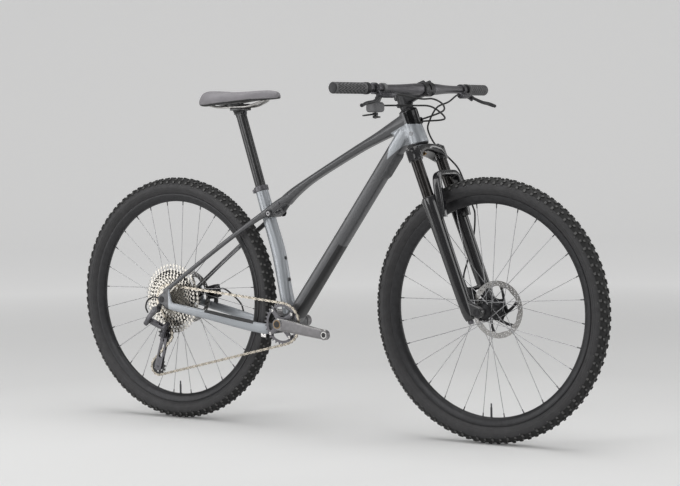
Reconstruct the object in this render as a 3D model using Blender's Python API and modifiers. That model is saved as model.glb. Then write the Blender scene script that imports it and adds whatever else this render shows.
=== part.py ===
"""Hardtail mountain bike with a suspension fork, disc brakes and a one-by-twelve drivetrain.

Metres, +Z up, +X forward, +Y to the rider's left. The origin is on the floor, midway between the axles.
"""

import math

import bmesh
import bpy
from mathutils import Matrix, Vector

# Overall geometry
WHEELBASE = 1.104
CHAINSTAY = 0.433
BB_DROP = 0.059
HEAD_ANGLE = 69.0
HEAD_TUBE_LENGTH = 0.100
FORK_OFFSET = 0.044
CROWN_OFFSET = 0.013
AXLE_TO_CROWN = 0.504
SEAT_ANGLE = 72.3
SEAT_TUBE_LENGTH = 0.4116
SEAT_TUBE_AHEAD = 0.0197
SADDLE_CLAMP_HEIGHT = 0.640

# Wheels
TYRE_RADIUS = 0.368
KNOB_HEIGHT = 0.0035
KNOB_COUNT = 28
TYRE_HALF_WIDTH = 0.0252
RIM_NOSE_RADIUS = 0.295
RIM_EDGE_RADIUS = 0.3185
RIM_BED_RADIUS = 0.3122
RIM_HALF_WIDTH = 0.0158
RIM_WALL = 0.0024
SPOKES = 28
SPOKE_RADIUS = 0.0009
ROTOR_RADIUS = 0.080
ROTOR_THICKNESS = 0.0018
FRONT_HUB_HALF = 0.055
REAR_HUB_HALF = 0.074
FRONT_AXLE_RADIUS = 0.0075
REAR_AXLE_RADIUS = 0.006
FRONT_ROTOR_Y = 0.0395
REAR_ROTOR_Y = 0.0520

# Drivetrain
CHAIN_PITCH = 0.0127
CHAIN_Y = -0.049
CHAIN_HALF_HEIGHT = 0.0036
CHAIN_OUTER_HALF = 0.0025
CHAIN_INNER_HALF = 0.0021
CHAIN_SLOT_HALF = 0.0012
ROLLER_HALF = 0.23
CHAINRING_TEETH = 30
COG_TEETH = (10, 12, 14, 16, 18, 21, 24, 28, 33, 39, 45, 51)
DRIVEN_COG = 5
COG_STEP = 0.0036
COG_THICKNESS = 0.0016
RING_THICKNESS = 0.0018
PULLEY_TEETH = 13
PULLEY_THICKNESS = 0.0018
GUIDE_PULLEY_AT = (-0.0140, -0.1096)
CAGE_LENGTH = 0.1034
CAGE_ANGLE = 16.6
CRANK_LENGTH = 0.175
CRANK_ANGLE = -7.5
SPINDLE_RADIUS = 0.012
BB_SHELL_HALF = 0.046
BB_SHELL_RADIUS = 0.0235
BB_BORE_RADIUS = 0.0205

# Fork and steering
STANCHION_RADIUS = 0.016
STANCHION_SIDE = 0.065
STANCHION_FOOT = 0.185
LOWER_TOP = 0.335
CROWN_FOOT = 0.4485
CROWN_TOP = 0.492
STEERER_RADIUS = 0.0143
HEAD_BORE_RADIUS = 0.0225
HEAD_TUBE_RADIUS = 0.0272
STEM_LENGTH = 0.0755
STEM_HEIGHT = 0.040
SPACER_HEIGHT = 0.010
BAR_HALF_WIDTH = 0.388
BAR_SWEEP = 0.0427
BAR_CLAMP_RADIUS = 0.0159
BAR_GRIP_RADIUS = 0.0111
GRIP_LENGTH = 0.140
GRIP_RADIUS = 0.0158

# Seat
POST_RADIUS = 0.0158
POST_INSERT = 0.150
SEAT_TUBE_RADIUS = 0.0183
RAIL_SPACING = 0.044
RAIL_RADIUS = 0.0035

# Frame details
PIVOT_AT = (-0.053, 0.321)
PIVOT_RADIUS = 0.006
PIVOT_CAP_RADIUS = 0.0118
PIVOT_CAP_AT = 0.0355
PORT_UP = 0.575
PORT_FACE = (0.0137, 0.0305)
DROPOUT_RADIUS = 0.0165
DROPOUT_INNER = 0.0745
DROPOUT_OUTER = 0.0815
BOTTLE_BOLT_SPACING = 0.064
CLEARANCE = 0.0003

Y = Vector((0, 1, 0))
RIGHT, LEFT = -1, 1


def on_side(x, y, z, side):
    return Vector((x, y * side, z))


REAR_AXLE = Vector((-WHEELBASE / 2, 0, TYRE_RADIUS))
FRONT_AXLE = Vector((WHEELBASE / 2, 0, TYRE_RADIUS))
BB = REAR_AXLE + Vector((math.sqrt(CHAINSTAY**2 - BB_DROP**2), 0, -BB_DROP))

HEAD = math.radians(HEAD_ANGLE)
STEER_UP = Vector((-math.cos(HEAD), 0, math.sin(HEAD)))
STEER_AHEAD = Vector((math.sin(HEAD), 0, math.cos(HEAD)))
STEER_FOOT = FRONT_AXLE - FORK_OFFSET * STEER_AHEAD
HEAD_BOTTOM = AXLE_TO_CROWN + 0.0035
HEAD_TOP = HEAD_BOTTOM + HEAD_TUBE_LENGTH
SPACER_FOOT = HEAD_TOP + 0.0058
STEM_FOOT = SPACER_FOOT + SPACER_HEIGHT
STEM_MID = STEM_FOOT + STEM_HEIGHT / 2

SEAT = math.radians(SEAT_ANGLE)
SEAT_UP = Vector((-math.cos(SEAT), 0, math.sin(SEAT)))
SEAT_AHEAD = Vector((math.sin(SEAT), 0, math.cos(SEAT)))


def steer(up, ahead=0.0, side=0.0):
    """A point measured along the steering axis from beside the front axle, then forward and to the left."""
    return STEER_FOOT + up * STEER_UP + ahead * STEER_AHEAD + side * Y


def seat(up, ahead=0.0, side=0.0):
    """A point measured along the seatpost's axis from beside the bottom bracket."""
    return BB + up * SEAT_UP + (SEAT_TUBE_AHEAD + ahead) * SEAT_AHEAD + side * Y


PIVOT = BB + Vector((PIVOT_AT[0], 0, PIVOT_AT[1]))
BAR_CENTRE = steer(STEM_MID, STEM_LENGTH)
CRANK_WAY = Vector((math.cos(math.radians(CRANK_ANGLE)), 0, math.sin(math.radians(CRANK_ANGLE))))

for old in list(bpy.data.objects):
    bpy.data.objects.remove(old, do_unlink=True)
PARTS = bpy.data.collections.new("mountain_bike")
bpy.context.scene.collection.children.link(PARTS)


# Materials
def finish(name, colour, roughness, metallic=0.0):
    material = bpy.data.materials.new(name)
    material.use_nodes = True
    shader = material.node_tree.nodes["Principled BSDF"]
    shader.inputs["Base Color"].default_value = (*colour, 1.0)
    shader.inputs["Roughness"].default_value = roughness
    shader.inputs["Metallic"].default_value = metallic
    return material


FRAME_PAINT = finish("frame_paint", (0.20, 0.22, 0.24), 0.35, 0.4)
GLOSS_BLACK = finish("gloss_black", (0.015, 0.015, 0.017), 0.22)
SATIN_BLACK = finish("satin_black", (0.03, 0.03, 0.033), 0.45, 0.3)
RUBBER = finish("rubber", (0.025, 0.025, 0.026), 0.8)
SADDLE_COVER = finish("saddle_cover", (0.07, 0.065, 0.07), 0.55)
STEEL = finish("steel", (0.6, 0.58, 0.55), 0.3, 1.0)
CHAIN_STEEL = finish("chain_steel", (0.62, 0.55, 0.42), 0.35, 1.0)
GREY_ALLOY = finish("grey_alloy", (0.13, 0.125, 0.125), 0.4, 0.8)


# Bodies: an empty on the axis of each joint
BODIES = {}


def body(name, at):
    empty = bpy.data.objects.new("at_" + name, None)
    empty.location = at
    PARTS.objects.link(empty)
    BODIES[name] = empty
    return name


# Shape tools
def evaluated_mesh(obj):
    bpy.context.view_layer.update()
    graph = bpy.context.evaluated_depsgraph_get()
    mesh = bpy.data.meshes.new_from_object(obj.evaluated_get(graph))
    bm = bmesh.new()
    bm.from_mesh(mesh)
    bm.transform(obj.matrix_world)
    bmesh.ops.remove_doubles(bm, verts=bm.verts, dist=1e-6)
    bmesh.ops.dissolve_degenerate(bm, edges=bm.edges, dist=1e-6)
    bmesh.ops.dissolve_limit(bm, angle_limit=math.radians(0.2), verts=bm.verts, edges=bm.edges)
    bmesh.ops.dissolve_verts(bm, verts=[vert for vert in bm.verts if len(vert.link_edges) == 2])
    bmesh.ops.recalc_face_normals(bm, faces=bm.faces)
    bm.to_mesh(mesh)
    bm.free()
    return mesh


def shape(bm):
    """A loose mesh object from a bmesh."""
    mesh = bpy.data.meshes.new("shape")
    bmesh.ops.recalc_face_normals(bm, faces=bm.faces)
    bm.to_mesh(mesh)
    bm.free()
    obj = bpy.data.objects.new("shape", mesh)
    bpy.context.scene.collection.objects.link(obj)
    return obj


def baked(obj):
    """The object's shape after its modifiers, as a new loose mesh object."""
    mesh = evaluated_mesh(obj)
    bpy.data.objects.remove(obj, do_unlink=True)
    made = bpy.data.objects.new("shape", mesh)
    bpy.context.scene.collection.objects.link(made)
    return made


def combined(shapes, cuts):
    """The first shape joined with the others, less the cuts."""
    base, others = shapes[0], list(shapes[1:]) + list(cuts)
    for index, other in enumerate(others):
        modifier = base.modifiers.new("join", "BOOLEAN")
        modifier.operation = "UNION" if index < len(shapes) - 1 else "DIFFERENCE"
        modifier.object = other
        modifier.solver = "EXACT"
    made = baked(base)
    for other in others:
        bpy.data.objects.remove(other, do_unlink=True)
    return made


def part(name, body_name, material, shapes, cuts=()):
    """One node: shapes joined into one solid, less its cuts, carried by a body."""
    obj = combined(shapes, cuts)
    bpy.context.scene.collection.objects.unlink(obj)
    PARTS.objects.link(obj)
    obj.name = obj.data.name = name
    obj.data.materials.clear()
    own = material.copy()
    own.name = name
    obj.data.materials.append(own)
    obj.data.shade_smooth()
    obj.data.set_sharp_from_angle(angle=math.radians(35))
    carrier = BODIES[body_name]
    obj.parent = carrier
    obj.matrix_parent_inverse = Matrix.Translation(-carrier.location)
    return obj


def facing(origin, axis, first=None):
    """A placement whose local Z runs along axis, and local X along first where that is given."""
    z = axis.normalized()
    x = first if first is not None else (Vector((0, 0, 1)) if abs(z.z) < 0.9 else Vector((1, 0, 0)))
    x = (x - x.dot(z) * z).normalized()
    y = z.cross(x)
    return Matrix.Translation(origin) @ Matrix((x, y, z)).transposed().to_4x4()


def turned(profile, origin, axis, steps=16, first=None):
    """A turned piece. The profile is a closed loop of (radius, height), or runs from the axis to the axis."""
    bm = bmesh.new()
    points = [bm.verts.new((radius, 0, height)) for radius, height in profile]
    for start, end in zip(points, points[1:]):
        bm.edges.new((start, end))
    if profile[0][0] > 1e-6:
        bm.edges.new((points[-1], points[0]))
    mesh = bpy.data.meshes.new("profile")
    bm.to_mesh(mesh)
    bm.free()
    obj = bpy.data.objects.new("profile", mesh)
    bpy.context.scene.collection.objects.link(obj)
    screw = obj.modifiers.new("turn", "SCREW")
    screw.steps = screw.render_steps = steps
    screw.use_merge_vertices = True
    screw.merge_threshold = 1e-5
    screw.use_normal_calculate = True
    obj.matrix_world = facing(origin, axis, first)
    return baked(obj)


def cylinder(start, end, radius, end_radius=None, sides=16):
    bm = bmesh.new()
    bmesh.ops.create_cone(
        bm,
        cap_ends=True,
        segments=sides,
        radius1=radius,
        radius2=radius if end_radius is None else end_radius,
        depth=(end - start).length,
        matrix=facing((start + end) / 2, end - start),
    )
    return shape(bm)


def across(centre, y_from, y_to, radius, sides=16):
    """A cylinder along Y."""
    return cylinder(
        Vector((centre.x, y_from, centre.z)), Vector((centre.x, y_to, centre.z)), radius, sides=sides
    )


def block(centre, sizes, x_way=Vector((1, 0, 0)), z_way=Vector((0, 0, 1)), bevel=0.0, segments=1):
    """A box with its own X and Z directions and rounded edges."""
    bm = bmesh.new()
    bmesh.ops.create_cube(bm, size=1.0)
    bmesh.ops.scale(bm, vec=Vector(sizes), verts=bm.verts)
    if bevel:
        bmesh.ops.bevel(bm, geom=bm.edges[:], offset=bevel, segments=segments, affect="EDGES")
    bm.transform(facing(centre, z_way, x_way))
    return shape(bm)


def power_curve(value, exponent):
    return math.copysign(abs(value) ** exponent, value)


def section(centre, side_way, up_way, half_side, half_up, sides, fullness):
    """A ring of points on a rounded cross-section."""
    ring = []
    for step in range(sides):
        angle = 2 * math.pi * (step + 0.5) / sides
        across_by = half_side * power_curve(math.cos(angle), 2 / fullness)
        up_by = half_up * power_curve(math.sin(angle), 2 / fullness)
        ring.append(centre + side_way * across_by + up_way * up_by)
    return ring


def loft(rings, closed=False):
    """A skin over rings of equal point count, capped at its ends."""
    bm = bmesh.new()
    rows = [[bm.verts.new(point) for point in ring] for ring in rings]
    pairs = list(zip(rows, rows[1:]))
    if closed:
        pairs.append((rows[-1], rows[0]))
    for row, following in pairs:
        for index in range(len(row)):
            nearby = (index + 1) % len(row)
            bm.faces.new((row[index], row[nearby], following[nearby], following[index]))
    if not closed:
        bm.faces.new(rows[0])
        bm.faces.new(rows[-1])
    return shape(bm)


def tube(path, halves, sides=12, fullness=2.4, side_way=Y):
    """A tube along a path. halves gives each station's half width along side_way and half height."""
    rings = []
    for index, point in enumerate(path):
        before = path[max(index - 1, 0)]
        after = path[min(index + 1, len(path) - 1)]
        along = (after - before).normalized()
        side = (side_way - side_way.dot(along) * along).normalized()
        rings.append(section(point, side, side.cross(along), *halves[index], sides, fullness))
    return loft(rings)


def plate(outlines, thickness, origin, x_way, z_way):
    """A flat plate. outlines are loops of (x, y), the outer one first, then its holes."""
    curve = bpy.data.curves.new("outline", "CURVE")
    curve.dimensions = "2D"
    curve.fill_mode = "BOTH"
    curve.extrude = thickness / 2
    for outline in outlines:
        spline = curve.splines.new("POLY")
        spline.points.add(len(outline) - 1)
        for point, (x, y) in zip(spline.points, outline):
            point.co = (x, y, 0, 1)
        spline.use_cyclic_u = True
    obj = bpy.data.objects.new("outline", curve)
    bpy.context.scene.collection.objects.link(obj)
    obj.matrix_world = facing(origin, z_way, x_way)
    return baked(obj)


def side_plate(outlines, thickness, centre, y):
    """A plate in the bike's plane, seen from the drive side: outline x is forward and y is up."""
    return plate(outlines, thickness, Vector((centre.x, y, centre.z)), Vector((1, 0, 0)), -Y)


def circle(radius, sides, x=0.0, y=0.0, turn=0.0):
    return [
        (
            x + radius * math.cos(turn + 2 * math.pi * step / sides),
            y + radius * math.sin(turn + 2 * math.pi * step / sides),
        )
        for step in range(sides)
    ]


def hole(radius, sides):
    """The corner radius of a many-sided hole that clears a rod of this radius."""
    return (radius + CLEARANCE) / math.cos(math.pi / sides)


def hull_of_circles(circles, sides=16):
    """The outline around some circles, each (x, y, radius)."""
    points = sorted(
        {(round(px, 7), round(py, 7)) for x, y, r in circles for px, py in circle(r, sides, x, y)}
    )

    def half(ordered):
        chain = []
        for p in ordered:
            while len(chain) > 1 and turn_of(chain[-2], chain[-1], p) <= 1e-12:
                chain.pop()
            chain.append(p)
        return chain[:-1]

    def turn_of(a, b, c):
        return (b[0] - a[0]) * (c[1] - a[1]) - (b[1] - a[1]) * (c[0] - a[0])

    return half(points) + half(points[::-1])


def smooth_route(points, count):
    """Points evenly along a smooth curve through the route's own points."""
    ends = [2 * points[0] - points[1]] + list(points) + [2 * points[-1] - points[-2]]
    dense = []
    for index in range(1, len(ends) - 2):
        a, b, c, d = ends[index - 1 : index + 3]
        for step in range(20):
            t = step / 20
            dense.append(
                0.5 * (
                    2 * b + (c - a) * t + (2 * a - 5 * b + 4 * c - d) * t * t + (3 * b - a - 3 * c + d) * t**3
                )
            )
    dense.append(points[-1])
    lengths = [0.0]
    for start, end in zip(dense, dense[1:]):
        lengths.append(lengths[-1] + (end - start).length)
    route, index = [], 0
    for step in range(count):
        target = lengths[-1] * step / (count - 1)
        while index < len(lengths) - 2 and lengths[index + 1] < target:
            index += 1
        share = (target - lengths[index]) / (lengths[index + 1] - lengths[index])
        route.append(dense[index].lerp(dense[index + 1], share))
    return route


def hose(points, radius, count, resolution=1):
    """A tube of round wire or hose along a smooth route."""
    curve = bpy.data.curves.new("hose", "CURVE")
    curve.dimensions = "3D"
    curve.bevel_depth = radius
    curve.bevel_resolution = resolution
    curve.use_fill_caps = True
    spline = curve.splines.new("POLY")
    route = smooth_route([Vector(point) for point in points], count)
    spline.points.add(len(route) - 1)
    for point, place in zip(spline.points, route):
        point.co = (*place, 1)
    obj = bpy.data.objects.new("hose", curve)
    bpy.context.scene.collection.objects.link(obj)
    return baked(obj)


# The chain's loop and the sprockets that it runs on, seen from the drive side as (forward, up)
def pitch_radius(teeth):
    return CHAIN_PITCH / (2 * math.sin(math.pi / teeth))


def sprockets(cage_angle):
    """(centre, teeth, turn) in the chain's order. turn is 1 where the chain goes round clockwise."""
    guide = Vector((REAR_AXLE.x + GUIDE_PULLEY_AT[0], REAR_AXLE.z + GUIDE_PULLEY_AT[1]))
    swing = math.radians(cage_angle)
    tension = guide - CAGE_LENGTH * Vector((math.sin(swing), math.cos(swing)))
    return [
        (Vector((BB.x, BB.z)), CHAINRING_TEETH, 1),
        (tension, PULLEY_TEETH, 1),
        (guide, PULLEY_TEETH, -1),
        (Vector((REAR_AXLE.x, REAR_AXLE.z)), COG_TEETH[DRIVEN_COG], 1),
    ]


def chain_runs(wheels):
    """The straight runs between the sprockets, each (start, end, direction)."""
    runs = []
    for index, (centre, teeth, turn) in enumerate(wheels):
        to_centre, to_teeth, to_turn = wheels[(index + 1) % len(wheels)]
        gap = to_centre - centre
        offset = to_turn * pitch_radius(to_teeth) - turn * pitch_radius(teeth)
        angle = math.atan2(gap.y, gap.x) + math.asin(offset / gap.length)
        way = Vector((math.cos(angle), math.sin(angle)))
        right = Vector((way.y, -way.x))
        start = centre - turn * pitch_radius(teeth) * right
        end = to_centre - to_turn * pitch_radius(to_teeth) * right
        runs.append((start, end, way))
    return runs


def chain_pieces(wheels):
    """The loop as arcs and runs, each with its length counted in links."""
    runs = chain_runs(wheels)
    pieces = []
    for index, (centre, teeth, turn) in enumerate(wheels):
        arrive = runs[index - 1][1] - centre
        leave = runs[index][0] - centre
        from_angle = math.atan2(arrive.y, arrive.x)
        sweep = turn * (from_angle - math.atan2(leave.y, leave.x)) % (2 * math.pi)
        pieces.append(("arc", sweep * teeth / (2 * math.pi), centre, teeth, turn, from_angle))
        start, end, way = runs[index]
        pieces.append(("run", (end - start).length / CHAIN_PITCH, start, way))
    return pieces


def link_count(cage_angle):
    return sum(piece[1] for piece in chain_pieces(sprockets(cage_angle)))


def settled_cage_angle():
    """The angle near the photographed one at which the cage takes up an even number of links."""
    links = 2 * round(link_count(CAGE_ANGLE) / 2)
    low, high = CAGE_ANGLE - 30, CAGE_ANGLE + 30
    for _ in range(60):
        middle = (low + high) / 2
        if link_count(middle) < links:
            low = middle
        else:
            high = middle
    return middle, links


CAGE_REST, LINKS = settled_cage_angle()
WHEELS = sprockets(CAGE_REST)
LOOP = chain_pieces(WHEELS)
CHAINRING_LOOP, TENSION_LOOP, GUIDE_LOOP, COG_LOOP = range(4)
GUIDE_AXIS = Vector((WHEELS[GUIDE_LOOP][0].x, CHAIN_Y, WHEELS[GUIDE_LOOP][0].y))
TENSION_AXIS = Vector((WHEELS[TENSION_LOOP][0].x, CHAIN_Y, WHEELS[TENSION_LOOP][0].y))


def on_loop(links):
    """(place, direction) at a distance along the loop, in links."""
    links %= LINKS
    for piece in LOOP:
        if links <= piece[1] + 1e-9:
            break
        links -= piece[1]
    if piece[0] == "run":
        return piece[2] + links * CHAIN_PITCH * piece[3], piece[3]
    _, _, centre, teeth, turn, from_angle = piece
    angle = from_angle - turn * links * 2 * math.pi / teeth
    outward = Vector((math.cos(angle), math.sin(angle)))
    return centre + pitch_radius(teeth) * outward, turn * Vector((outward.y, -outward.x))


def tooth_phase(index):
    """The angle of a roller on a sprocket, so that its gullets meet the chain."""
    before = sum(piece[1] for piece in LOOP[: 2 * index])
    _, _, _, teeth, turn, from_angle = LOOP[2 * index]
    return from_angle - turn * (math.ceil(before) - before) * 2 * math.pi / teeth


TOOTH_TIP_UP = 0.0025
TOOTH_ROOT_DOWN = 0.0041
TOOTH_ROOT_HALF = 0.0019


def toothed(teeth, phase):
    """A sprocket's outline: teeth between the gullets that its rollers sit in."""
    outline = []
    pitch = pitch_radius(teeth)
    for tooth in range(teeth):
        middle = phase + 2 * math.pi * (tooth + 0.5) / teeth
        for radius, offset in (
            (pitch - TOOTH_ROOT_DOWN, -TOOTH_ROOT_HALF),
            (pitch + TOOTH_TIP_UP, 0.0),
            (pitch - TOOTH_ROOT_DOWN, TOOTH_ROOT_HALF),
        ):
            outline.append(
                (radius * math.cos(middle + offset / radius), radius * math.sin(middle + offset / radius))
            )
    return outline


def pointed(teeth):
    """A plainer outline, one tip and one gullet a tooth, for a cog that the chain isn't on."""
    outline = []
    for step in range(2 * teeth):
        radius = pitch_radius(teeth) + (TOOTH_TIP_UP if step % 2 else -TOOTH_ROOT_DOWN)
        outline.append((radius * math.cos(math.pi * step / teeth), radius * math.sin(math.pi * step / teeth)))
    return outline


# Bodies
body("frame", (0, 0, 0))
body("steering", steer(HEAD_BOTTOM))
body("fork_lower", steer(0))
body("front_wheel", FRONT_AXLE)
body("rear_wheel", REAR_AXLE)
body("cassette", REAR_AXLE)
body("crank", BB)
body("seat", seat(SEAT_TUBE_LENGTH))


# Frame
DOWN_WAY = Vector((0.597, 0, 0.802)).normalized()
DOWN_UP = Vector((-DOWN_WAY.z, 0, DOWN_WAY.x))
DOWN_TUBE_HALF = 0.0215


def down(along, up=0.0, side=0.0):
    """A point measured from the bottom bracket along the down tube's axis."""
    return BB + along * DOWN_WAY + up * DOWN_UP + side * Y


DOWN_TUBE_REACH = (steer(HEAD_BOTTOM + 0.045, -0.018) - BB).dot(DOWN_WAY)
SEAT_BOTTLE_FOOT = 0.032
DOWN_BOTTLE_FOOT = 0.300
BOSS_RADIUS = 0.0045
BOSS_HEIGHT = 0.0025
SEAT_TUBE_DEPTH = 0.0215
SEAT_TUBE_BEND = seat(0.205)
SEAT_TUBE_KNEE = BB + Vector((-0.021, 0, 0.091))
LOW_SEAT_WAY = (SEAT_TUBE_BEND - SEAT_TUBE_KNEE).normalized()
LOW_SEAT_FRONT = Vector((LOW_SEAT_WAY.z, 0, -LOW_SEAT_WAY.x))


def seat_stay(side):
    """One arm of the yoke beside the seat tube, run on as a seatstay to the dropout."""
    end = REAR_AXLE + Vector((0.007, 0, 0.0225))
    path = [
        BB + on_side(0.018, 0.009, 0.3785, side),
        PIVOT + on_side(0.026, 0.0215, 0.0285, side),
        PIVOT + on_side(0.0, 0.0285, 0.0075, side),
        PIVOT + on_side(-0.024, 0.0320, -0.0045, side),
        PIVOT + on_side(-0.079, 0.0425, -0.0390, side),
        PIVOT + on_side(-0.154, 0.0510, -0.0880, side),
        end + on_side(0.100, 0.0640, 0.0720, side),
        end + on_side(0.0, (DROPOUT_INNER + DROPOUT_OUTER) / 2, 0.0, side),
    ]
    halves = [
        (0.0075, 0.0100),
        (0.0075, 0.0120),
        (0.0075, 0.0140),
        (0.0065, 0.0100),
        (0.0060, 0.0075),
        (0.0060, 0.0070),
        (0.0055, 0.0065),
        (0.0040, 0.0075),
    ]
    return tube(path, halves, sides=8)


def chain_stay(side):
    end = REAR_AXLE + Vector((0.012, 0, -0.016))
    path = [
        end + on_side(0.0, (DROPOUT_INNER + DROPOUT_OUTER) / 2, 0.0, side),
        end + on_side(0.050, 0.0740, -0.0090, side),
        end + on_side(0.140, 0.0640, -0.0250, side),
        BB + on_side(-0.187, 0.0500, -0.0005, side),
        BB + on_side(-0.112, 0.0425, -0.0135, side),
        BB + on_side(-0.062, 0.0385, -0.0180, side),
        BB + on_side(-0.012, 0.0300, -0.0120, side),
    ]
    halves = [
        (0.0040, 0.0110),
        (0.0055, 0.0125),
        (0.0065, 0.0130),
        (0.0060, 0.0145),
        (0.0055, 0.0155),
        (0.0060, 0.0165),
        (0.0080, 0.0160),
    ]
    return tube(path, halves, sides=8)


def bottle_bosses():
    """Four threaded bosses with flat tops, two on the down tube and two on the seat tube."""
    bosses = []
    for step in (0, 1):
        along = DOWN_BOTTLE_FOOT + step * BOTTLE_BOLT_SPACING
        bosses.append(
            cylinder(
                down(along, DOWN_TUBE_HALF - 0.003),
                down(along, DOWN_TUBE_HALF + BOSS_HEIGHT),
                BOSS_RADIUS,
                sides=8,
            )
        )
        foot = SEAT_TUBE_KNEE + (SEAT_BOTTLE_FOOT + step * BOTTLE_BOLT_SPACING) * LOW_SEAT_WAY
        inside = foot + (SEAT_TUBE_DEPTH - 0.006) * LOW_SEAT_FRONT
        bosses.append(
            cylinder(inside, foot + (SEAT_TUBE_DEPTH + 0.001) * LOW_SEAT_FRONT, BOSS_RADIUS, sides=8)
        )
    return bosses


def make_frame():
    head = turned(
        [
            (0, HEAD_TOP),
            (HEAD_TUBE_RADIUS, HEAD_TOP),
            (HEAD_TUBE_RADIUS - 0.0012, (HEAD_TOP + HEAD_BOTTOM) / 2),
            (HEAD_TUBE_RADIUS + 0.0013, HEAD_BOTTOM),
            (0, HEAD_BOTTOM),
        ],
        steer(0),
        STEER_UP,
        steps=14,
    )
    top = tube(
        [
            steer(HEAD_TOP - 0.029, -0.008),
            steer(HEAD_TOP - 0.046, -0.075),
            BB + Vector((0.145, 0, 0.4535)),
            BB + Vector((0.023, 0, 0.3815)),
            BB + Vector((-0.012, 0, 0.3590)),
        ],
        [(0.0200, 0.0220), (0.0200, 0.0155), (0.0185, 0.0105), (0.0190, 0.0110), (0.0200, 0.0115)],
        sides=10,
        fullness=2.8,
    )
    low = tube(
        [down(DOWN_TUBE_REACH), down(DOWN_TUBE_REACH - 0.06), down(0.34), down(0.12), down(0.01)],
        [
            (0.0215, 0.0200),
            (0.0225, DOWN_TUBE_HALF),
            (0.0225, DOWN_TUBE_HALF),
            (0.0270, DOWN_TUBE_HALF),
            (0.0330, 0.0200),
        ],
        sides=10,
        fullness=3.0,
    )
    upright = tube(
        [
            seat(SEAT_TUBE_LENGTH - 0.003),
            seat(SEAT_TUBE_LENGTH - 0.11),
            SEAT_TUBE_BEND,
            SEAT_TUBE_KNEE,
            BB + Vector((-0.002, 0, 0.010)),
        ],
        [
            (SEAT_TUBE_RADIUS, SEAT_TUBE_RADIUS),
            (SEAT_TUBE_RADIUS, SEAT_TUBE_RADIUS + 0.0015),
            (SEAT_TUBE_RADIUS, SEAT_TUBE_DEPTH),
            (0.0210, 0.0190),
            (0.0270, 0.0185),
        ],
        sides=10,
        fullness=2.1,
    )
    shell = across(BB, -BB_SHELL_HALF, BB_SHELL_HALF, BB_SHELL_RADIUS, sides=16)
    pivot_boss = across(PIVOT, -0.0215, 0.0215, 0.0125, sides=10)
    pivot_nose = cylinder(PIVOT + 0.004 * SEAT_AHEAD, PIVOT + 0.024 * SEAT_AHEAD, 0.0075, sides=8)
    port = cylinder(steer(PORT_UP, 0.008, 0.018), steer(PORT_UP, *PORT_FACE), 0.009, sides=10)
    shapes = [low, head, top, upright, shell, pivot_boss, pivot_nose, port]
    for side in (RIGHT, LEFT):
        shapes += [seat_stay(side), chain_stay(side)]
        shapes.append(across(REAR_AXLE, side * DROPOUT_INNER, side * DROPOUT_OUTER, DROPOUT_RADIUS, sides=14))
    shapes += bottle_bosses()
    cuts = [
        across(PIVOT, -0.05, 0.05, hole(PIVOT_RADIUS, 10), sides=10),
        cylinder(steer(HEAD_BOTTOM - 0.02), steer(HEAD_TOP + 0.02), HEAD_BORE_RADIUS, sides=14),
        cylinder(
            seat(SEAT_TUBE_LENGTH - 0.255), seat(SEAT_TUBE_LENGTH + 0.02), hole(POST_RADIUS, 12), sides=12
        ),
        across(BB, -0.06, 0.06, BB_BORE_RADIUS, sides=16),
        across(REAR_AXLE, -0.1, 0.1, hole(REAR_AXLE_RADIUS, 8), sides=8),
    ]
    for side in (RIGHT, LEFT):
        cuts.append(
            across(PIVOT, side * (PIVOT_CAP_AT - CLEARANCE), side * 0.06, PIVOT_CAP_RADIUS + 0.0010, sides=12)
        )
    part("frame", "frame", FRAME_PAINT, shapes, cuts)


# Frame fittings
def make_bearings():
    outer = HEAD_BORE_RADIUS * math.cos(math.pi / 14) - CLEARANCE
    upper = [
        (STEERER_RADIUS + 0.0009, HEAD_TOP - 0.0095),
        (outer, HEAD_TOP - 0.0095),
        (outer, HEAD_TOP + CLEARANCE),
        (HEAD_TUBE_RADIUS - 0.0010, HEAD_TOP + CLEARANCE),
        (HEAD_TUBE_RADIUS - 0.0027, SPACER_FOOT - CLEARANCE),
        (STEERER_RADIUS + 0.0009, SPACER_FOOT - CLEARANCE),
    ]
    lower = [
        (0.0210, AXLE_TO_CROWN + CLEARANCE),
        (HEAD_TUBE_RADIUS - 0.0007, AXLE_TO_CROWN + CLEARANCE),
        (HEAD_TUBE_RADIUS - 0.0007, HEAD_BOTTOM - CLEARANCE),
        (outer, HEAD_BOTTOM - CLEARANCE),
        (outer, HEAD_BOTTOM + 0.009),
        (0.0210, HEAD_BOTTOM + 0.009),
    ]
    part("headset_upper", "frame", SATIN_BLACK, [turned(upper, steer(0), STEER_UP, 12)])
    part("headset_lower", "frame", SATIN_BLACK, [turned(lower, steer(0), STEER_UP, 12)])
    inner = hole(SPINDLE_RADIUS, 10)
    sleeve = [
        (inner, -BB_SHELL_HALF - 0.0020),
        (0.0230, -BB_SHELL_HALF - 0.0020),
        (0.0230, -BB_SHELL_HALF - CLEARANCE),
        (BB_BORE_RADIUS * math.cos(math.pi / 16) - CLEARANCE, -BB_SHELL_HALF - CLEARANCE),
        (BB_BORE_RADIUS * math.cos(math.pi / 16) - CLEARANCE, BB_SHELL_HALF + CLEARANCE),
        (0.0230, BB_SHELL_HALF + CLEARANCE),
        (0.0230, BB_SHELL_HALF + 0.0020),
        (inner, BB_SHELL_HALF + 0.0020),
    ]
    part("bottom_bracket", "frame", SATIN_BLACK, [turned(sleeve, BB, Y, 10)])


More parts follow.
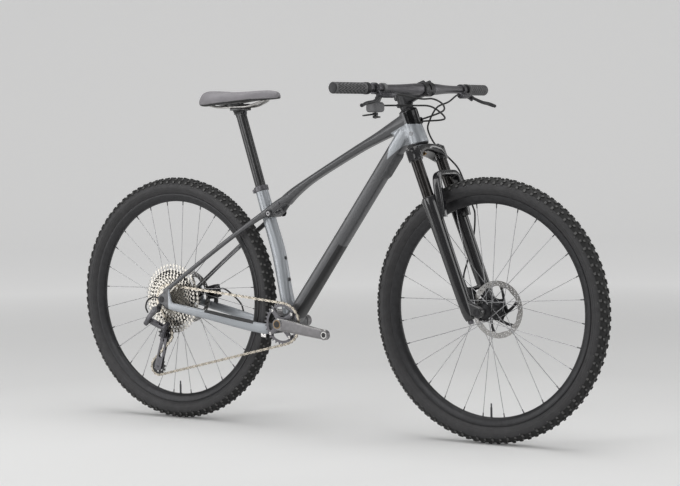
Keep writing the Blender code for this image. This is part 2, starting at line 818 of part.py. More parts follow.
def make_seat_collar():
    top = SEAT_TUBE_LENGTH
    profile = [
        (hole(POST_RADIUS, 12) + 0.0003, top - 0.0026),
        (0.0193, top - 0.0026),
        (0.0193, top - 0.0140),
        (0.0215, top - 0.0140),
        (0.0215, top + 0.0012),
        (hole(POST_RADIUS, 12) + 0.0003, top + 0.0012),
    ]
    ring = turned(profile, seat(0), SEAT_UP, 12)
    lug = block(seat(top - 0.0065, -0.0245), (0.0095, 0.0150, 0.0120), SEAT_AHEAD, SEAT_UP)
    slit = block(seat(top - 0.0065, -0.0250), (0.0090, 0.0012, 0.0300), SEAT_AHEAD, SEAT_UP)
    part("seat_collar", "frame", SATIN_BLACK, [ring, lug], [slit])


def make_pivot_axle():
    profile = [(0, -PIVOT_CAP_AT - 0.0035)]
    for side in (RIGHT, LEFT):
        ends = [
            (PIVOT_CAP_RADIUS - 0.0015, PIVOT_CAP_AT + 0.0035),
            (PIVOT_CAP_RADIUS, PIVOT_CAP_AT + 0.0025),
            (PIVOT_CAP_RADIUS, PIVOT_CAP_AT),
            (PIVOT_RADIUS, PIVOT_CAP_AT),
        ]
        profile += [(radius, side * y) for radius, y in (ends if side == RIGHT else ends[::-1])]
    profile.append((0, PIVOT_CAP_AT + 0.0035))
    part("pivot_axle", "frame", SATIN_BLACK, [turned(profile, PIVOT, Y, 10)])


HANGER_BOLT = REAR_AXLE + Vector((-0.019, 0, -0.031))
HANGER_HALF = 0.0030
HANGER_Y = -0.0775
HANGER_PIN = 0.0045


def make_hanger():
    outline = hull_of_circles([(-0.0080, -0.0160, 0.0080), (-0.019, -0.031, 0.0095)], 12)
    hanger = side_plate(
        [outline, circle(hole(HANGER_PIN, 8), 8, -0.019, -0.031)], 2 * HANGER_HALF, REAR_AXLE, HANGER_Y
    )
    seat_cut = across(REAR_AXLE, -0.1, -0.06, hole(DROPOUT_RADIUS, 14), sides=14)
    part("derailleur_hanger", "frame", SATIN_BLACK, [hanger], [seat_cut])


def make_rear_axle():
    profile = [
        (0, -DROPOUT_OUTER - 0.0015),
        (REAR_AXLE_RADIUS, -DROPOUT_OUTER - 0.0015),
        (REAR_AXLE_RADIUS, DROPOUT_OUTER + CLEARANCE),
        (0.0092, DROPOUT_OUTER + CLEARANCE),
        (0.0092, DROPOUT_OUTER + 0.0035),
        (0.0070, DROPOUT_OUTER + 0.0050),
        (0, DROPOUT_OUTER + 0.0050),
    ]
    part("rear_axle", "frame", SATIN_BLACK, [turned(profile, REAR_AXLE, Y, 10)])


REAR_CALIPER = REAR_AXLE + Vector((0.094, 0.0545, 0.017))


def make_rear_caliper():
    housing = block(REAR_CALIPER, (0.040, 0.026, 0.044), Vector((1, 0, 0.25)), Vector((-0.25, 0, 1)), 0.005)
    bolts = Vector((REAR_CALIPER.x, REAR_CALIPER.y + 0.010, 0))
    foot = cylinder(
        bolts + Vector((0, 0, TYRE_RADIUS - 0.0172)),
        bolts + Vector((0, 0, TYRE_RADIUS + 0.012)),
        0.007,
        sides=10,
    )
    slot = across(REAR_AXLE, REAR_ROTOR_Y - 0.0022, REAR_ROTOR_Y + 0.0022, ROTOR_RADIUS + 0.003, sides=36)
    part("rear_caliper", "frame", SATIN_BLACK, [housing, foot], [slot])


def offset_shell(path, halves, gap, thickness, keep_up, sides, fullness):
    """A strip lying on one side of a tube: a thicker tube less the tube itself and less its other side."""
    outer = tube(path, [(w + gap + thickness, h + gap + thickness) for w, h in halves], sides, fullness)
    ahead = (path[-1] - path[0]).normalized()
    inner_path = [path[0] - 0.01 * ahead] + path[1:-1] + [path[-1] + 0.01 * ahead]
    inner = tube(inner_path, [(w + gap, h + gap) for w, h in halves], sides, fullness)
    away = tube([p - keep_up for p in inner_path], [(w + 0.012, h + 0.004) for w, h in halves], sides, 6)
    return outer, [inner, away]


def make_guards():
    end = REAR_AXLE + Vector((0.012, 0, -0.016))
    path = [
        end + on_side(0.140, 0.0640, -0.0250, RIGHT),
        BB + on_side(-0.187, 0.0500, -0.0005, RIGHT),
        BB + on_side(-0.112, 0.0425, -0.0135, RIGHT),
    ]
    halves = [(0.0065, 0.0130), (0.0060, 0.0145), (0.0055, 0.0155)]
    outer, cuts = offset_shell(path, halves, 0.0012, 0.0018, Vector((0, 0, 0.014)), 10, 2.4)
    part("chainstay_guard", "frame", RUBBER, [outer], cuts)
    path = [down(DOWN_TUBE_REACH - 0.165), down(DOWN_TUBE_REACH - 0.125), down(DOWN_TUBE_REACH - 0.085)]
    halves = [(0.0225, DOWN_TUBE_HALF)] * 3
    outer, cuts = offset_shell(path, halves, 0.0006, 0.0035, -0.019 * DOWN_UP, 12, 3.0)
    part("downtube_bumper", "frame", RUBBER, [outer], cuts)


# Fork
LEG_AHEAD = CROWN_OFFSET
CROWN_SECTIONS = (
    (0.000, 0.0030, 0.0270, 0.4915, 0.0125),
    (0.040, 0.0065, 0.0265, 0.4850, 0.0150),
    (0.065, 0.0130, 0.0210, 0.4703, 0.0217),
    (0.086, 0.0130, 0.0090, 0.4705, 0.0150),
)


def make_crown():
    rings = []
    for side, stations in ((RIGHT, CROWN_SECTIONS[::-1]), (LEFT, CROWN_SECTIONS[1:])):
        for y, ahead, half_ahead, up, half_up in stations:
            rings.append(
                section(steer(up, ahead, side * y), STEER_AHEAD, STEER_UP, half_ahead, half_up, 10, 3.0)
            )
    crown = loft(rings)
    steerer = turned(
        [
            (0, STEM_FOOT + STEM_HEIGHT - 0.003),
            (STEERER_RADIUS, STEM_FOOT + STEM_HEIGHT - 0.003),
            (STEERER_RADIUS, AXLE_TO_CROWN + 0.036),
            (0.0199, AXLE_TO_CROWN + 0.018),
            (0.0199, AXLE_TO_CROWN - 0.006),
            (0, AXLE_TO_CROWN - 0.006),
        ],
        steer(0),
        STEER_UP,
        12,
    )
    shapes = [crown, steerer]
    cuts = [cylinder(steer(0.44), steer(0.70), 0.0115, sides=10)]
    for side in (RIGHT, LEFT):
        y = side * STANCHION_SIDE
        shapes.append(
            cylinder(steer(CROWN_FOOT, LEG_AHEAD, y), steer(CROWN_TOP, LEG_AHEAD, y), 0.0205, sides=14)
        )
        bore = hole(STANCHION_RADIUS, 12)
        cuts.append(cylinder(steer(0.42, LEG_AHEAD, y), steer(0.52, LEG_AHEAD, y), bore, sides=12))
    part("fork_crown", "steering", GLOSS_BLACK, shapes, cuts)


def make_stanchions():
    for name, side in (("stanchion_right", RIGHT), ("stanchion_left", LEFT)):
        foot = steer(STANCHION_FOOT, LEG_AHEAD, side * STANCHION_SIDE)
        top = steer(CROWN_TOP, LEG_AHEAD, side * STANCHION_SIDE)
        part(name, "steering", SATIN_BLACK, [cylinder(foot, top, STANCHION_RADIUS, sides=14)])


def make_fork_knobs():
    body("lockout_dial", steer(CROWN_TOP, LEG_AHEAD, -STANCHION_SIDE))
    profile = [(0, 0.0110), (0.0095, 0.0110), (0.0120, 0.0080), (0.0130, CLEARANCE), (0, CLEARANCE)]
    dial = turned(profile, steer(CROWN_TOP, LEG_AHEAD, -STANCHION_SIDE), STEER_UP, 12)
    part("lockout_dial", "lockout_dial", SATIN_BLACK, [dial])
    body("rebound_knob", steer(LEG_FOOT, LEG_AHEAD, -STANCHION_SIDE))
    profile = [(0, -CLEARANCE), (0.0080, -CLEARANCE), (0.0080, -0.0080), (0.0060, -0.0110), (0, -0.0110)]
    knob = turned(profile, steer(LEG_FOOT, LEG_AHEAD, -STANCHION_SIDE), STEER_UP, 10)
    part("rebound_knob", "rebound_knob", GREY_ALLOY, [knob])


LEG_FOOT = -0.012
LEG_PROFILE = (
    (0.0205, LOWER_TOP + 0.010),
    (0.0215, LOWER_TOP - 0.010),
    (0.0195, 0.180),
    (0.0185, 0.060),
    (0.0165, 0.012),
    (0.0120, LEG_FOOT),
)
DROPOUT_FROM = FRONT_HUB_HALF + CLEARANCE
DROPOUT_TO = 0.0725
ARCH = (
    (0.0320, 0.0620, 0.290, 0.0115, 0.0100),
    (0.0435, 0.0560, 0.340, 0.0115, 0.0100),
    (0.0505, 0.0450, 0.385, 0.0115, 0.0090),
    (0.0505, 0.0300, 0.399, 0.0115, 0.0080),
    (0.0505, 0.0000, 0.402, 0.0115, 0.0075),
)
CALIPER_UP = 0.060
CALIPER_AHEAD = -0.0285
CALIPER_Y = 0.0425
CALIPER_DEPTH = 0.036
POST_UPS = (0.042, 0.080)
POST_Y = 0.052


def make_lowers():
    shapes, cuts = [], []
    for side in (RIGHT, LEFT):
        foot = steer(0, LEG_AHEAD, side * STANCHION_SIDE)
        shapes.append(turned([(0, LEG_PROFILE[0][1]), *LEG_PROFILE, (0, LEG_FOOT)], foot, STEER_UP, 12))
        outline = hull_of_circles([(FORK_OFFSET, 0.0, 0.0155), (LEG_AHEAD, 0.030, 0.0140)], 12)
        middle = steer(0, 0, side * (DROPOUT_FROM + DROPOUT_TO) / 2)
        shapes.append(plate([outline], DROPOUT_TO - DROPOUT_FROM, middle, STEER_AHEAD, -Y))
        bore_top = steer(LOWER_TOP + 0.05, LEG_AHEAD, side * STANCHION_SIDE)
        bore_foot = steer(0.08, LEG_AHEAD, side * STANCHION_SIDE)
        cuts.append(cylinder(bore_foot, bore_top, hole(STANCHION_RADIUS, 12), sides=12))
    over = [(a, -y, t, w, h) for a, y, t, w, h in ARCH] + [row for row in ARCH[-2::-1]]
    shapes.append(
        tube([steer(t, a, y) for a, y, t, _, _ in over], [(w, h) for *_, w, h in over], 8, 2.6, STEER_AHEAD)
    )
    for up in POST_UPS:
        end = CALIPER_AHEAD + CALIPER_DEPTH / 2 + CLEARANCE
        shapes.append(cylinder(steer(up, LEG_AHEAD, POST_Y), steer(up, end, POST_Y), 0.006, sides=8))
    cuts.append(across(FRONT_AXLE, -0.1, 0.1, hole(FRONT_AXLE_RADIUS, 10), sides=10))
    part("fork_lowers", "fork_lower", GLOSS_BLACK, shapes, cuts)


def make_front_axle():
    profile = [
        (0, -DROPOUT_TO - 0.001),
        (FRONT_AXLE_RADIUS, -DROPOUT_TO - 0.001),
        (FRONT_AXLE_RADIUS, DROPOUT_TO + CLEARANCE),
        (0.0105, DROPOUT_TO + CLEARANCE),
        (0.0105, DROPOUT_TO + 0.004),
        (0.0085, DROPOUT_TO + 0.0055),
        (0, DROPOUT_TO + 0.0055),
    ]
    part("front_axle", "fork_lower", SATIN_BLACK, [turned(profile, FRONT_AXLE, Y, 12)])


def make_front_caliper():
    centre = steer(CALIPER_UP, CALIPER_AHEAD, CALIPER_Y)
    housing = block(centre, (CALIPER_DEPTH, 0.0310, 0.0580), STEER_AHEAD, STEER_UP, 0.005)
    slot = across(FRONT_AXLE, FRONT_ROTOR_Y - 0.0021, FRONT_ROTOR_Y + 0.0021, ROTOR_RADIUS + 0.003, sides=36)
    part("front_caliper", "fork_lower", SATIN_BLACK, [housing], [slot])


# Wheels
TREAD_SEGMENTS = 2 * KNOB_COUNT
TREAD_TURN = math.radians(-90 + 180 / TREAD_SEGMENTS)
WHEEL_FIRST = Vector((math.cos(TREAD_TURN), 0, math.sin(TREAD_TURN)))
TREAD_RADIUS = (TYRE_RADIUS - KNOB_HEIGHT) / math.cos(math.pi / TREAD_SEGMENTS)
TREAD_HALF = 0.012
BEAD_HALF = RIM_HALF_WIDTH - RIM_WALL - 0.0005
SPOKE_END = RIM_NOSE_RADIUS * math.cos(math.pi / KNOB_COUNT) - 0.0005


def around(centre, radius, y, step, steps):
    angle = TREAD_TURN + 2 * math.pi * step / steps
    return centre + Vector((radius * math.cos(angle), y, radius * math.sin(angle)))


def make_tyre(name, body_name, centre):
    """A tyre with knobs raised from every other face of its tread, and edge knobs along its shoulders."""
    bm = bmesh.new()
    shoulder = TREAD_RADIUS - 0.019
    rows = []
    for side in (RIGHT, LEFT):
        sidewall = [
            (BEAD_HALF, RIM_BED_RADIUS + 0.0004, KNOB_COUNT, 0.0),
            (BEAD_HALF, RIM_EDGE_RADIUS + 0.0007, KNOB_COUNT, 0.0),
            (TYRE_HALF_WIDTH - 0.0033, RIM_EDGE_RADIUS + 0.008, KNOB_COUNT, 0.0),
            (TYRE_HALF_WIDTH, shoulder, TREAD_SEGMENTS, KNOB_HEIGHT),
            (TREAD_HALF, TREAD_RADIUS, TREAD_SEGMENTS, 0.0),
        ]
        for half, radius, steps, raised in sidewall if side == RIGHT else sidewall[::-1]:
            row = []
            for step in range(steps):
                height = raised * (step % 2)
                row.append(
                    bm.verts.new(around(centre, radius + height / 2, side * (half + height), step, steps))
                )
            rows.append(row)
    tread = []
    for index, row in enumerate(rows):
        following = rows[(index + 1) % len(rows)]
        strip = []
        for step in range(min(len(row), len(following))):
            after = step + 1
            if len(row) == len(following):
                after %= len(row)
                strip.append(bm.faces.new((row[step], row[after], following[after], following[step])))
                continue
            fine, coarse = (row, following) if len(row) > len(following) else (following, row)
            start, middle, end = (fine[(2 * step + k) % len(fine)] for k in range(3))
            near, far = coarse[step], coarse[after % len(coarse)]
            bm.faces.new((start, middle, near))
            bm.faces.new((middle, far, near))
            bm.faces.new((middle, end, far))
        if len(strip) == TREAD_SEGMENTS:
            tread.append(strip)
    bmesh.ops.recalc_face_normals(bm, faces=bm.faces)
    raised = bmesh.ops.extrude_discrete_faces(bm, faces=tread[1][1::2])["faces"]
    for face in raised:
        bmesh.ops.translate(bm, verts=face.verts[:], vec=KNOB_HEIGHT * face.normal)
    part(name, body_name, RUBBER, [shape(bm)])


def make_rim(name, body_name, centre):
    profile = []
    for side in (LEFT, RIGHT):
        points = [
            (RIM_NOSE_RADIUS, 0.007),
            (RIM_EDGE_RADIUS, RIM_HALF_WIDTH),
            (RIM_BED_RADIUS, RIM_HALF_WIDTH - RIM_WALL),
        ]
        profile += [(radius, side * y) for radius, y in (points if side == LEFT else points[::-1])]
    rim = turned(profile, centre, Y, KNOB_COUNT, WHEEL_FIRST)
    valve = cylinder(centre - Vector((0, 0, 0.255)), centre - Vector((0, 0, 0.302)), 0.003, sides=8)
    part(name, body_name, SATIN_BLACK, [rim, valve])


def spoke(centre, flange_y, flange_radius, index, lean):
    """One spoke from its hole in the flange to the rim, three crossings away from a radial line."""
    rim_angle = TREAD_TURN + math.radians(5.0) + 2 * math.pi * index / SPOKES
    hub_angle = rim_angle + lean * 3 * 4 * math.pi / SPOKES
    start = centre + Vector(
        (flange_radius * math.cos(hub_angle), flange_y, flange_radius * math.sin(hub_angle))
    )
    rim_y = math.copysign(0.002, flange_y)
    end = centre + Vector((SPOKE_END * math.cos(rim_angle), rim_y, SPOKE_END * math.sin(rim_angle)))
    return cylinder(start, end, SPOKE_RADIUS, sides=3)


def make_hub(name, body_name, centre, profile, flanges, flange_radius):
    shapes = [turned(profile, centre, Y, 10)]
    for index in range(SPOKES):
        lean = 1 if index // 2 % 2 else -1
        flange_y = flanges[index % 2]
        outer = 0.0013 if lean == 1 else -0.0013
        shapes.append(spoke(centre, flange_y + outer, flange_radius - 0.003, index, lean))
    part(name, body_name, STEEL, shapes)


def make_hubs():
    bore = hole(FRONT_AXLE_RADIUS, 10)
    front = [
        (bore, -FRONT_HUB_HALF),
        (0.0120, -FRONT_HUB_HALF),
        (0.0125, -0.0370),
        (0.0280, -0.0354),
        (0.0280, -0.0306),
        (0.0160, -0.0270),
        (0.0160, 0.0200),
        (0.0280, 0.0236),
        (0.0280, 0.0284),
        (0.0158, 0.0300),
        (0.0158, FRONT_ROTOR_Y + 0.0015),
        (0.0120, FRONT_ROTOR_Y + 0.0030),
        (0.0120, FRONT_HUB_HALF),
        (bore, FRONT_HUB_HALF),
    ]
    make_hub("front_hub", "front_wheel", FRONT_AXLE, front, (0.0260, -0.0330), 0.0280)
    bore = hole(REAR_AXLE_RADIUS, 10)
    rear = [
        (bore, -REAR_HUB_HALF),
        (0.0085, -REAR_HUB_HALF),
        (0.0085, -0.0225),
        (0.0280, -0.0223),
        (0.0280, -0.0175),
        (0.0170, -0.0150),
        (0.0170, 0.0280),
        (0.0280, 0.0316),
        (0.0280, 0.0364),
        (0.0158, 0.0380),
        (0.0158, REAR_ROTOR_Y + 0.0015),
        (0.0110, REAR_ROTOR_Y + 0.0030),
        (0.0110, REAR_HUB_HALF),
        (bore, REAR_HUB_HALF),
    ]
    make_hub("rear_hub", "rear_wheel", REAR_AXLE, rear, (0.0340, -0.0199), 0.0280)


WINDOW = ((0.030, 8), (0.030, 49), (0.046, 69), (0.063, 79), (0.063, 60), (0.063, 40))


def make_rotor(name, body_name, centre, y):
    """A brake disc: a rubbing ring on six slanted arms."""
    outlines = [circle(ROTOR_RADIUS, 24), circle(hole(0.0158, 10), 10)]
    for arm in range(6):
        start = math.radians(60 * arm)
        window = []
        for radius, angle in WINDOW:
            turn = start + math.radians(angle)
            window.append((radius * math.cos(turn), radius * math.sin(turn)))
        outlines.append(window)
    part(name, body_name, STEEL, [side_plate(outlines, ROTOR_THICKNESS, centre, y)])


# Drivetrain
def cog_y(index):
    return CHAIN_Y + (index - DRIVEN_COG) * COG_STEP


def make_cassette():
    """Twelve cogs on a stepped core, closed up ring by ring from the outer face to the inner one."""
    bm = bmesh.new()

    def ring(outline, y):
        points = [bm.verts.new(REAR_AXLE + Vector((px, y, pz))) for px, pz in outline]
        edges = [bm.edges.new((points[k - 1], points[k])) for k in range(len(points))]
        return points, edges

    def wall(first, second):
        for k in range(len(first[0])):
            bm.faces.new((first[0][k - 1], first[0][k], second[0][k], second[0][k - 1]))

    def flat(first, second):
        bmesh.ops.triangle_fill(bm, edges=first[1] + second[1], use_beauty=True)

    big, small = circle(hole(FREEHUB_RADIUS, 10), 10), circle(0.0120, 10)
    half = COG_THICKNESS / 2
    last = start = ring(small, cog_y(0) - half)
    for index, teeth in enumerate(COG_TEETH):
        if index == DRIVEN_COG:
            outline = toothed(teeth, tooth_phase(COG_LOOP))
            outer, inner = ring(outline, cog_y(index) - half), ring(outline, cog_y(index) + half)
            flat(last, outer)
            wall(outer, inner)
            last = inner
        else:
            edge = ring(pointed(teeth), cog_y(index))
            flat(last, edge)
            last = edge
        if index + 1 < len(COG_TEETH):
            radius = pitch_radius(teeth) - TOOTH_ROOT_DOWN - 0.0012
            near, far = (ring(circle(radius, 8), y) for y in (cog_y(index) + half, cog_y(index + 1) - half))
            flat(last, near)
            wall(near, far)
            last = far
    back = ring(big, cog_y(len(COG_TEETH) - 1) + half)
    flat(last, back)
    step_big, step_small = ring(big, CASSETTE_STEP_Y), ring(small, CASSETTE_STEP_Y)
    wall(back, step_big)
    flat(step_big, step_small)
    wall(step_small, start)
    part("cassette", "cassette", CHAIN_STEEL, [shape(bm)])
    bore = hole(0.0085, 10)
    freehub = [
        (bore, CASSETTE_STEP_Y + 0.0004),
        (FREEHUB_RADIUS - 0.0003, CASSETTE_STEP_Y + 0.0004),
        (FREEHUB_RADIUS - 0.0003, -0.0232),
        (bore, -0.0232),
    ]
    part("freehub", "cassette", GREY_ALLOY, [turned(freehub, REAR_AXLE, Y, 10)])


FREEHUB_RADIUS = 0.0167
CASSETTE_STEP_Y = -0.0612


def meshed_with_teeth(link):
    """Whether a sprocket's teeth stand in this link, so that it is open between its side plates."""
    start = 0.0
    for piece in LOOP:
        if piece[0] == "arc" and start - 3.5 < link < start + piece[1] + 2.5:
            return True
        start += piece[1]
    return link > LINKS - 3.5


def make_chain():
    """Links as rollers joined by pairs of side plates, alternately wide and narrow."""
    bm = bmesh.new()
    stations = []
    for link in range(LINKS):
        half = CHAIN_OUTER_HALF if link % 2 else CHAIN_INNER_HALF
        columns, offsets = [-half, half], [0.5]
        if meshed_with_teeth(link):
            columns = [-half, -CHAIN_SLOT_HALF, CHAIN_SLOT_HALF, half]
            offsets = [ROLLER_HALF, 1 - ROLLER_HALF]
        for offset in offsets:
            place, way = on_loop(link + offset)
            up = Vector((-way.y, 0, way.x)) * CHAIN_HALF_HEIGHT
            middle = Vector((place.x, CHAIN_Y, place.y))
            low, high = ([bm.verts.new(middle + up * s + Y * y) for y in columns] for s in (-1, 1))
            stations.append((low, high, len(columns) == 4 and offset < 0.5))
    for index, (low, high, is_open) in enumerate(stations):
        next_low, next_high, _ = stations[(index + 1) % len(stations)]
        strips = [(0, 2, 0, 2), (2, 4, 2, 4)] if is_open else [(0, len(low), 0, len(next_low))]
        for start, end, next_start, next_end in strips:
            bm.faces.new(low[start:end] + next_low[next_start:next_end][::-1])
            bm.faces.new(high[start:end][::-1] + next_high[next_start:next_end])
            bm.faces.new((low[start], next_low[next_start], next_high[next_start], high[start]))
            bm.faces.new((high[end - 1], next_high[next_end - 1], next_low[next_end - 1], low[end - 1]))
        if len(low) == 4:
            bm.faces.new((low[1], low[2], high[2], high[1]))
    part("chain", "frame", CHAIN_STEEL, [shape(bm)])


EYE_RADIUS = 0.0125
EYE_HOLE = 0.0071
ARM_INNER_Y = 0.0680
ARM_OUTER_Y = 0.0800
ARM_HALF = 0.0065
BOSS_FROM = BB_SHELL_HALF + 0.0043
BOSS_TO = 0.0765
SPIDER_REACH = 0.0520


def crank_arm(side):
    """The arm, its boss and its pedal eye. The right arm points along CRANK_WAY, the left one back."""
    way = CRANK_WAY * -side
    eye = BB + CRANK_LENGTH * way
    path = [
        BB + side * ARM_INNER_Y * Y,
        BB + 0.35 * CRANK_LENGTH * way + side * (ARM_INNER_Y + 0.002) * Y,
        BB + 0.75 * CRANK_LENGTH * way + side * (ARM_OUTER_Y - 0.003) * Y,
        eye + side * ARM_OUTER_Y * Y,
    ]
    arm = tube(
        path, [(ARM_HALF, 0.0150), (ARM_HALF, 0.0135), (ARM_HALF, 0.0115), (ARM_HALF, 0.0110)], 10, 4.0
    )
    boss = across(BB, side * BOSS_FROM, side * BOSS_TO, 0.0170, sides=14)
    end = across(eye, side * (ARM_OUTER_Y - ARM_HALF), side * (ARM_OUTER_Y + ARM_HALF), EYE_RADIUS, sides=14)
    return [arm, boss, end], across(eye, side * 0.06, side * 0.1, EYE_HOLE, sides=10)


def make_cranks():
    shapes, eye_hole = crank_arm(RIGHT)
    shapes.append(
        cylinder(BB - (BOSS_FROM + 0.008) * Y, BB + (BOSS_TO - 0.002) * Y, SPINDLE_RADIUS, sides=12)
    )
    for step in range(4):
        turn = math.radians(CRANK_ANGLE + 45 + 90 * step)
        way = Vector((math.cos(turn), 0, math.sin(turn)))
        cross = Vector((-way.z, 0, way.x))
        middle = BB - (BOSS_FROM + 0.0031) * Y
        rings = []
        for reach, half in ((0.006, 0.0125), (0.030, 0.0075), (SPIDER_REACH, 0.0065)):
            corners = ((half, 0.0028), (-half, 0.0028), (-half, -0.0028), (half, -0.0028))
            rings.append([middle + reach * way + a * cross + b * Y for a, b in corners])
        shapes.append(loft(rings))
    spindle_bore = across(BB, -0.1, 0.1, 0.0085, sides=10)
    part("crank_right", "crank", GREY_ALLOY, shapes, [eye_hole, spindle_bore])
    shapes, eye_hole = crank_arm(LEFT)
    bore = across(BB, 0.03, 0.1, hole(SPINDLE_RADIUS, 12), sides=12)
    part("crank_left", "crank", GREY_ALLOY, shapes, [eye_hole, bore])
    outline = toothed(CHAINRING_TEETH, tooth_phase(CHAINRING_LOOP))
    ring = side_plate([outline, circle(0.0460, 20)], RING_THICKNESS, BB, CHAIN_Y)
    part("chainring", "crank", SATIN_BLACK, [ring])


LINK_WAY = Vector((0.94, 0, -0.342)).normalized()
TRAVEL_WAY = Vector((-0.279, 0.58, -0.766)).normalized()
LINK_AXIS = LINK_WAY.cross(TRAVEL_WAY).normalized()
LINK_LENGTH = 0.060
LINK_HALF = 0.007
LINK_PIN = 0.003
LINK_TOP = REAR_AXLE + Vector((-0.053, -0.078, -0.065))
LINK_FOOT = LINK_TOP + LINK_LENGTH * LINK_WAY
CAGE_GAP = 0.0031
CAGE_PLATE = 0.0014
CAGE_PIN = 0.0022
KNUCKLE_FACE = CHAIN_Y - CAGE_GAP - CAGE_PLATE - 0.0006


def make_derailleur():
    body("derailleur_link", LINK_TOP)
    body("derailleur_p_knuckle", LINK_FOOT)
    body("derailleur_cage", GUIDE_AXIS)
    body("guide_pulley", GUIDE_AXIS)
    body("tension_pulley", TENSION_AXIS)
    bolt_face = HANGER_Y - HANGER_HALF - CLEARANCE
    boss = across(HANGER_BOLT, bolt_face, bolt_face - 0.014, 0.0105, sides=12)
    stub = across(HANGER_BOLT, bolt_face - 0.002, HANGER_Y + HANGER_HALF, HANGER_PIN, sides=8)
    outer_pad = cylinder(
        LINK_TOP - 0.0235 * LINK_AXIS, LINK_TOP - (LINK_HALF + 0.0006) * LINK_AXIS, 0.0075, sides=10
    )
    arm_start = HANGER_BOLT + (bolt_face - 0.008) * Y
    arm = tube([arm_start, LINK_TOP - 0.0190 * LINK_AXIS], [(0.0055, 0.0090), (0.0045, 0.0070)], 8, 2.6)
    pin = cylinder(LINK_TOP - 0.012 * LINK_AXIS, LINK_TOP + LINK_HALF * LINK_AXIS, LINK_PIN, sides=8)
    part("derailleur_knuckle", "frame", SATIN_BLACK, [boss, stub, outer_pad, arm, pin])

    shapes, cuts = [], []
    for end in (LINK_TOP, LINK_FOOT):
        shapes.append(cylinder(end - LINK_HALF * LINK_AXIS, end + LINK_HALF * LINK_AXIS, 0.0070, sides=10))
        cuts.append(cylinder(end - 0.02 * LINK_AXIS, end + 0.02 * LINK_AXIS, hole(LINK_PIN, 8), sides=8))
    bar = tube(
        [LINK_TOP, (LINK_TOP + LINK_FOOT) / 2, LINK_FOOT],
        [(0.0068, 0.0055), (0.0068, 0.0065), (0.0068, 0.0055)],
        10,
        4.0,
        LINK_AXIS,
    )
    part("derailleur_link", "derailleur_link", SATIN_BLACK, shapes[:1] + [bar] + shapes[1:], cuts)

    inner_pad = cylinder(
        LINK_FOOT + (LINK_HALF + 0.0006) * LINK_AXIS, LINK_FOOT + 0.0230 * LINK_AXIS, 0.0075, sides=10
    )
    pin = cylinder(LINK_FOOT - LINK_HALF * LINK_AXIS, LINK_FOOT + 0.010 * LINK_AXIS, LINK_PIN, sides=8)
    barrel = across(GUIDE_AXIS, KNUCKLE_FACE - 0.0140, KNUCKLE_FACE, 0.0115, sides=12)
    barrel_middle = GUIDE_AXIS + (KNUCKLE_FACE - 0.0075 - CHAIN_Y) * Y
    arm = tube([barrel_middle, LINK_FOOT + 0.0185 * LINK_AXIS], [(0.0065, 0.0080), (0.0055, 0.0070)], 8, 2.6)
    pivot_hole = across(GUIDE_AXIS, KNUCKLE_FACE - 0.010, KNUCKLE_FACE + 0.01, hole(0.003, 8), sides=8)
    part(
        "derailleur_p_knuckle",
        "derailleur_p_knuckle",
        SATIN_BLACK,
        [barrel, arm, inner_pad, pin],
        [pivot_hole],
    )

    reach = TENSION_AXIS - GUIDE_AXIS
    outline = hull_of_circles([(0.0, 0.0, 0.0120), (reach.x, reach.z, 0.0130)], 12)
    shapes = []
    for side in (RIGHT, LEFT):
        y = CHAIN_Y + side * (CAGE_GAP + CAGE_PLATE / 2)
        shapes.append(side_plate([outline], CAGE_PLATE, GUIDE_AXIS, y))
    for axis in (GUIDE_AXIS, TENSION_AXIS):
        shapes.append(
            across(axis, CHAIN_Y - CAGE_GAP - 0.0005, CHAIN_Y + CAGE_GAP + 0.0005, CAGE_PIN, sides=8)
        )
    shapes.append(across(GUIDE_AXIS, KNUCKLE_FACE - 0.0095, CHAIN_Y - CAGE_GAP - 0.0005, 0.003, sides=8))
    part("derailleur_cage", "derailleur_cage", GREY_ALLOY, shapes)
    for name, axis, loop in (
        ("guide_pulley", GUIDE_AXIS, GUIDE_LOOP), ("tension_pulley", TENSION_AXIS, TENSION_LOOP)
    ):
        outline = toothed(PULLEY_TEETH, tooth_phase(loop))
        part(
            name,
            name,
            SATIN_BLACK,
            [side_plate([outline, circle(hole(CAGE_PIN, 8), 8)], PULLEY_THICKNESS, axis, CHAIN_Y)],
        )


# Cockpit
BAR_LINE = (
    (0.000, 0.0000, 1.00),
    (0.030, 0.0000, 1.00),
    (0.055, 0.0008, 0.94),
    (0.095, 0.0040, 0.45),
    (0.140, 0.0095, 0.10),
    (0.200, 0.0175, 0.00),
    (BAR_HALF_WIDTH, BAR_SWEEP, 0.00),
)


def bar_point(y):
    """The handlebar's centre at a distance out from the middle, either side."""
    out = abs(y)
    for (y0, back0, _), (y1, back1, _) in zip(BAR_LINE, BAR_LINE[1:]):
        if out <= y1:
            break
    share = (out - y0) / (y1 - y0)
    return BAR_CENTRE + Vector((-(back0 + share * (back1 - back0)), y, 0.0044 * out))


def bar_way(side):
    return (bar_point(side * BAR_HALF_WIDTH) - bar_point(side * 0.21)).normalized()


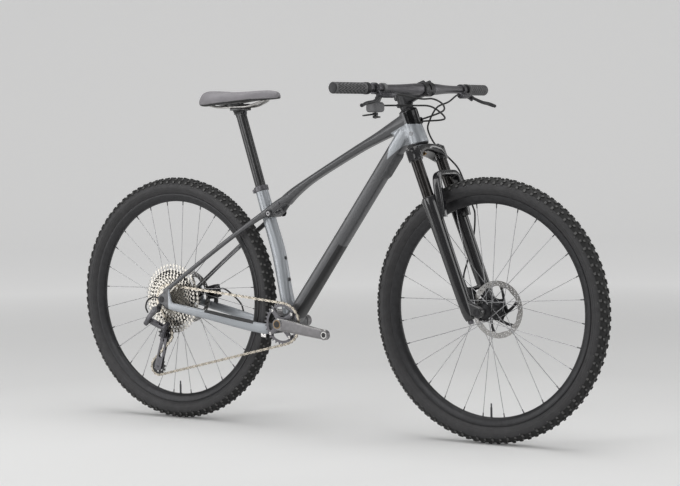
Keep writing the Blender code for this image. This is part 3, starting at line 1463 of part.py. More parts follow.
def make_stem():
    top = STEM_FOOT + STEM_HEIGHT
    column = turned(
        [
            (0, top + 0.004),
            (0.0150, top + 0.004),
            (0.0185, top + 0.001),
            (0.0205, top - 0.002),
            (0.0205, STEM_FOOT + 0.001),
            (0.0185, STEM_FOOT),
            (0.0185, SPACER_FOOT),
            (0, SPACER_FOOT),
        ],
        steer(0),
        STEER_UP,
        14,
    )
    middle = STEM_FOOT + STEM_HEIGHT / 2
    neck = tube(
        [steer(middle, 0.006), steer(middle, 0.040), steer(middle, STEM_LENGTH - 0.008)],
        [(0.0170, 0.0185), (0.0150, 0.0160), (0.0210, 0.0175)],
        10,
        3.0,
    )
    clamp = cylinder(BAR_CENTRE - 0.025 * Y, BAR_CENTRE + 0.025 * Y, 0.0210, sides=14)
    steerer_bore = cylinder(
        steer(SPACER_FOOT - 0.02), steer(top - 0.0024), hole(STEERER_RADIUS, 12), sides=12
    )
    bar_bore = cylinder(BAR_CENTRE - 0.05 * Y, BAR_CENTRE + 0.05 * Y, hole(BAR_CLAMP_RADIUS, 12), sides=12)
    front = block(steer(middle, STEM_LENGTH + 0.030), (0.059, 0.10, 0.08), STEER_AHEAD, STEER_UP)
    part("stem", "steering", SATIN_BLACK, [column, neck, clamp], [steerer_bore, bar_bore, front])
    face = cylinder(BAR_CENTRE - 0.0225 * Y, BAR_CENTRE + 0.0225 * Y, 0.0208, sides=14)
    bar_bore = cylinder(BAR_CENTRE - 0.05 * Y, BAR_CENTRE + 0.05 * Y, hole(BAR_CLAMP_RADIUS, 12), sides=12)
    rear = block(steer(middle, STEM_LENGTH - 0.0289), (0.060, 0.10, 0.08), STEER_AHEAD, STEER_UP)
    window = block(steer(middle, STEM_LENGTH + 0.02), (0.030, 0.018, 0.013), STEER_AHEAD, STEER_UP, 0.003)
    part("stem_faceplate", "steering", SATIN_BLACK, [face], [bar_bore, rear, window])


def make_handlebar():
    stations = [(-y, back, thick) for y, back, thick in BAR_LINE[:0:-1]] + list(BAR_LINE)
    halves = []
    for _, _, thick in stations:
        radius = BAR_GRIP_RADIUS + thick * (BAR_CLAMP_RADIUS - BAR_GRIP_RADIUS)
        halves.append((radius, radius))
    path = [bar_point(y) for y, _, _ in stations]
    part("handlebar", "steering", SATIN_BLACK, [tube(path, halves, 8, 2.0, Vector((1, 0, 0)))])


def make_grips():
    for name, side in (("grip_right", RIGHT), ("grip_left", LEFT)):
        end = bar_point(side * BAR_HALF_WIDTH) + 0.0018 * bar_way(side)
        inner = hole(BAR_GRIP_RADIUS, 10)
        profile = [
            (0, 0),
            (0.0140, 0),
            (GRIP_RADIUS, -0.002),
            (GRIP_RADIUS, -GRIP_LENGTH + 0.012),
            (GRIP_RADIUS + 0.0008, -GRIP_LENGTH + 0.011),
            (GRIP_RADIUS + 0.0008, -GRIP_LENGTH),
            (inner, -GRIP_LENGTH),
            (inner, -0.0014),
            (0, -0.0014),
        ]
        part(name, "steering", RUBBER, [turned(profile, end, bar_way(side), 10)])


LEVER_WAY = Vector((0.777, 0, -0.629))
LEVER_AXIS = Vector((0.629, 0, 0.777))
LEVER_TIP = Vector((0.0200, 0.345, -0.0460))
LEVER_PIVOT_Y = 0.243
LEVER_PIVOT_OUT = 0.0365


def make_brake(suffix, side):
    pivot = bar_point(side * LEVER_PIVOT_Y) + LEVER_PIVOT_OUT * LEVER_WAY

    def out(y, along, up=0.0):
        return bar_point(side * y) + along * LEVER_WAY + up * LEVER_AXIS

    band = cylinder(out(0.2190, 0), out(0.2310, 0), 0.0160, sides=10)
    neck = cylinder(out(0.2250, 0.010), out(0.2190, 0.028), 0.0060, sides=8)
    barrel = cylinder(out(0.1640, 0.0275), out(0.2360, 0.0275), 0.0090, sides=10)
    lug = tube(
        [out(0.2260, 0.0280, -0.004), pivot - 0.0068 * LEVER_AXIS],
        [(0.0055, 0.0045), (0.0055, 0.0018)],
        8,
        3.0,
        LEVER_WAY,
    )
    knuckle = cylinder(pivot - 0.0088 * LEVER_AXIS, pivot - 0.0047 * LEVER_AXIS, 0.0065, sides=10)
    pin = cylinder(pivot - 0.0070 * LEVER_AXIS, pivot + 0.0050 * LEVER_AXIS, 0.0025, sides=8)
    bar_bore = cylinder(out(0.19, 0), out(0.26, 0), hole(BAR_GRIP_RADIUS, 10), sides=10)
    relief = cylinder(pivot - 0.0044 * LEVER_AXIS, pivot + 0.02 * LEVER_AXIS, 0.0088, sides=10)
    housing = combined([band, neck, barrel, lug], [bar_bore, relief])
    part("brake_body_" + suffix, "steering", SATIN_BLACK, [housing, knuckle, pin])
    body("brake_lever_" + suffix, pivot)
    hub = cylinder(pivot - 0.0041 * LEVER_AXIS, pivot + 0.0041 * LEVER_AXIS, 0.0062, sides=10)
    tip = BAR_CENTRE + Vector((LEVER_TIP.x, side * LEVER_TIP.y, LEVER_TIP.z))
    bow = pivot.lerp(tip, 0.35) + 0.007 * LEVER_WAY
    path = [pivot, bow, pivot.lerp(tip, 0.72) + 0.001 * LEVER_WAY, tip]
    blade = tube(
        path, [(0.0036, 0.0050), (0.0045, 0.0042), (0.0055, 0.0038), (0.0050, 0.0036)], 8, 2.6, LEVER_AXIS
    )
    pin_hole = cylinder(pivot - 0.02 * LEVER_AXIS, pivot + 0.02 * LEVER_AXIS, hole(0.0025, 8), sides=8)
    part("brake_lever_" + suffix, "brake_lever_" + suffix, SATIN_BLACK, [hub, blade], [pin_hole])


SHIFTER = BAR_CENTRE + Vector((-0.0345, -0.200, -0.0500))
SHIFTER_PIN = 0.003


def make_shifter():
    clamp_y = -0.1900
    band = cylinder(bar_point(clamp_y + 0.006), bar_point(clamp_y - 0.006), 0.0155, sides=12)
    neck = cylinder(bar_point(clamp_y) - Vector((0.006, 0, 0.012)), SHIFTER, 0.0075, sides=8)
    housing = block(SHIFTER, (0.0360, 0.0500, 0.0280), bevel=0.007)
    pin = cylinder(SHIFTER, SHIFTER - Vector((0, 0, 0.0310)), SHIFTER_PIN, sides=8)
    bore = cylinder(
        bar_point(clamp_y + 0.03), bar_point(clamp_y - 0.03), hole(BAR_GRIP_RADIUS + 0.0004, 12), sides=12
    )
    part("shifter_body", "steering", SATIN_BLACK, [band, neck, housing, pin], [bore])
    levers = (
        ("shift_paddle", -0.0144, -0.0216, Vector((-0.024, -0.026, -0.004)), 0.0085),
        ("shift_trigger", -0.0222, -0.0294, Vector((0.026, -0.022, -0.001)), 0.0060),
    )
    for name, top, foot, reach, half in levers:
        middle = SHIFTER + Vector((0, 0, (top + foot) / 2))
        body(name, middle)
        hub = cylinder(SHIFTER + Vector((0, 0, foot)), SHIFTER + Vector((0, 0, top)), 0.0075, sides=10)
        path = [middle, middle + 0.55 * reach, middle + reach]
        blade = tube(
            path,
            [(0.0055, 0.0026), (half * 0.8, 0.0024), (half, 0.0024)],
            8,
            3.0,
            Vector((-reach.y, reach.x, 0)),
        )
        pin_hole = cylinder(SHIFTER, SHIFTER - Vector((0, 0, 0.05)), hole(SHIFTER_PIN, 8), sides=8)
        part(name, name, SATIN_BLACK, [hub, blade], [pin_hole])


# Hoses and housings
HOSE_RADIUS = 0.0025


def make_hoses():
    port_out = Vector((STEER_AHEAD.x * 0.41, 0.912, STEER_AHEAD.z * 0.41))
    into = steer(PORT_UP, *PORT_FACE)
    start = SHIFTER + Vector((0.004, 0.0257, 0.004))
    route = [
        start,
        start + Vector((0.002, 0.016, 0.001)),
        steer(0.587, 0.093, -0.110),
        steer(0.579, 0.1075, -0.060),
        steer(0.560, 0.110, -0.022),
        steer(0.549, 0.095, 0.018),
        steer(0.556, 0.062, 0.046),
        into - 0.0042 * STEER_UP + 0.012 * port_out,
        into - 0.0042 * STEER_UP + 0.0009 * port_out,
    ]
    part("shift_housing", "frame", RUBBER, [hose(route, HOSE_RADIUS, 17)])
    start = bar_point(-0.1634) + 0.0275 * LEVER_WAY
    route = [
        start,
        bar_point(-0.148) + 0.0275 * LEVER_WAY,
        steer(0.5992, 0.1116, -0.100),
        steer(0.5949, 0.1227, -0.060),
        steer(0.583, 0.122, -0.020),
        steer(0.574, 0.102, 0.020),
        steer(0.577, 0.066, 0.052),
        into + 0.0042 * STEER_UP + 0.014 * port_out,
        into + 0.0042 * STEER_UP + 0.0009 * port_out,
    ]
    part("rear_brake_hose", "frame", RUBBER, [hose(route, HOSE_RADIUS, 17)])
    start = bar_point(0.1634) + 0.0275 * LEVER_WAY
    route = [
        start,
        bar_point(0.148) + 0.0275 * LEVER_WAY,
        steer(0.608, 0.070, 0.110),
        steer(0.600, 0.046, 0.078),
        steer(0.566, 0.0200, 0.055),
        steer(0.543, 0.0100, 0.053),
        steer(0.507, -0.0030, 0.088),
        steer(0.463, 0.0180, 0.0950),
        steer(0.423, 0.0370, 0.0955),
        steer(0.385, 0.0430, 0.0940),
        steer(0.306, 0.0445, 0.0940),
        steer(0.277, 0.0410, 0.0950),
        steer(0.218, 0.0140, 0.0920),
        steer(0.160, -0.0180, 0.0720),
        steer(0.121, -0.0320, 0.0500),
        steer(CALIPER_UP + 0.0294, CALIPER_AHEAD - 0.002, CALIPER_Y + 0.002),
    ]
    part("front_brake_hose", "steering", RUBBER, [hose(route, HOSE_RADIUS, 22)])
    route = [
        REAR_CALIPER + Vector((0.0189, 0.004, 0.009)),
        REAR_CALIPER + Vector((0.040, 0.003, 0.009)),
        REAR_CALIPER + Vector((0.075, 0.001, -0.010)),
        REAR_CALIPER + Vector((0.103, 0.001, -0.034)),
        REAR_CALIPER + Vector((0.112, 0.001, -0.0545)),
    ]
    part("rear_hose_tail", "frame", RUBBER, [hose(route, HOSE_RADIUS, 7)])
    route = [
        REAR_AXLE + Vector((-0.0164, -0.0785, 0.004)),
        REAR_AXLE + Vector((-0.034, -0.0800, 0.006)),
        REAR_AXLE + Vector((-0.052, -0.0850, -0.004)),
        REAR_AXLE + Vector((-0.056, -0.0900, -0.024)),
        REAR_AXLE + Vector((-0.0475, -0.0915, -0.0400)),
    ]
    part("derailleur_housing", "frame", RUBBER, [hose(route, HOSE_RADIUS, 7)])


# Seat
RAIL_Z = 0.9435
SADDLE_STATIONS = (
    (-0.1560, 0.0090, 0.9750, 0.9700, 0.9640),
    (-0.1640, 0.0180, 0.9800, 0.9700, 0.9620),
    (-0.1950, 0.0215, 0.9835, 0.9690, 0.9600),
    (-0.2450, 0.0275, 0.9855, 0.9680, 0.9590),
    (-0.3000, 0.0430, 0.9865, 0.9640, 0.9540),
    (-0.3450, 0.0620, 0.9880, 0.9610, 0.9510),
    (-0.3850, 0.0735, 0.9900, 0.9580, 0.9480),
    (-0.4120, 0.0660, 0.9890, 0.9600, 0.9520),
    (-0.4200, 0.0420, 0.9850, 0.9680, 0.9620),
)


def make_saddle():
    """A padded seat: a crowned top, a rolled edge and sides drawn in underneath."""
    rings = []
    for x, half, top, edge, foot in SADDLE_STATIONS:
        points = [
            (0.0, top),
            (0.62 * half, top - 0.0015),
            (half, edge),
            (0.84 * half, foot),
            (0.40 * half, foot + 0.0060),
        ]
        points += [(0.0, foot + 0.0080)] + [(-y, z) for y, z in points[:0:-1]]
        rings.append([SADDLE_AT + Vector((x, y, z)) for y, z in points])
    cushion = loft(rings)
    smooth = cushion.modifiers.new("smooth", "SUBSURF")
    smooth.levels = smooth.render_levels = 1
    part("saddle", "seat", SADDLE_COVER, [cushion])


POST_TOP = seat(SADDLE_CLAMP_HEIGHT)
SADDLE_AT = POST_TOP - Vector((-0.2985, 0, 0.9238))


def at_saddle(x, y, z):
    return SADDLE_AT + Vector((x, y, z))


def make_seatpost():
    post = cylinder(seat(SEAT_TUBE_LENGTH - POST_INSERT), POST_TOP, POST_RADIUS, sides=14)
    cradle_top = RAIL_Z - RAIL_RADIUS - CLEARANCE
    cradle = block(at_saddle(-0.300, 0, cradle_top - 0.0045), (0.040, 0.054, 0.009), bevel=0.002)
    neck = cylinder(
        seat(SADDLE_CLAMP_HEIGHT - 0.02), at_saddle(-0.300, 0, cradle_top - 0.004), 0.0155, 0.0150, sides=12
    )
    part("seatpost", "seat", GLOSS_BLACK, [post, neck, cradle])
    clamp_foot = RAIL_Z + RAIL_RADIUS + CLEARANCE
    yoke = block(at_saddle(-0.300, 0, clamp_foot + 0.0028), (0.030, 0.056, 0.0056), bevel=0.0015)
    stem = block(at_saddle(-0.300, 0, (cradle_top + clamp_foot) / 2 + 0.0008), (0.024, 0.030, 0.0085))
    part("seatpost_clamp", "seat", SATIN_BLACK, [yoke, stem])


def make_rails():
    half = RAIL_SPACING / 2
    one_side = [
        (-0.392, 0.0330, 0.9505),
        (-0.372, 0.0270, 0.9450),
        (-0.345, half, RAIL_Z),
        (-0.320, half, RAIL_Z),
        (-0.275, half, RAIL_Z),
        (-0.250, 0.0210, 0.9460),
        (-0.222, 0.0150, 0.9540),
        (-0.203, 0.0085, 0.9605),
    ]
    route = [at_saddle(x, -y, z) for x, y, z in one_side]
    route.append(at_saddle(-0.198, 0, 0.9625))
    route += [at_saddle(x, y, z) for x, y, z in one_side[::-1]]
    part("saddle_rails", "seat", STEEL, [hose(route, RAIL_RADIUS, 22)])


make_frame()
make_bearings()
make_seat_collar()
make_pivot_axle()
make_hanger()
make_rear_axle()
make_rear_caliper()
make_guards()
make_crown()
make_stanchions()
make_fork_knobs()
make_lowers()
make_front_axle()
make_front_caliper()
for wheel, centre in (("front", FRONT_AXLE), ("rear", REAR_AXLE)):
    make_tyre(wheel + "_tyre", wheel + "_wheel", centre)
    make_rim(wheel + "_rim", wheel + "_wheel", centre)
make_hubs()
make_rotor("front_rotor", "front_wheel", FRONT_AXLE, FRONT_ROTOR_Y)
make_rotor("rear_rotor", "rear_wheel", REAR_AXLE, REAR_ROTOR_Y)
make_cassette()
make_chain()
make_cranks()
make_derailleur()
make_stem()
make_handlebar()
make_grips()
make_brake("right", RIGHT)
make_brake("left", LEFT)
make_shifter()
make_hoses()
make_seatpost()
make_rails()
make_saddle()
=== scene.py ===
"""The looks of the hardtail mountain bike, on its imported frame.

Metres, +X forward, +Y to the rider's left, +Z up. The origin is on the floor, midway between the axles.
"""

import math

import bmesh
import bpy
from mathutils import Matrix, Vector


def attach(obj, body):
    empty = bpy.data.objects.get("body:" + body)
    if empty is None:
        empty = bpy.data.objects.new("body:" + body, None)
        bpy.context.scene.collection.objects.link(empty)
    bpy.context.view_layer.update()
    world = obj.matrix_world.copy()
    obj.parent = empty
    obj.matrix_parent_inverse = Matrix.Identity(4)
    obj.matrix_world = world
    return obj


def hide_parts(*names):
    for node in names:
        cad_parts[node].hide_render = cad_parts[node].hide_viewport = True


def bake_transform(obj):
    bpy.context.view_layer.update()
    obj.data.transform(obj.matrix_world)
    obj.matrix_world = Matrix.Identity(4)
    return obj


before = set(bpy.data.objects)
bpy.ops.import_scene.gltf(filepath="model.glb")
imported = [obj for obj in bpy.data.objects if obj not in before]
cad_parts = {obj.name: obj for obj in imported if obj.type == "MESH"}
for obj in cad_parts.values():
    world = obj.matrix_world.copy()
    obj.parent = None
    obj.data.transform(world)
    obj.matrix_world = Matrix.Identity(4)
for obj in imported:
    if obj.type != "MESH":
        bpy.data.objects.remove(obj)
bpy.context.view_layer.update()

# Overall geometry, as in the CAD source
WHEELBASE = 1.104
CHAINSTAY = 0.433
BB_DROP = 0.059
HEAD_ANGLE = 69.0
HEAD_TUBE_LENGTH = 0.100
FORK_OFFSET = 0.044
LEG_AHEAD = 0.013
AXLE_TO_CROWN = 0.504
SEAT_ANGLE = 72.3
SEAT_TUBE_LENGTH = 0.4116
SEAT_TUBE_AHEAD = 0.0197
SADDLE_CLAMP_HEIGHT = 0.640
TYRE_RADIUS = 0.368

# Camera, fitted to both wheels and the handlebar in the photograph
IMAGE_WIDTH = 680
FOCAL_PIXELS = 2010.918
SENSOR_WIDTH = 36.0
CAMERA_AT = (3.3672, -4.7486, 0.8565)
CAMERA_AZIMUTH = 34.9142
CAMERA_ELEVATION = 3.0746
CAMERA_ROLL = -0.9288

Y = Vector((0, 1, 0))
Z = Vector((0, 0, 1))
RIGHT, LEFT = -1, 1

REAR_AXLE = Vector((-WHEELBASE / 2, 0, TYRE_RADIUS))
FRONT_AXLE = Vector((WHEELBASE / 2, 0, TYRE_RADIUS))
BB = REAR_AXLE + Vector((math.sqrt(CHAINSTAY**2 - BB_DROP**2), 0, -BB_DROP))

HEAD = math.radians(HEAD_ANGLE)
STEER_UP = Vector((-math.cos(HEAD), 0, math.sin(HEAD)))
STEER_AHEAD = Vector((math.sin(HEAD), 0, math.cos(HEAD)))
STEER_FOOT = FRONT_AXLE - FORK_OFFSET * STEER_AHEAD
HEAD_BOTTOM = AXLE_TO_CROWN + 0.0035
HEAD_TOP = HEAD_BOTTOM + HEAD_TUBE_LENGTH
SPACER_FOOT = HEAD_TOP + 0.0058
STEM_FOOT = SPACER_FOOT + 0.010
STEM_HEIGHT = 0.040
STEM_MID = STEM_FOOT + STEM_HEIGHT / 2
STEM_LENGTH = 0.0755

SEAT = math.radians(SEAT_ANGLE)
SEAT_UP = Vector((-math.cos(SEAT), 0, math.sin(SEAT)))
SEAT_AHEAD = Vector((math.sin(SEAT), 0, math.cos(SEAT)))


def steer(up, ahead=0.0, side=0.0):
    """A point measured along the steering axis from beside the front axle, then forward and to the left."""
    return STEER_FOOT + up * STEER_UP + ahead * STEER_AHEAD + side * Y


def seat(up, ahead=0.0, side=0.0):
    """A point measured along the seatpost's axis from beside the bottom bracket."""
    return BB + up * SEAT_UP + (SEAT_TUBE_AHEAD + ahead) * SEAT_AHEAD + side * Y


DOWN_WAY = Vector((0.597, 0, 0.802)).normalized()
DOWN_UP = Vector((-DOWN_WAY.z, 0, DOWN_WAY.x))
DOWN_TUBE_HALF = 0.0215
DOWN_TUBE_REACH = (steer(HEAD_BOTTOM + 0.045, -0.018) - BB).dot(DOWN_WAY)


def down(along, up=0.0, side=0.0):
    """A point measured from the bottom bracket along the down tube's axis."""
    return BB + along * DOWN_WAY + up * DOWN_UP + side * Y


def on_side(x, y, z, side):
    return Vector((x, y * side, z))


PIVOT = BB + Vector((-0.053, 0, 0.321))
SEAT_TUBE_BEND = seat(0.205)
SEAT_TUBE_KNEE = BB + Vector((-0.021, 0, 0.091))
LOW_SEAT_WAY = (SEAT_TUBE_BEND - SEAT_TUBE_KNEE).normalized()
LOW_SEAT_FRONT = Vector((LOW_SEAT_WAY.z, 0, -LOW_SEAT_WAY.x))
BAR_CENTRE = steer(STEM_MID, STEM_LENGTH)


# Materials
class Shader:
    """A material's node tree with its Principled shader, and short ways to add what drives it."""

    def __init__(self, name, colour, roughness, metallic=0.0, **constants):
        self.material = bpy.data.materials.new(name)
        self.material.use_nodes = True
        self.tree = self.material.node_tree
        self.shader = self.tree.nodes["Principled BSDF"]
        self.shader.inputs["Base Color"].default_value = (*colour, 1.0)
        self.shader.inputs["Roughness"].default_value = roughness
        self.shader.inputs["Metallic"].default_value = metallic
        for socket, value in constants.items():
            self.shader.inputs[socket.replace("_", " ")].default_value = value
        self.place = self.node("ShaderNodeTexCoord").outputs["Object"]

    def node(self, kind, **settings):
        made = self.tree.nodes.new(kind)
        for key, value in settings.items():
            setattr(made, key, value)
        return made

    def link(self, source, target):
        self.tree.links.new(source, target)

    def noise(self, scale, detail=3.0, roughness=0.55):
        made = self.node("ShaderNodeTexNoise")
        made.inputs["Scale"].default_value = scale
        made.inputs["Detail"].default_value = detail
        made.inputs["Roughness"].default_value = roughness
        self.link(self.place, made.inputs["Vector"])
        return made.outputs["Fac"]

    def cells(self, scale):
        made = self.node("ShaderNodeTexVoronoi")
        made.inputs["Scale"].default_value = scale
        self.link(self.place, made.inputs["Vector"])
        return made.outputs["Distance"]

    def between(self, value, low, high):
        """A value from 0 to 1 spread over a range of numbers."""
        made = self.node("ShaderNodeMapRange")
        made.inputs["To Min"].default_value = low
        made.inputs["To Max"].default_value = high
        self.link(value, made.inputs["Value"])
        return made.outputs["Result"]

    def colours(self, value, *stops):
        ramp = self.node("ShaderNodeValToRGB")
        elements = ramp.color_ramp.elements
        while len(elements) < len(stops):
            elements.new(0.5)
        for element, (at, colour) in zip(elements, stops):
            element.position = at
            element.color = (*colour, 1.0)
        self.link(value, ramp.inputs["Fac"])
        return ramp.outputs["Color"]

    def mixed(self, share, first, second):
        """Two colours mixed by a share. Each is a socket or a colour."""
        made = self.node("ShaderNodeMix", data_type="RGBA")
        self.link(share, made.inputs["Factor"])
        for socket, colour in ((made.inputs["A"], first), (made.inputs["B"], second)):
            self.feed(socket, colour)
        return made.outputs["Result"]

    def feed(self, socket, value):
        """Links a socket, or sets it to a plain colour or number."""
        if isinstance(value, bpy.types.NodeSocket):
            self.link(value, socket)
        elif isinstance(value, tuple):
            socket.default_value = (*value, 1.0)
        else:
            socket.default_value = value

    def colour(self, value):
        self.link(value, self.shader.inputs["Base Color"])
        return self

    def rough(self, value):
        self.link(value, self.shader.inputs["Roughness"])
        return self

    def bump(self, height, strength, distance):
        made = self.node("ShaderNodeBump")
        made.inputs["Strength"].default_value = strength
        made.inputs["Distance"].default_value = distance
        self.link(height, made.inputs["Height"])
        self.link(made.outputs["Normal"], self.shader.inputs["Normal"])
        return self


def plain_variation(shader, colour, spread, scale, low_rough, high_rough, bump_scale, bump_height):
    """Slight patches of colour and sheen, and a fine grain, at the material's own scale."""
    darker = tuple(c * (1 - spread) for c in colour)
    lighter = tuple(min(1.0, c * (1 + spread)) for c in colour)
    patches = shader.noise(scale)
    shader.colour(shader.colours(patches, (0.3, darker), (0.7, lighter)))
    shader.rough(shader.between(shader.noise(scale * 3.1), low_rough, high_rough))
    shader.bump(shader.noise(bump_scale, 2.0), 0.35, bump_height)
    return shader.material


def frame_paint():
    """Satin charcoal with paler metallic panels, dark guard film and a gloss black front, by the painted attribute."""
    shader = Shader("frame_paint", (0.05, 0.052, 0.055), 0.4, 0.55, Coat_Weight=0.35, Coat_Roughness=0.22)
    panels = shader.node("ShaderNodeVertexColor", layer_name="paint")
    split = shader.node("ShaderNodeSeparateColor")
    shader.link(panels.outputs["Color"], split.inputs["Color"])
    light, guard, gloss = (split.outputs[name] for name in ("Red", "Green", "Blue"))
    flakes = shader.cells(1900)
    dark = shader.colours(flakes, (0.0, (0.114, 0.115, 0.120)), (0.8, (0.083, 0.084, 0.088)))
    pale = shader.colours(flakes, (0.0, (0.430, 0.452, 0.480)), (0.8, (0.325, 0.344, 0.366)))
    painted = shader.mixed(light, dark, pale)
    painted = shader.mixed(guard, painted, (0.022, 0.022, 0.023))
    painted = shader.mixed(gloss, painted, (0.006, 0.006, 0.007))
    shader.colour(painted)
    sheen = shader.between(shader.noise(60), 0.33, 0.41)
    rougher = shader.node("ShaderNodeMix", data_type="FLOAT")
    shader.link(guard, rougher.inputs["Factor"])
    shader.link(sheen, rougher.inputs["A"])
    rougher.inputs["B"].default_value = 0.55
    glossier = shader.node("ShaderNodeMix", data_type="FLOAT")
    shader.link(gloss, glossier.inputs["Factor"])
    shader.link(rougher.outputs["Result"], glossier.inputs["A"])
    glossier.inputs["B"].default_value = 0.08
    shader.rough(glossier.outputs["Result"])
    shader.bump(shader.noise(900, 1.0), 0.12, 0.0002)
    return shader.material


def gloss_black():
    shader = Shader("gloss_black", (0.012, 0.012, 0.013), 0.16, 0.0, Coat_Weight=0.6, Coat_Roughness=0.06)
    return plain_variation(shader, (0.012, 0.012, 0.0135), 0.25, 40, 0.14, 0.2, 220, 0.00012)


def satin_black():
    shader = Shader("satin_black", (0.03, 0.03, 0.032), 0.4, 0.5)
    return plain_variation(shader, (0.030, 0.030, 0.032), 0.2, 70, 0.34, 0.44, 1500, 0.00008)


def black_plastic():
    shader = Shader("black_plastic", (0.022, 0.022, 0.023), 0.5)
    return plain_variation(shader, (0.022, 0.022, 0.023), 0.2, 90, 0.42, 0.55, 1100, 0.00015)


def tread_rubber(name, colour):
    shader = Shader(name, colour, 0.75)
    return plain_variation(shader, colour, 0.3, 120, 0.62, 0.8, 900, 0.0002)


def sidewall_rubber(centre):
    """Tyre casing: fine threads round the wheel, a paler sheen and a faint mottle."""
    shader = Shader("sidewall_" + ("front" if centre.x > 0 else "rear"), (0.04, 0.039, 0.038), 0.6)
    offset = shader.node("ShaderNodeVectorMath", operation="SUBTRACT")
    offset.inputs[1].default_value = (centre.x, 0, centre.z)
    shader.link(shader.place, offset.inputs[0])
    threads = shader.node("ShaderNodeTexWave", wave_type="RINGS", rings_direction="Y")
    threads.inputs["Scale"].default_value = 190
    threads.inputs["Distortion"].default_value = 0.6
    threads.inputs["Detail"].default_value = 2.0
    shader.link(offset.outputs["Vector"], threads.inputs["Vector"])
    shader.colour(shader.colours(shader.noise(55), (0.3, (0.026, 0.0255, 0.027)), (0.75, (0.040, 0.039, 0.041))))
    shader.rough(shader.between(shader.noise(80), 0.5, 0.66))
    shader.bump(threads.outputs["Fac"], 0.25, 0.00025)
    return shader.material


def soft_rubber(name, colour):
    shader = Shader(name, colour, 0.65)
    return plain_variation(shader, colour, 0.2, 100, 0.55, 0.72, 1300, 0.00018)


def saddle_cover():
    """A smooth synthetic cover with a fine pebbled grain."""
    shader = Shader("saddle_cover", (0.05, 0.046, 0.05), 0.5, 0.0, Sheen_Weight=0.15)
    patches = shader.noise(30)
    shader.colour(shader.colours(patches, (0.3, (0.178, 0.170, 0.182)), (0.7, (0.220, 0.210, 0.224))))
    shader.rough(shader.between(shader.noise(140), 0.42, 0.56))
    shader.bump(shader.cells(1100), 0.3, 0.00025)
    return shader.material


def bare_metal(name, colour, low_rough, high_rough):
    """Machined metal with fine tool marks."""
    shader = Shader(name, colour, low_rough, 1.0)
    return plain_variation(shader, colour, 0.12, 180, low_rough, high_rough, 2600, 0.00005)


def anodised(name, colour, low_rough=0.3, high_rough=0.42):
    shader = Shader(name, colour, low_rough, 0.75)
    return plain_variation(shader, colour, 0.12, 90, low_rough, high_rough, 1800, 0.00006)


FRAME_PAINT = frame_paint()
GLOSS_BLACK = gloss_black()
SATIN_BLACK = satin_black()
BLACK_PLASTIC = black_plastic()
TREAD = tread_rubber("tread_rubber", (0.019, 0.0185, 0.018))
# Painted highlight: each knob's top face takes this much paler rubber, standing in for light caught on the tops.
TREAD_TOP_HIGHLIGHT = tread_rubber("tread_top_highlight", (0.085, 0.084, 0.083))
# Painted shade: the casing between the knobs takes this darker rubber, standing in for the shade there.
TREAD_GAP_SHADE = tread_rubber("tread_gap_shade", (0.010, 0.010, 0.010))
HOSE_RUBBER = soft_rubber("hose_rubber", (0.016, 0.016, 0.017))
GRIP_RUBBER = soft_rubber("grip_rubber", (0.105, 0.105, 0.108))
# Painted shade: the grip's grooves take this rubber, darker than its ridges, standing in for the shade in them.
GRIP_GROOVE_SHADE = soft_rubber("grip_groove_shade", (0.030, 0.030, 0.031))
SHIFTER_SHELL = soft_rubber("shifter_shell", (0.150, 0.150, 0.155))
GUARD_RUBBER = soft_rubber("guard_rubber", (0.030, 0.030, 0.031))
BUMPER_RUBBER = soft_rubber("bumper_rubber", (0.085, 0.086, 0.090))
SADDLE_COVER = saddle_cover()
SPOKE_STEEL = bare_metal("spoke_steel", (0.42, 0.42, 0.43), 0.25, 0.35)
ROTOR_STEEL = bare_metal("rotor_steel", (0.40, 0.39, 0.38), 0.28, 0.40)
BOLT_STEEL = bare_metal("bolt_steel", (0.10, 0.10, 0.105), 0.3, 0.4)
BRIGHT_BOLT = bare_metal("bright_bolt", (0.60, 0.59, 0.58), 0.2, 0.3)
COG_STEEL = bare_metal("cog_steel", (0.55, 0.525, 0.48), 0.26, 0.38)
CHAIN_STEEL = bare_metal("chain_steel", (0.50, 0.455, 0.385), 0.24, 0.34)
CHAIN_INNER = bare_metal("chain_inner", (0.29, 0.265, 0.225), 0.28, 0.38)
CRANK_ALLOY = anodised("crank_alloy", (0.200, 0.195, 0.200), 0.38, 0.48)
POLISHED = bare_metal("polished_edge", (0.42, 0.41, 0.40), 0.14, 0.24)
BRONZE = bare_metal("bronze", (0.32, 0.21, 0.10), 0.3, 0.42)
MECH_GREY = anodised("mech_grey", (0.135, 0.132, 0.142))
MECH_DARK = anodised("mech_dark", (0.062, 0.061, 0.067), 0.22, 0.32)
MECH_SILVER = anodised("mech_silver", (0.290, 0.286, 0.294), 0.26, 0.36)
BAR_GREY = anodised("bar_grey", (0.125, 0.122, 0.130), 0.34, 0.44)
POST_COAT = anodised("post_coat", (0.062, 0.062, 0.063), 0.2, 0.28)


# Mesh tools
def facing(origin, axis, first=None):
    """A placement whose local Z runs along axis, and local X along first where that is given."""
    z = axis.normalized()
    x = first if first is not None else (Z if abs(z.z) < 0.9 else Vector((1, 0, 0)))
    x = (x - x.dot(z) * z).normalized()
    return Matrix.Translation(origin) @ Matrix((x, z.cross(x), z)).transposed().to_4x4()


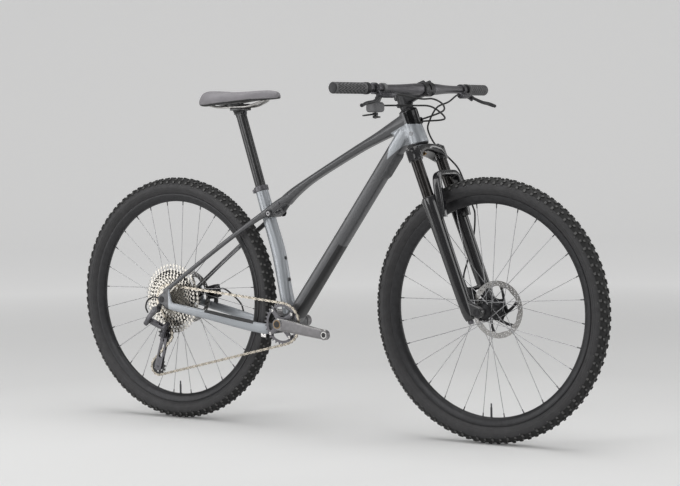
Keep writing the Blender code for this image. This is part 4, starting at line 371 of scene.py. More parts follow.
def smooth_values(rows, count):
    """Rows of numbers read evenly along a smooth curve through them, by the first three as a place."""
    ends = [[2 * a - b for a, b in zip(rows[0], rows[1])], *rows, [2 * a - b for a, b in zip(rows[-1], rows[-2])]]
    dense = []
    for index in range(1, len(ends) - 2):
        corners = list(zip(*ends[index - 1 : index + 3]))
        for step in range(24):
            t = step / 24
            dense.append([spline_value(*corner, t) for corner in corners])
    dense.append(list(rows[-1]))
    lengths = [0.0]
    for start, end in zip(dense, dense[1:]):
        lengths.append(lengths[-1] + (Vector(end[:3]) - Vector(start[:3])).length)
    found, index = [], 0
    for step in range(count):
        target = lengths[-1] * step / (count - 1)
        while index < len(lengths) - 2 and lengths[index + 1] < target:
            index += 1
        share = (target - lengths[index]) / max(lengths[index + 1] - lengths[index], 1e-12)
        found.append([a + share * (b - a) for a, b in zip(dense[index], dense[index + 1])])
    return found


def spline_value(a, b, c, d, t):
    return 0.5 * (2 * b + (c - a) * t + (2 * a - 5 * b + 4 * c - d) * t * t + (3 * b - a - 3 * c + d) * t**3)


def power_curve(value, exponent):
    return math.copysign(abs(value) ** exponent, value)


def section(centre, side_way, up_way, half_side, half_up, sides, fullness):
    """A ring of points on a rounded cross-section."""
    ring = []
    for step in range(sides):
        angle = 2 * math.pi * (step + 0.5) / sides
        across_by = half_side * power_curve(math.cos(angle), 2 / fullness)
        up_by = half_up * power_curve(math.sin(angle), 2 / fullness)
        ring.append(centre + side_way * across_by + up_way * up_by)
    return ring


def creased_section(centre, side_way, up_way, half_side, half_up):
    """A ring of points on a section with a crease along each side."""
    right = [*CREASE_QUARTER, *[(a, -b) for a, b in CREASE_QUARTER[-2::-1]]]
    loop = [*right, *[(-a, b) for a, b in right[-2:0:-1]]]
    return [centre + side_way * half_side * a + up_way * half_up * b for a, b in loop]


def circle(radius, sides, x=0.0, y=0.0, turn=0.0):
    angles = [turn + 2 * math.pi * step / sides for step in range(sides)]
    return [(x + radius * math.cos(angle), y + radius * math.sin(angle)) for angle in angles]


def outline_round(circles, sides=32):
    """The outline around some circles, each (x, y, radius)."""
    points = sorted({(round(px, 7), round(py, 7)) for x, y, r in circles for px, py in circle(r, sides, x, y)})

    def turn_of(a, b, c):
        return (b[0] - a[0]) * (c[1] - a[1]) - (b[1] - a[1]) * (c[0] - a[0])

    def half(ordered):
        chain = []
        for p in ordered:
            while len(chain) > 1 and turn_of(chain[-2], chain[-1], p) <= 1e-12:
                chain.pop()
            chain.append(p)
        return chain[:-1]

    return half(points) + half(points[::-1])


class Form:
    """Solids gathered into one mesh."""

    def __init__(self):
        self.bm = bmesh.new()
        self.slot = 0

    def skin(self, rings, closed=False):
        """A skin over rings of equal point count, capped at its ends."""
        rows = [[self.bm.verts.new(point) for point in ring] for ring in rings]
        pairs = list(zip(rows, rows[1:]))
        if closed:
            pairs.append((rows[-1], rows[0]))
        faces = []
        for row, following in pairs:
            for index in range(len(row)):
                nearby = (index + 1) % len(row)
                faces.append(self.bm.faces.new((row[index], row[nearby], following[nearby], following[index])))
        if not closed:
            faces.append(self.bm.faces.new(rows[0][::-1]))
            faces.append(self.bm.faces.new(rows[-1]))
        for face in faces:
            face.material_index = self.slot
        return faces

    def tube(self, path, halves, sides=32, fullness=2.4, side_way=Y, count=24, creased=False):
        """A tube along a smooth path. halves gives each station's half width along side_way and half height."""
        rows = smooth_values([[*point, *half] for point, half in zip(path, halves)], count)
        points = [Vector(row[:3]) for row in rows]
        rings = []
        for index, row in enumerate(rows):
            along = (points[min(index + 1, count - 1)] - points[max(index - 1, 0)]).normalized()
            side = (side_way - side_way.dot(along) * along).normalized()
            placed = (points[index], side, side.cross(along), row[3], row[4])
            rings.append(creased_section(*placed) if creased else section(*placed, sides, fullness))
        self.skin(rings)
        return self

    def hose(self, points, radius, count, sides=12):
        """A round hose along a smooth route."""
        route = [Vector(row) for row in smooth_values([list(point) for point in points], count)]
        rings, x_way = [], None
        for index, point in enumerate(route):
            along = (route[min(index + 1, count - 1)] - route[max(index - 1, 0)]).normalized()
            x_way = along.orthogonal() if x_way is None else x_way
            x_way = (x_way - x_way.dot(along) * along).normalized()
            rings.append(section(point, x_way, along.cross(x_way), radius, radius, sides, 2.0))
        self.skin(rings)
        return self

    def turned(self, profile, origin, axis, steps=48, first=None):
        """A turned piece. The profile is a closed loop of (radius, height), or runs from the axis to the axis."""
        place = facing(origin, axis, first)
        solid = profile[0][0] < 1e-7
        rings = []
        for radius, height in profile[1:-1] if solid else profile:
            ring = []
            for step in range(steps):
                angle = 2 * math.pi * step / steps
                ring.append(place @ Vector((radius * math.cos(angle), radius * math.sin(angle), height)))
            rings.append(ring)
        self.skin(rings, closed=not solid)
        return self

    def rod(self, start, end, radius, end_radius=None, sides=32, chamfer=0.0):
        """A round rod with chamfered ends."""
        length = (end - start).length
        last = radius if end_radius is None else end_radius
        profile = [(0, 0), (radius - chamfer, 0), (radius, chamfer), (last, length - chamfer), (last - chamfer, length)]
        if not chamfer:
            profile = [(0, 0), (radius, 0), (last, length)]
        return self.turned([*profile, (0, length)], start, end - start, sides)

    def across(self, centre, y_from, y_to, radius, sides=32, chamfer=0.0):
        """A rod along Y."""
        start, end = Vector((centre.x, y_from, centre.z)), Vector((centre.x, y_to, centre.z))
        return self.rod(start, end, radius, sides=sides, chamfer=chamfer)

    def block(self, centre, sizes, x_way=Vector((1, 0, 0)), z_way=Z, bevel=0.001, segments=3):
        """A box with its own X and Z directions and rounded edges."""
        made = bmesh.new()
        bmesh.ops.create_cube(made, size=1.0)
        bmesh.ops.scale(made, vec=Vector(sizes), verts=made.verts)
        bmesh.ops.bevel(made, geom=made.edges[:], offset=bevel, segments=segments, profile=0.5, affect="EDGES")
        made.transform(facing(centre, z_way, x_way))
        return self.take(made)

    def plate(self, outlines, thickness, origin, x_way, z_way, bevel=0.0):
        """A flat plate with eased edges. outlines are loops of (x, y), the outer one first, then its holes."""
        curve = bpy.data.curves.new("outline", "CURVE")
        curve.dimensions = "2D"
        curve.fill_mode = "BOTH"
        curve.extrude = thickness / 2 - bevel
        curve.bevel_depth = bevel
        curve.bevel_resolution = 0
        curve.offset = -bevel
        for outline in outlines:
            spline = curve.splines.new("POLY")
            spline.points.add(len(outline) - 1)
            for point, (x, y) in zip(spline.points, outline):
                point.co = (x, y, 0, 1)
            spline.use_cyclic_u = True
        made_object = bpy.data.objects.new("outline", curve)
        bpy.context.scene.collection.objects.link(made_object)
        bpy.context.view_layer.update()
        graph = bpy.context.evaluated_depsgraph_get()
        mesh = bpy.data.meshes.new_from_object(made_object.evaluated_get(graph))
        made = bmesh.new()
        made.from_mesh(mesh)
        bmesh.ops.remove_doubles(made, verts=made.verts, dist=1e-7)
        made.transform(facing(origin, z_way, x_way))
        bpy.data.objects.remove(made_object, do_unlink=True)
        bpy.data.curves.remove(curve)
        bpy.data.meshes.remove(mesh)
        return self.take(made)

    def side_plate(self, outlines, thickness, centre, y, bevel=0.0):
        """A plate in the bike's plane, seen from the drive side: outline x is forward and y is up."""
        return self.plate(outlines, thickness, Vector((centre.x, y, centre.z)), Vector((1, 0, 0)), -Y, bevel)

    def bolt(self, at, axis, radius, height, key=0.5):
        """A cap screw standing up from a surface along axis, with a hexagon socket."""
        place = facing(at, axis)
        steps = 24

        def ring(size, up, hexagon=False):
            points = []
            for step in range(steps):
                angle = 2 * math.pi * step / steps
                reach = size
                if hexagon:
                    reach *= math.cos(math.pi / 6) / math.cos((angle + math.pi / 6) % (math.pi / 3) - math.pi / 6)
                points.append(place @ Vector((reach * math.cos(angle), reach * math.sin(angle), up)))
            return points

        rings = [
            ring(radius, -0.0015),
            ring(radius, 0.85 * height),
            ring(0.88 * radius, height),
            ring(key * 1.12 * radius, height, True),
            ring(key * radius, 0.94 * height, True),
            ring(key * radius, 0.35 * height, True),
        ]
        self.skin(rings)
        return self

    def take(self, made):
        """Takes in the faces of another bmesh."""
        for face in made.faces:
            face.material_index = self.slot
        mesh = bpy.data.meshes.new("taken")
        made.to_mesh(mesh)
        made.free()
        self.bm.from_mesh(mesh)
        bpy.data.meshes.remove(mesh)
        return self

    def done(self, name, body, materials, replaces=(), slot=None, sharp=35.0, bevel=0.0):
        """The finished piece, riding on a body; when body is (a, b, start, end), it stays in place on no body."""
        bmesh.ops.recalc_face_normals(self.bm, faces=self.bm.faces)
        mesh = bpy.data.meshes.new(name)
        self.bm.to_mesh(mesh)
        self.bm.free()
        mesh.shade_smooth()
        mesh.set_sharp_from_angle(angle=math.radians(sharp))
        for material in materials if isinstance(materials, (list, tuple)) else [materials]:
            mesh.materials.append(material)
        obj = bpy.data.objects.new(name, mesh)
        bpy.context.scene.collection.objects.link(obj)
        if bevel:
            modifier = obj.modifiers.new("eased", "BEVEL")
            modifier.width = bevel
            modifier.segments = 2
            modifier.limit_method = "ANGLE"
            modifier.angle_limit = math.radians(40)
            modifier.harden_normals = False
        if isinstance(body, str):
            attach(obj, body)
        else:
            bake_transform(obj)
        if replaces:
            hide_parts(*([replaces] if isinstance(replaces, str) else replaces))
        return obj


# Frame
BB_SHELL_HALF = 0.046
BB_SHELL_RADIUS = 0.0235
HEAD_TUBE_RADIUS = 0.0272
SEAT_TUBE_RADIUS = 0.0183
SEAT_TUBE_DEPTH = 0.0215
DROPOUT_INNER = 0.0745
DROPOUT_OUTER = 0.0815
DROPOUT_RADIUS = 0.0165
DROPOUT_MID = (DROPOUT_INNER + DROPOUT_OUTER) / 2
PORT_UP = 0.575
PORT_FACE = (0.0137, 0.0305)
PLUG_AT = (0.5398, 0.0017, -0.0266)
PIVOT_CAP_RADIUS = 0.0118
PIVOT_CAP_AT = 0.0355
FRAME_VOXEL = 0.0017
PANEL_TIP = (0.594, -0.0024)
PANEL_CREST = 0.48
# The slope of the pale panel's lower edge, set where the down tube's underside falls into shade: the dark paint below
# it is partly painted shade.
PANEL_SHADE_KEEL = 0.30
PANEL_DROP = 0.0345
PANEL_SLOPE = -0.05
CREASE_QUARTER = ((0.0, 1.0), (0.34, 0.985), (0.62, 0.90), (0.78, 0.70), (0.90, 0.36), (1.0, 0.0))


def seat_stay_line(side):
    """Stations and half sizes of one yoke arm, run on as a seatstay to the dropout."""
    end = REAR_AXLE + Vector((0.007, 0, 0.0225))
    path = [
        BB + on_side(0.018, 0.009, 0.3785, side),
        PIVOT + on_side(0.026, 0.0215, 0.0285, side),
        PIVOT + on_side(0.0, 0.0285, 0.0075, side),
        PIVOT + on_side(-0.024, 0.0320, -0.0045, side),
        PIVOT + on_side(-0.079, 0.0425, -0.0390, side),
        PIVOT + on_side(-0.154, 0.0510, -0.0880, side),
        end + on_side(0.100, 0.0640, 0.0720, side),
        end + on_side(0.0, DROPOUT_MID, 0.0, side),
    ]
    widths = (0.0075, 0.0075, 0.0075, 0.0065, 0.0060, 0.0060, 0.0055, 0.0040)
    heights = (0.0100, 0.0120, 0.0140, 0.0100, 0.0075, 0.0070, 0.0065, 0.0075)
    return path, list(zip(widths, heights))


def chain_stay_line(side):
    end = REAR_AXLE + Vector((0.012, 0, -0.016))
    path = [
        end + on_side(0.0, DROPOUT_MID, 0.0, side),
        end + on_side(0.050, 0.0740, -0.0090, side),
        end + on_side(0.140, 0.0640, -0.0250, side),
        BB + on_side(-0.187, 0.0500, -0.0005, side),
        BB + on_side(-0.112, 0.0425, -0.0135, side),
        BB + on_side(-0.062, 0.0385, -0.0180, side),
        BB + on_side(-0.012, 0.0300, -0.0120, side),
    ]
    widths = (0.0040, 0.0055, 0.0065, 0.0060, 0.0055, 0.0060, 0.0080)
    heights = (0.0110, 0.0125, 0.0130, 0.0145, 0.0155, 0.0165, 0.0160)
    return path, list(zip(widths, heights))


def main_tubes(form):
    form.tube(
        [down(DOWN_TUBE_REACH), down(DOWN_TUBE_REACH - 0.06), down(0.34), down(0.12), down(0.01)],
        [(0.0255, 0.0205), (0.0232, 0.0215), (0.0225, 0.0215), (0.0270, 0.0215), (0.0330, 0.0200)],
        sides=40,
        fullness=3.0,
        count=28,
    )
    form.tube(
        [
            steer(HEAD_TOP - 0.0260, -0.012),
            BB + Vector((0.368, 0, 0.5625)),
            BB + Vector((0.312, 0, 0.5365)),
            BB + Vector((0.234, 0, 0.4995)),
            BB + Vector((0.091, 0, 0.4255)),
            BB + Vector((0.023, 0, 0.3845)),
            BB + Vector((-0.012, 0, 0.3580)),
        ],
        [
            (0.0268, 0.0256),
            (0.0236, 0.0192),
            (0.0198, 0.0145),
            (0.0190, 0.0118),
            (0.0185, 0.0105),
            (0.0190, 0.0142),
            (0.0200, 0.0175),
        ],
        count=36,
        creased=True,
    )
    form.tube(
        [
            seat(SEAT_TUBE_LENGTH - 0.003),
            seat(SEAT_TUBE_LENGTH - 0.11),
            SEAT_TUBE_BEND,
            SEAT_TUBE_KNEE,
            BB + Vector((-0.002, 0, 0.010)),
        ],
        [
            (SEAT_TUBE_RADIUS, SEAT_TUBE_RADIUS),
            (SEAT_TUBE_RADIUS, SEAT_TUBE_RADIUS + 0.0015),
            (SEAT_TUBE_RADIUS, SEAT_TUBE_DEPTH),
            (0.0210, 0.0190),
            (0.0270, 0.0185),
        ],
        sides=40,
        fullness=2.2,
        count=30,
    )


def head_gusset(form):
    """The web that fills the corner between the top and down tubes."""
    path = [steer(0.549, -0.012), steer(0.556, -0.037), steer(0.5615, -0.0590)]
    form.tube(path, [(0.0252, 0.0240), (0.0215, 0.0185), (0.0185, 0.0085)], 32, 2.8, Y, 16)


def head_tube(form):
    waist = (HEAD_TOP + HEAD_BOTTOM) / 2
    profile = [
        (0, HEAD_BOTTOM),
        (HEAD_TUBE_RADIUS + 0.0005, HEAD_BOTTOM),
        (HEAD_TUBE_RADIUS + 0.0013, HEAD_BOTTOM + 0.002),
        (HEAD_TUBE_RADIUS + 0.0008, HEAD_BOTTOM + 0.020),
        (HEAD_TUBE_RADIUS - 0.0010, waist),
        (HEAD_TUBE_RADIUS - 0.0006, HEAD_TOP - 0.020),
        (HEAD_TUBE_RADIUS, HEAD_TOP - 0.002),
        (HEAD_TUBE_RADIUS - 0.0008, HEAD_TOP),
        (0, HEAD_TOP),
    ]
    form.turned(profile, steer(0), STEER_UP, 64)


def rear_triangle(form):
    for side in (RIGHT, LEFT):
        form.tube(*seat_stay_line(side), sides=24, fullness=2.6, count=56)
        form.tube(*chain_stay_line(side), sides=24, fullness=2.6, count=48)
        form.across(REAR_AXLE, side * DROPOUT_INNER, side * DROPOUT_OUTER, DROPOUT_RADIUS, 48)
        web = outline_round([(0.0, 0.0, 0.0165), (0.030, -0.020, 0.010), (0.022, 0.026, 0.006)])
        form.side_plate([web], DROPOUT_OUTER - DROPOUT_INNER - 0.001, REAR_AXLE, side * DROPOUT_MID, 0.001)


def bosses(form):
    form.across(BB, -BB_SHELL_HALF, BB_SHELL_HALF, BB_SHELL_RADIUS, 56, 0.001)
    form.across(PIVOT, -0.0215, 0.0215, 0.0125, 32)
    form.rod(PIVOT + 0.004 * SEAT_AHEAD, PIVOT + 0.024 * SEAT_AHEAD, 0.0075)
    form.rod(steer(PORT_UP, 0.006, 0.016), steer(PORT_UP, *PORT_FACE), 0.0105, 0.0085)


def soft_step(values, low, high):
    """0 below low, 1 above high, with a smooth rise between."""
    share = ((values - low) / (high - low)).clip(0, 1)
    return share * share * (3 - 2 * share)


def to_axis(points, start, end):
    """Each point's distance from a line segment, and its share along it."""
    import numpy as np

    start, way = np.array(start), np.array(end) - np.array(start)
    share = (((points - start) @ way) / (way @ way)).clip(0, 1)
    return np.linalg.norm(points - start - share[:, None] * way, axis=1), share


def paint_frame(mesh):
    """Point colours: red for the paler metallic panels, green for the guard film, blue for the gloss black front."""
    import numpy as np

    points = np.zeros(len(mesh.vertices) * 3)
    mesh.vertices.foreach_get("co", points)
    points = points.reshape(-1, 3)
    x, y, z = points.T
    from_steer = points - np.array(STEER_FOOT)
    up, ahead = from_steer @ np.array(STEER_UP), from_steer @ np.array(STEER_AHEAD)
    off_steer = np.hypot(ahead, y)

    upright = np.minimum(
        to_axis(points, seat(SEAT_TUBE_LENGTH + 0.01), SEAT_TUBE_BEND)[0],
        to_axis(points, SEAT_TUBE_BEND, SEAT_TUBE_KNEE)[0],
    )
    upright = soft_step(-upright, -0.0260, -0.0246)
    low = to_axis(points, SEAT_TUBE_KNEE, BB)[0]
    upright = np.maximum(upright, soft_step(-low, -0.0300, -0.0285) * soft_step(z, BB.z + 0.024, BB.z + 0.030))
    stay_line = BB.z + 0.030 + (BB.x - 0.05 - x) / (BB.x - 0.05 - REAR_AXLE.x - 0.03) * 0.060
    stays = soft_step(stay_line - z, -0.001, 0.001) * soft_step(BB.x - 0.035 - x, 0.0, 0.04)
    stays *= soft_step(x, REAR_AXLE.x + 0.024, REAR_AXLE.x + 0.026)
    from_bb = points - np.array(BB)
    along, above = from_bb @ np.array(DOWN_WAY), from_bb @ np.array(DOWN_UP)
    crest = PANEL_TIP[1] + PANEL_CREST * (along - PANEL_TIP[0])
    # The pale panel ends at this lower line, where the down tube's underside turns down into shade: the dark base paint
    # below it is partly painted shade.
    shade_keel = PANEL_TIP[1] - PANEL_SHADE_KEEL * (along - PANEL_TIP[0])
    wedge = soft_step(crest - above, 0.0, 0.0012) * soft_step(above - shade_keel, 0.0, 0.0012)
    neck = soft_step(ahead, -0.0660, -0.0645) * soft_step(above - shade_keel, 0.0, 0.0012)
    panel = np.maximum(np.maximum(wedge, neck), soft_step(0.0315 - off_steer, 0.0, 0.0012))
    seam = HEAD_TOP - PANEL_DROP + PANEL_SLOPE * (0.007 - ahead).clip(0)
    front = panel * soft_step(seam - up, 0.0, 0.0012)
    light = np.maximum(np.maximum(upright, front), stays)
    on_down = soft_step(0.034 - np.abs(y), 0.0, 0.001) * soft_step(along, 0.030, 0.034)
    guard = on_down * soft_step(0.300 - along, 0.0, 0.002) * soft_step(-0.009 - above, 0.0, 0.0012)
    edge = HEAD_TOP - 0.040 - 0.35 * ahead.clip(0) + 0.05 * np.abs(y)
    gloss = soft_step(up - edge, 0.0, 0.0012) * soft_step(ahead, -0.002, 0.0) * soft_step(0.034 - off_steer, 0, 0.001)
    colours = np.stack([light, guard, gloss, np.ones(len(x))], axis=1)
    layer = mesh.color_attributes.new("paint", "FLOAT_COLOR", "POINT")
    layer.data.foreach_set("color", colours.ravel())


def make_frame():
    """One moulded shell: the tubes are joined into a single skin, and their meeting lines are eased."""
    form = Form()
    main_tubes(form)
    head_gusset(form)
    head_tube(form)
    rear_triangle(form)
    bosses(form)
    bmesh.ops.recalc_face_normals(form.bm, faces=form.bm.faces)
    rough = bpy.data.meshes.new("rough")
    form.bm.to_mesh(rough)
    form.bm.free()
    obj = bpy.data.objects.new("frame_shell", rough)
    bpy.context.scene.collection.objects.link(obj)
    skin = obj.modifiers.new("skin", "REMESH")
    skin.mode = "VOXEL"
    skin.voxel_size = FRAME_VOXEL
    easing = obj.modifiers.new("easing", "SMOOTH")
    easing.factor = 0.5
    easing.iterations = 7
    bpy.context.view_layer.update()
    graph = bpy.context.evaluated_depsgraph_get()
    mesh = bpy.data.meshes.new_from_object(obj.evaluated_get(graph))
    obj.modifiers.clear()
    obj.data = mesh
    bpy.data.meshes.remove(rough)
    mesh.name = "frame_shell"
    mesh.shade_smooth()
    mesh.materials.clear()
    mesh.materials.append(FRAME_PAINT)
    paint_frame(mesh)
    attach(obj, "frame")
    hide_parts("frame")


def make_frame_details():
    """Bottle bolts, the cable port's rim and its cover, and the chain-suck plate."""
    bolts = Form()
    for step in (0, 1):
        along = 0.300 + step * 0.064
        bolts.rod(down(along, 0.0190), down(along, 0.0240), 0.0060, chamfer=0.0005)
        bolts.bolt(down(along, 0.0235), DOWN_UP, 0.0042, 0.0022)
        foot = SEAT_TUBE_KNEE + (0.032 + step * 0.064) * LOW_SEAT_WAY
        bolts.rod(foot + 0.0192 * LOW_SEAT_FRONT, foot + 0.0225 * LOW_SEAT_FRONT, 0.0058, chamfer=0.0005)
        bolts.bolt(foot + 0.0215 * LOW_SEAT_FRONT, LOW_SEAT_FRONT, 0.0042, 0.0022)
    bolts.done("bottle_bolts", "frame", BOLT_STEEL, slot="satin_black")
    port = Form()
    out = (steer(PORT_UP, *PORT_FACE) - steer(PORT_UP, 0.008, 0.018)).normalized()
    face = steer(PORT_UP, *PORT_FACE)
    port.turned([(0, -0.004), (0.0102, -0.004), (0.0100, -0.0006), (0.0090, 0.0002), (0, 0.0002)], face, out, 40)
    plug = steer(*PLUG_AT)
    port.turned([(0, -0.003), (0.0031, -0.003), (0.0031, -0.0006), (0, -0.0006)], plug, -Y, 24)
    port.slot = 1
    ring = [(0.0030, -0.004), (0.0062, -0.004), (0.0062, 0.0004), (0.0055, 0.0011), (0.0038, 0.0011), (0.0030, 0.0004)]
    port.turned(ring, plug, -Y, 40)
    port.done("cable_ports", "frame", [SATIN_BLACK, MECH_SILVER], slot="satin_black")
    guard = Form()
    plate_at = Vector((-0.1995, -0.0395, 0.2746))
    outline = [(-0.009, -0.008), (0.008, -0.010), (0.010, 0.004), (0.006, 0.009), (-0.006, 0.010), (-0.010, 0.004)]
    guard.side_plate([outline, circle(0.0016, 12, 0.0, 0.0)], 0.0012, plate_at, plate_at.y, 0.0003)
    guard.done("chain_suck_plate", "frame", BRIGHT_BOLT, slot="steel")


def make_bearings():
    upper = Form()
    upper.turned(
        [
            (0.0153, HEAD_TOP - 0.006),
            (0.0214, HEAD_TOP - 0.006),
            (0.0214, HEAD_TOP + 0.0003),
            (0.0262, HEAD_TOP + 0.0003),
            (0.0262, HEAD_TOP + 0.0016),
            (0.0254, HEAD_TOP + 0.0026),
            (0.0212, SPACER_FOOT - 0.0008),
            (0.0204, SPACER_FOOT - 0.0003),
            (0.0153, SPACER_FOOT - 0.0003),
        ],
        steer(0),
        STEER_UP,
        64,
    )
    upper.done("upper_bearing_cover", "frame", SATIN_BLACK, "headset_upper", "satin_black")
    lower = Form()
    lower.turned(
        [
            (0.0212, AXLE_TO_CROWN + 0.0003),
            (0.0258, AXLE_TO_CROWN + 0.0003),
            (0.0265, AXLE_TO_CROWN + 0.0010),
            (0.0265, HEAD_BOTTOM - 0.0010),
            (0.0258, HEAD_BOTTOM - 0.0003),
            (0.0212, HEAD_BOTTOM - 0.0003),
        ],
        steer(0),
        STEER_UP,
        64,
    )
    lower.done("lower_bearing_cover", "frame", SATIN_BLACK, "headset_lower", "satin_black")
    cups = Form()
    for side in (RIGHT, LEFT):
        cups.turned(
            [
                (0.0124, BB_SHELL_HALF - 0.004),
                (0.0205, BB_SHELL_HALF - 0.004),
                (0.0205, BB_SHELL_HALF + 0.0003),
                (0.0230, BB_SHELL_HALF + 0.0003),
                (0.0230, BB_SHELL_HALF + 0.0014),
                (0.0224, BB_SHELL_HALF + 0.0020),
                (0.0180, BB_SHELL_HALF + 0.0020),
                (0.0176, BB_SHELL_HALF + 0.0012),
                (0.0124, BB_SHELL_HALF + 0.0012),
            ],
            BB,
            side * Y,
            64,
        )
    cups.done("bottom_bracket_cups", "frame", SATIN_BLACK, "bottom_bracket", "satin_black")


def make_collar():
    top = SEAT_TUBE_LENGTH
    form = Form()
    form.turned(
        [
            (0.0166, top - 0.002),
            (0.0193, top - 0.002),
            (0.0193, top - 0.0140),
            (0.0205, top - 0.0140),
            (0.0214, top - 0.0130),
            (0.0214, top + 0.0002),
            (0.0205, top + 0.0011),
            (0.0166, top + 0.0011),
        ],
        seat(0),
        SEAT_UP,
        64,
    )
    for side in (RIGHT, LEFT):
        lug = seat(top - 0.0065, -0.0240, side * 0.0041)
        form.block(lug, (0.0095, 0.0066, 0.0118), SEAT_AHEAD, SEAT_UP, 0.0018)
    form.bolt(seat(top - 0.0065, -0.0245, -0.0070), -Y, 0.0036, 0.0012)
    form.done("seat_collar_ring", "frame", MECH_GREY, "seat_collar", "satin_black")


def make_pivot():
    form = Form()
    for side in (RIGHT, LEFT):
        at = PIVOT_CAP_AT
        form.turned(
            [
                (0, at - 0.012),
                (0.0060, at - 0.012),
                (0.0060, at - 0.0006),
                (PIVOT_CAP_RADIUS, at - 0.0006),
                (PIVOT_CAP_RADIUS, at + 0.0022),
                (PIVOT_CAP_RADIUS - 0.0012, at + 0.0034),
                (0.0078, at + 0.0034),
                (0.0072, at + 0.0026),
                (0, at + 0.0026),
            ],
            PIVOT,
            side * Y,
            48,
        )
        form.slot = 1
        form.bolt(PIVOT + side * (at + 0.0022) * Y, side * Y, 0.0066, 0.0011, 0.55)
        form.slot = 0
    form.done("pivot_caps", "frame", [SATIN_BLACK, MECH_SILVER], "pivot_axle", "satin_black")
    bolt = Form()
    ahead = PIVOT + Vector((0.030, 0, 0.0285))
    for side in (RIGHT, LEFT):
        bolt.across(ahead, side * 0.0265, side * 0.0300, 0.0046, 32, 0.0006)
        bolt.bolt(ahead + side * 0.0297 * Y, side * Y, 0.0036, 0.0008, 0.55)
    bolt.done("yoke_bolts", "frame", BOLT_STEEL, slot="satin_black")


HANGER_BOLT = REAR_AXLE + Vector((-0.019, 0, -0.031))
HANGER_HALF = 0.0030
HANGER_Y = -0.0775


def make_dropout_fittings():
    hanger = Form()
    outline = outline_round([(-0.0125, -0.0205, 0.0075), (-0.019, -0.031, 0.0095)])
    hole_in = circle(0.0047, 24, -0.019, -0.031)
    hanger.side_plate([outline, hole_in], 2 * HANGER_HALF, REAR_AXLE, HANGER_Y, 0.0006)
    hanger.done("hanger_plate", "frame", SATIN_BLACK, "derailleur_hanger", "satin_black")
    axle = Form()
    reach = DROPOUT_OUTER
    axle.turned(
        [
            (0, -reach - 0.0014),
            (0.0035, -reach - 0.0014),
            (0.0055, -reach - 0.0014),
            (0.0060, -reach - 0.0009),
            (0.0060, reach + 0.0003),
            (0.0092, reach + 0.0003),
            (0.0092, reach + 0.0033),
            (0.0082, reach + 0.0042),
            (0.0045, reach + 0.0042),
            (0.0040, reach + 0.0012),
            (0, reach + 0.0012),
        ],
        REAR_AXLE,
        Y,
        40,
    )
    axle.turned([(0.0062, 0.0), (0.0098, 0.0), (0.0094, 0.0009), (0.0062, 0.0009)], REAR_AXLE - reach * Y, -Y, 40)
    axle.done("rear_axle_rod", "frame", SATIN_BLACK, "rear_axle", "satin_black")


REAR_CALIPER = REAR_AXLE + Vector((0.094, 0.0545, 0.017))


def caliper(form, centre, sizes, ahead, up, slot_y, bolts):
    """A two-piston brake body: two rounded halves about the rotor, piston caps and any bolts given."""
    depth, width, height = sizes
    for side in (RIGHT, LEFT):
        inner = slot_y + side * 0.0024
        outer = centre.y + side * width / 2
        middle = Vector((centre.x, (inner + outer) / 2, centre.z))
        form.block(middle, (depth, abs(outer - inner), height), ahead, up, 0.0038, 4)
        cap = Vector((centre.x, outer, centre.z))
        form.rod(cap - side * 0.0030 * Y, cap + side * 0.0000 * Y, 0.0118, chamfer=0.0008)
    bridge = centre + 0.36 * depth * ahead * (1 if (centre - REAR_AXLE).length > 0.5 else 1)
    for place, way in bolts:
        form.bolt(place, way, 0.0042, 0.0036)
    return bridge


def make_rear_caliper():
    form = Form()
    ahead, up = Vector((1, 0, 0.25)).normalized(), Vector((-0.25, 0, 1)).normalized()
    slot_y = 0.0520
    caliper(form, REAR_CALIPER, (0.038, 0.026, 0.040), ahead, up, slot_y, [])
    form.block(REAR_CALIPER + 0.0125 * ahead, (0.011, 0.022, 0.030), ahead, up, 0.003)
    bolts = Vector((REAR_CALIPER.x, REAR_CALIPER.y + 0.010, 0))
    form.rod(bolts + Vector((0, 0, TYRE_RADIUS - 0.0172)), bolts + Vector((0, 0, TYRE_RADIUS + 0.010)), 0.0068, chamfer=0.001)
    form.bolt(bolts + Vector((0, 0, REAR_CALIPER.z + 0.0185)), Z, 0.0045, 0.0030)
    form.rod(REAR_CALIPER + Vector((0.010, 0.004, 0.0078)), REAR_CALIPER + Vector((0.0196, 0.004, 0.0092)), 0.0042, chamfer=0.0006)
    form.done("rear_brake", "frame", SATIN_BLACK, "rear_caliper", "satin_black")


def strip(form, path, halves, gap, thickness, reach, sides=20, fullness=2.6, count=30, flip=1):
    """A pad over one side of a tube. reach is how far round the tube it goes, in degrees either way."""
    rows = smooth_values([[*point, *half] for point, half in zip(path, halves)], count)
    points = [Vector(row[:3]) for row in rows]
    rings = []
    for index, row in enumerate(rows):
        along = (points[min(index + 1, count - 1)] - points[max(index - 1, 0)]).normalized()
        side = (Y - Y.dot(along) * along).normalized()
        up = side.cross(along)
        up = up if up.z * flip > 0 else -up
        end = min(index, count - 1 - index)
        thick = thickness * (0.35 + 0.65 * min(1.0, end / 3))
        ring = []
        for layer, order in ((thick, range(sides + 1)), (0.0, range(sides, -1, -1))):
            for step in order:
                share = 2 * step / sides - 1
                angle = math.radians(90 + reach * share)
                rim = 1.0 if abs(share) < 0.93 else 0.5
                half_w, half_h = row[3] + gap + layer * rim, row[4] + gap + layer * rim
                across_by = half_w * power_curve(math.cos(angle), 2 / fullness)
                up_by = half_h * power_curve(math.sin(angle), 2 / fullness)
                ring.append(points[index] + side * across_by + up * up_by)
        rings.append(ring)
    form.skin(rings)


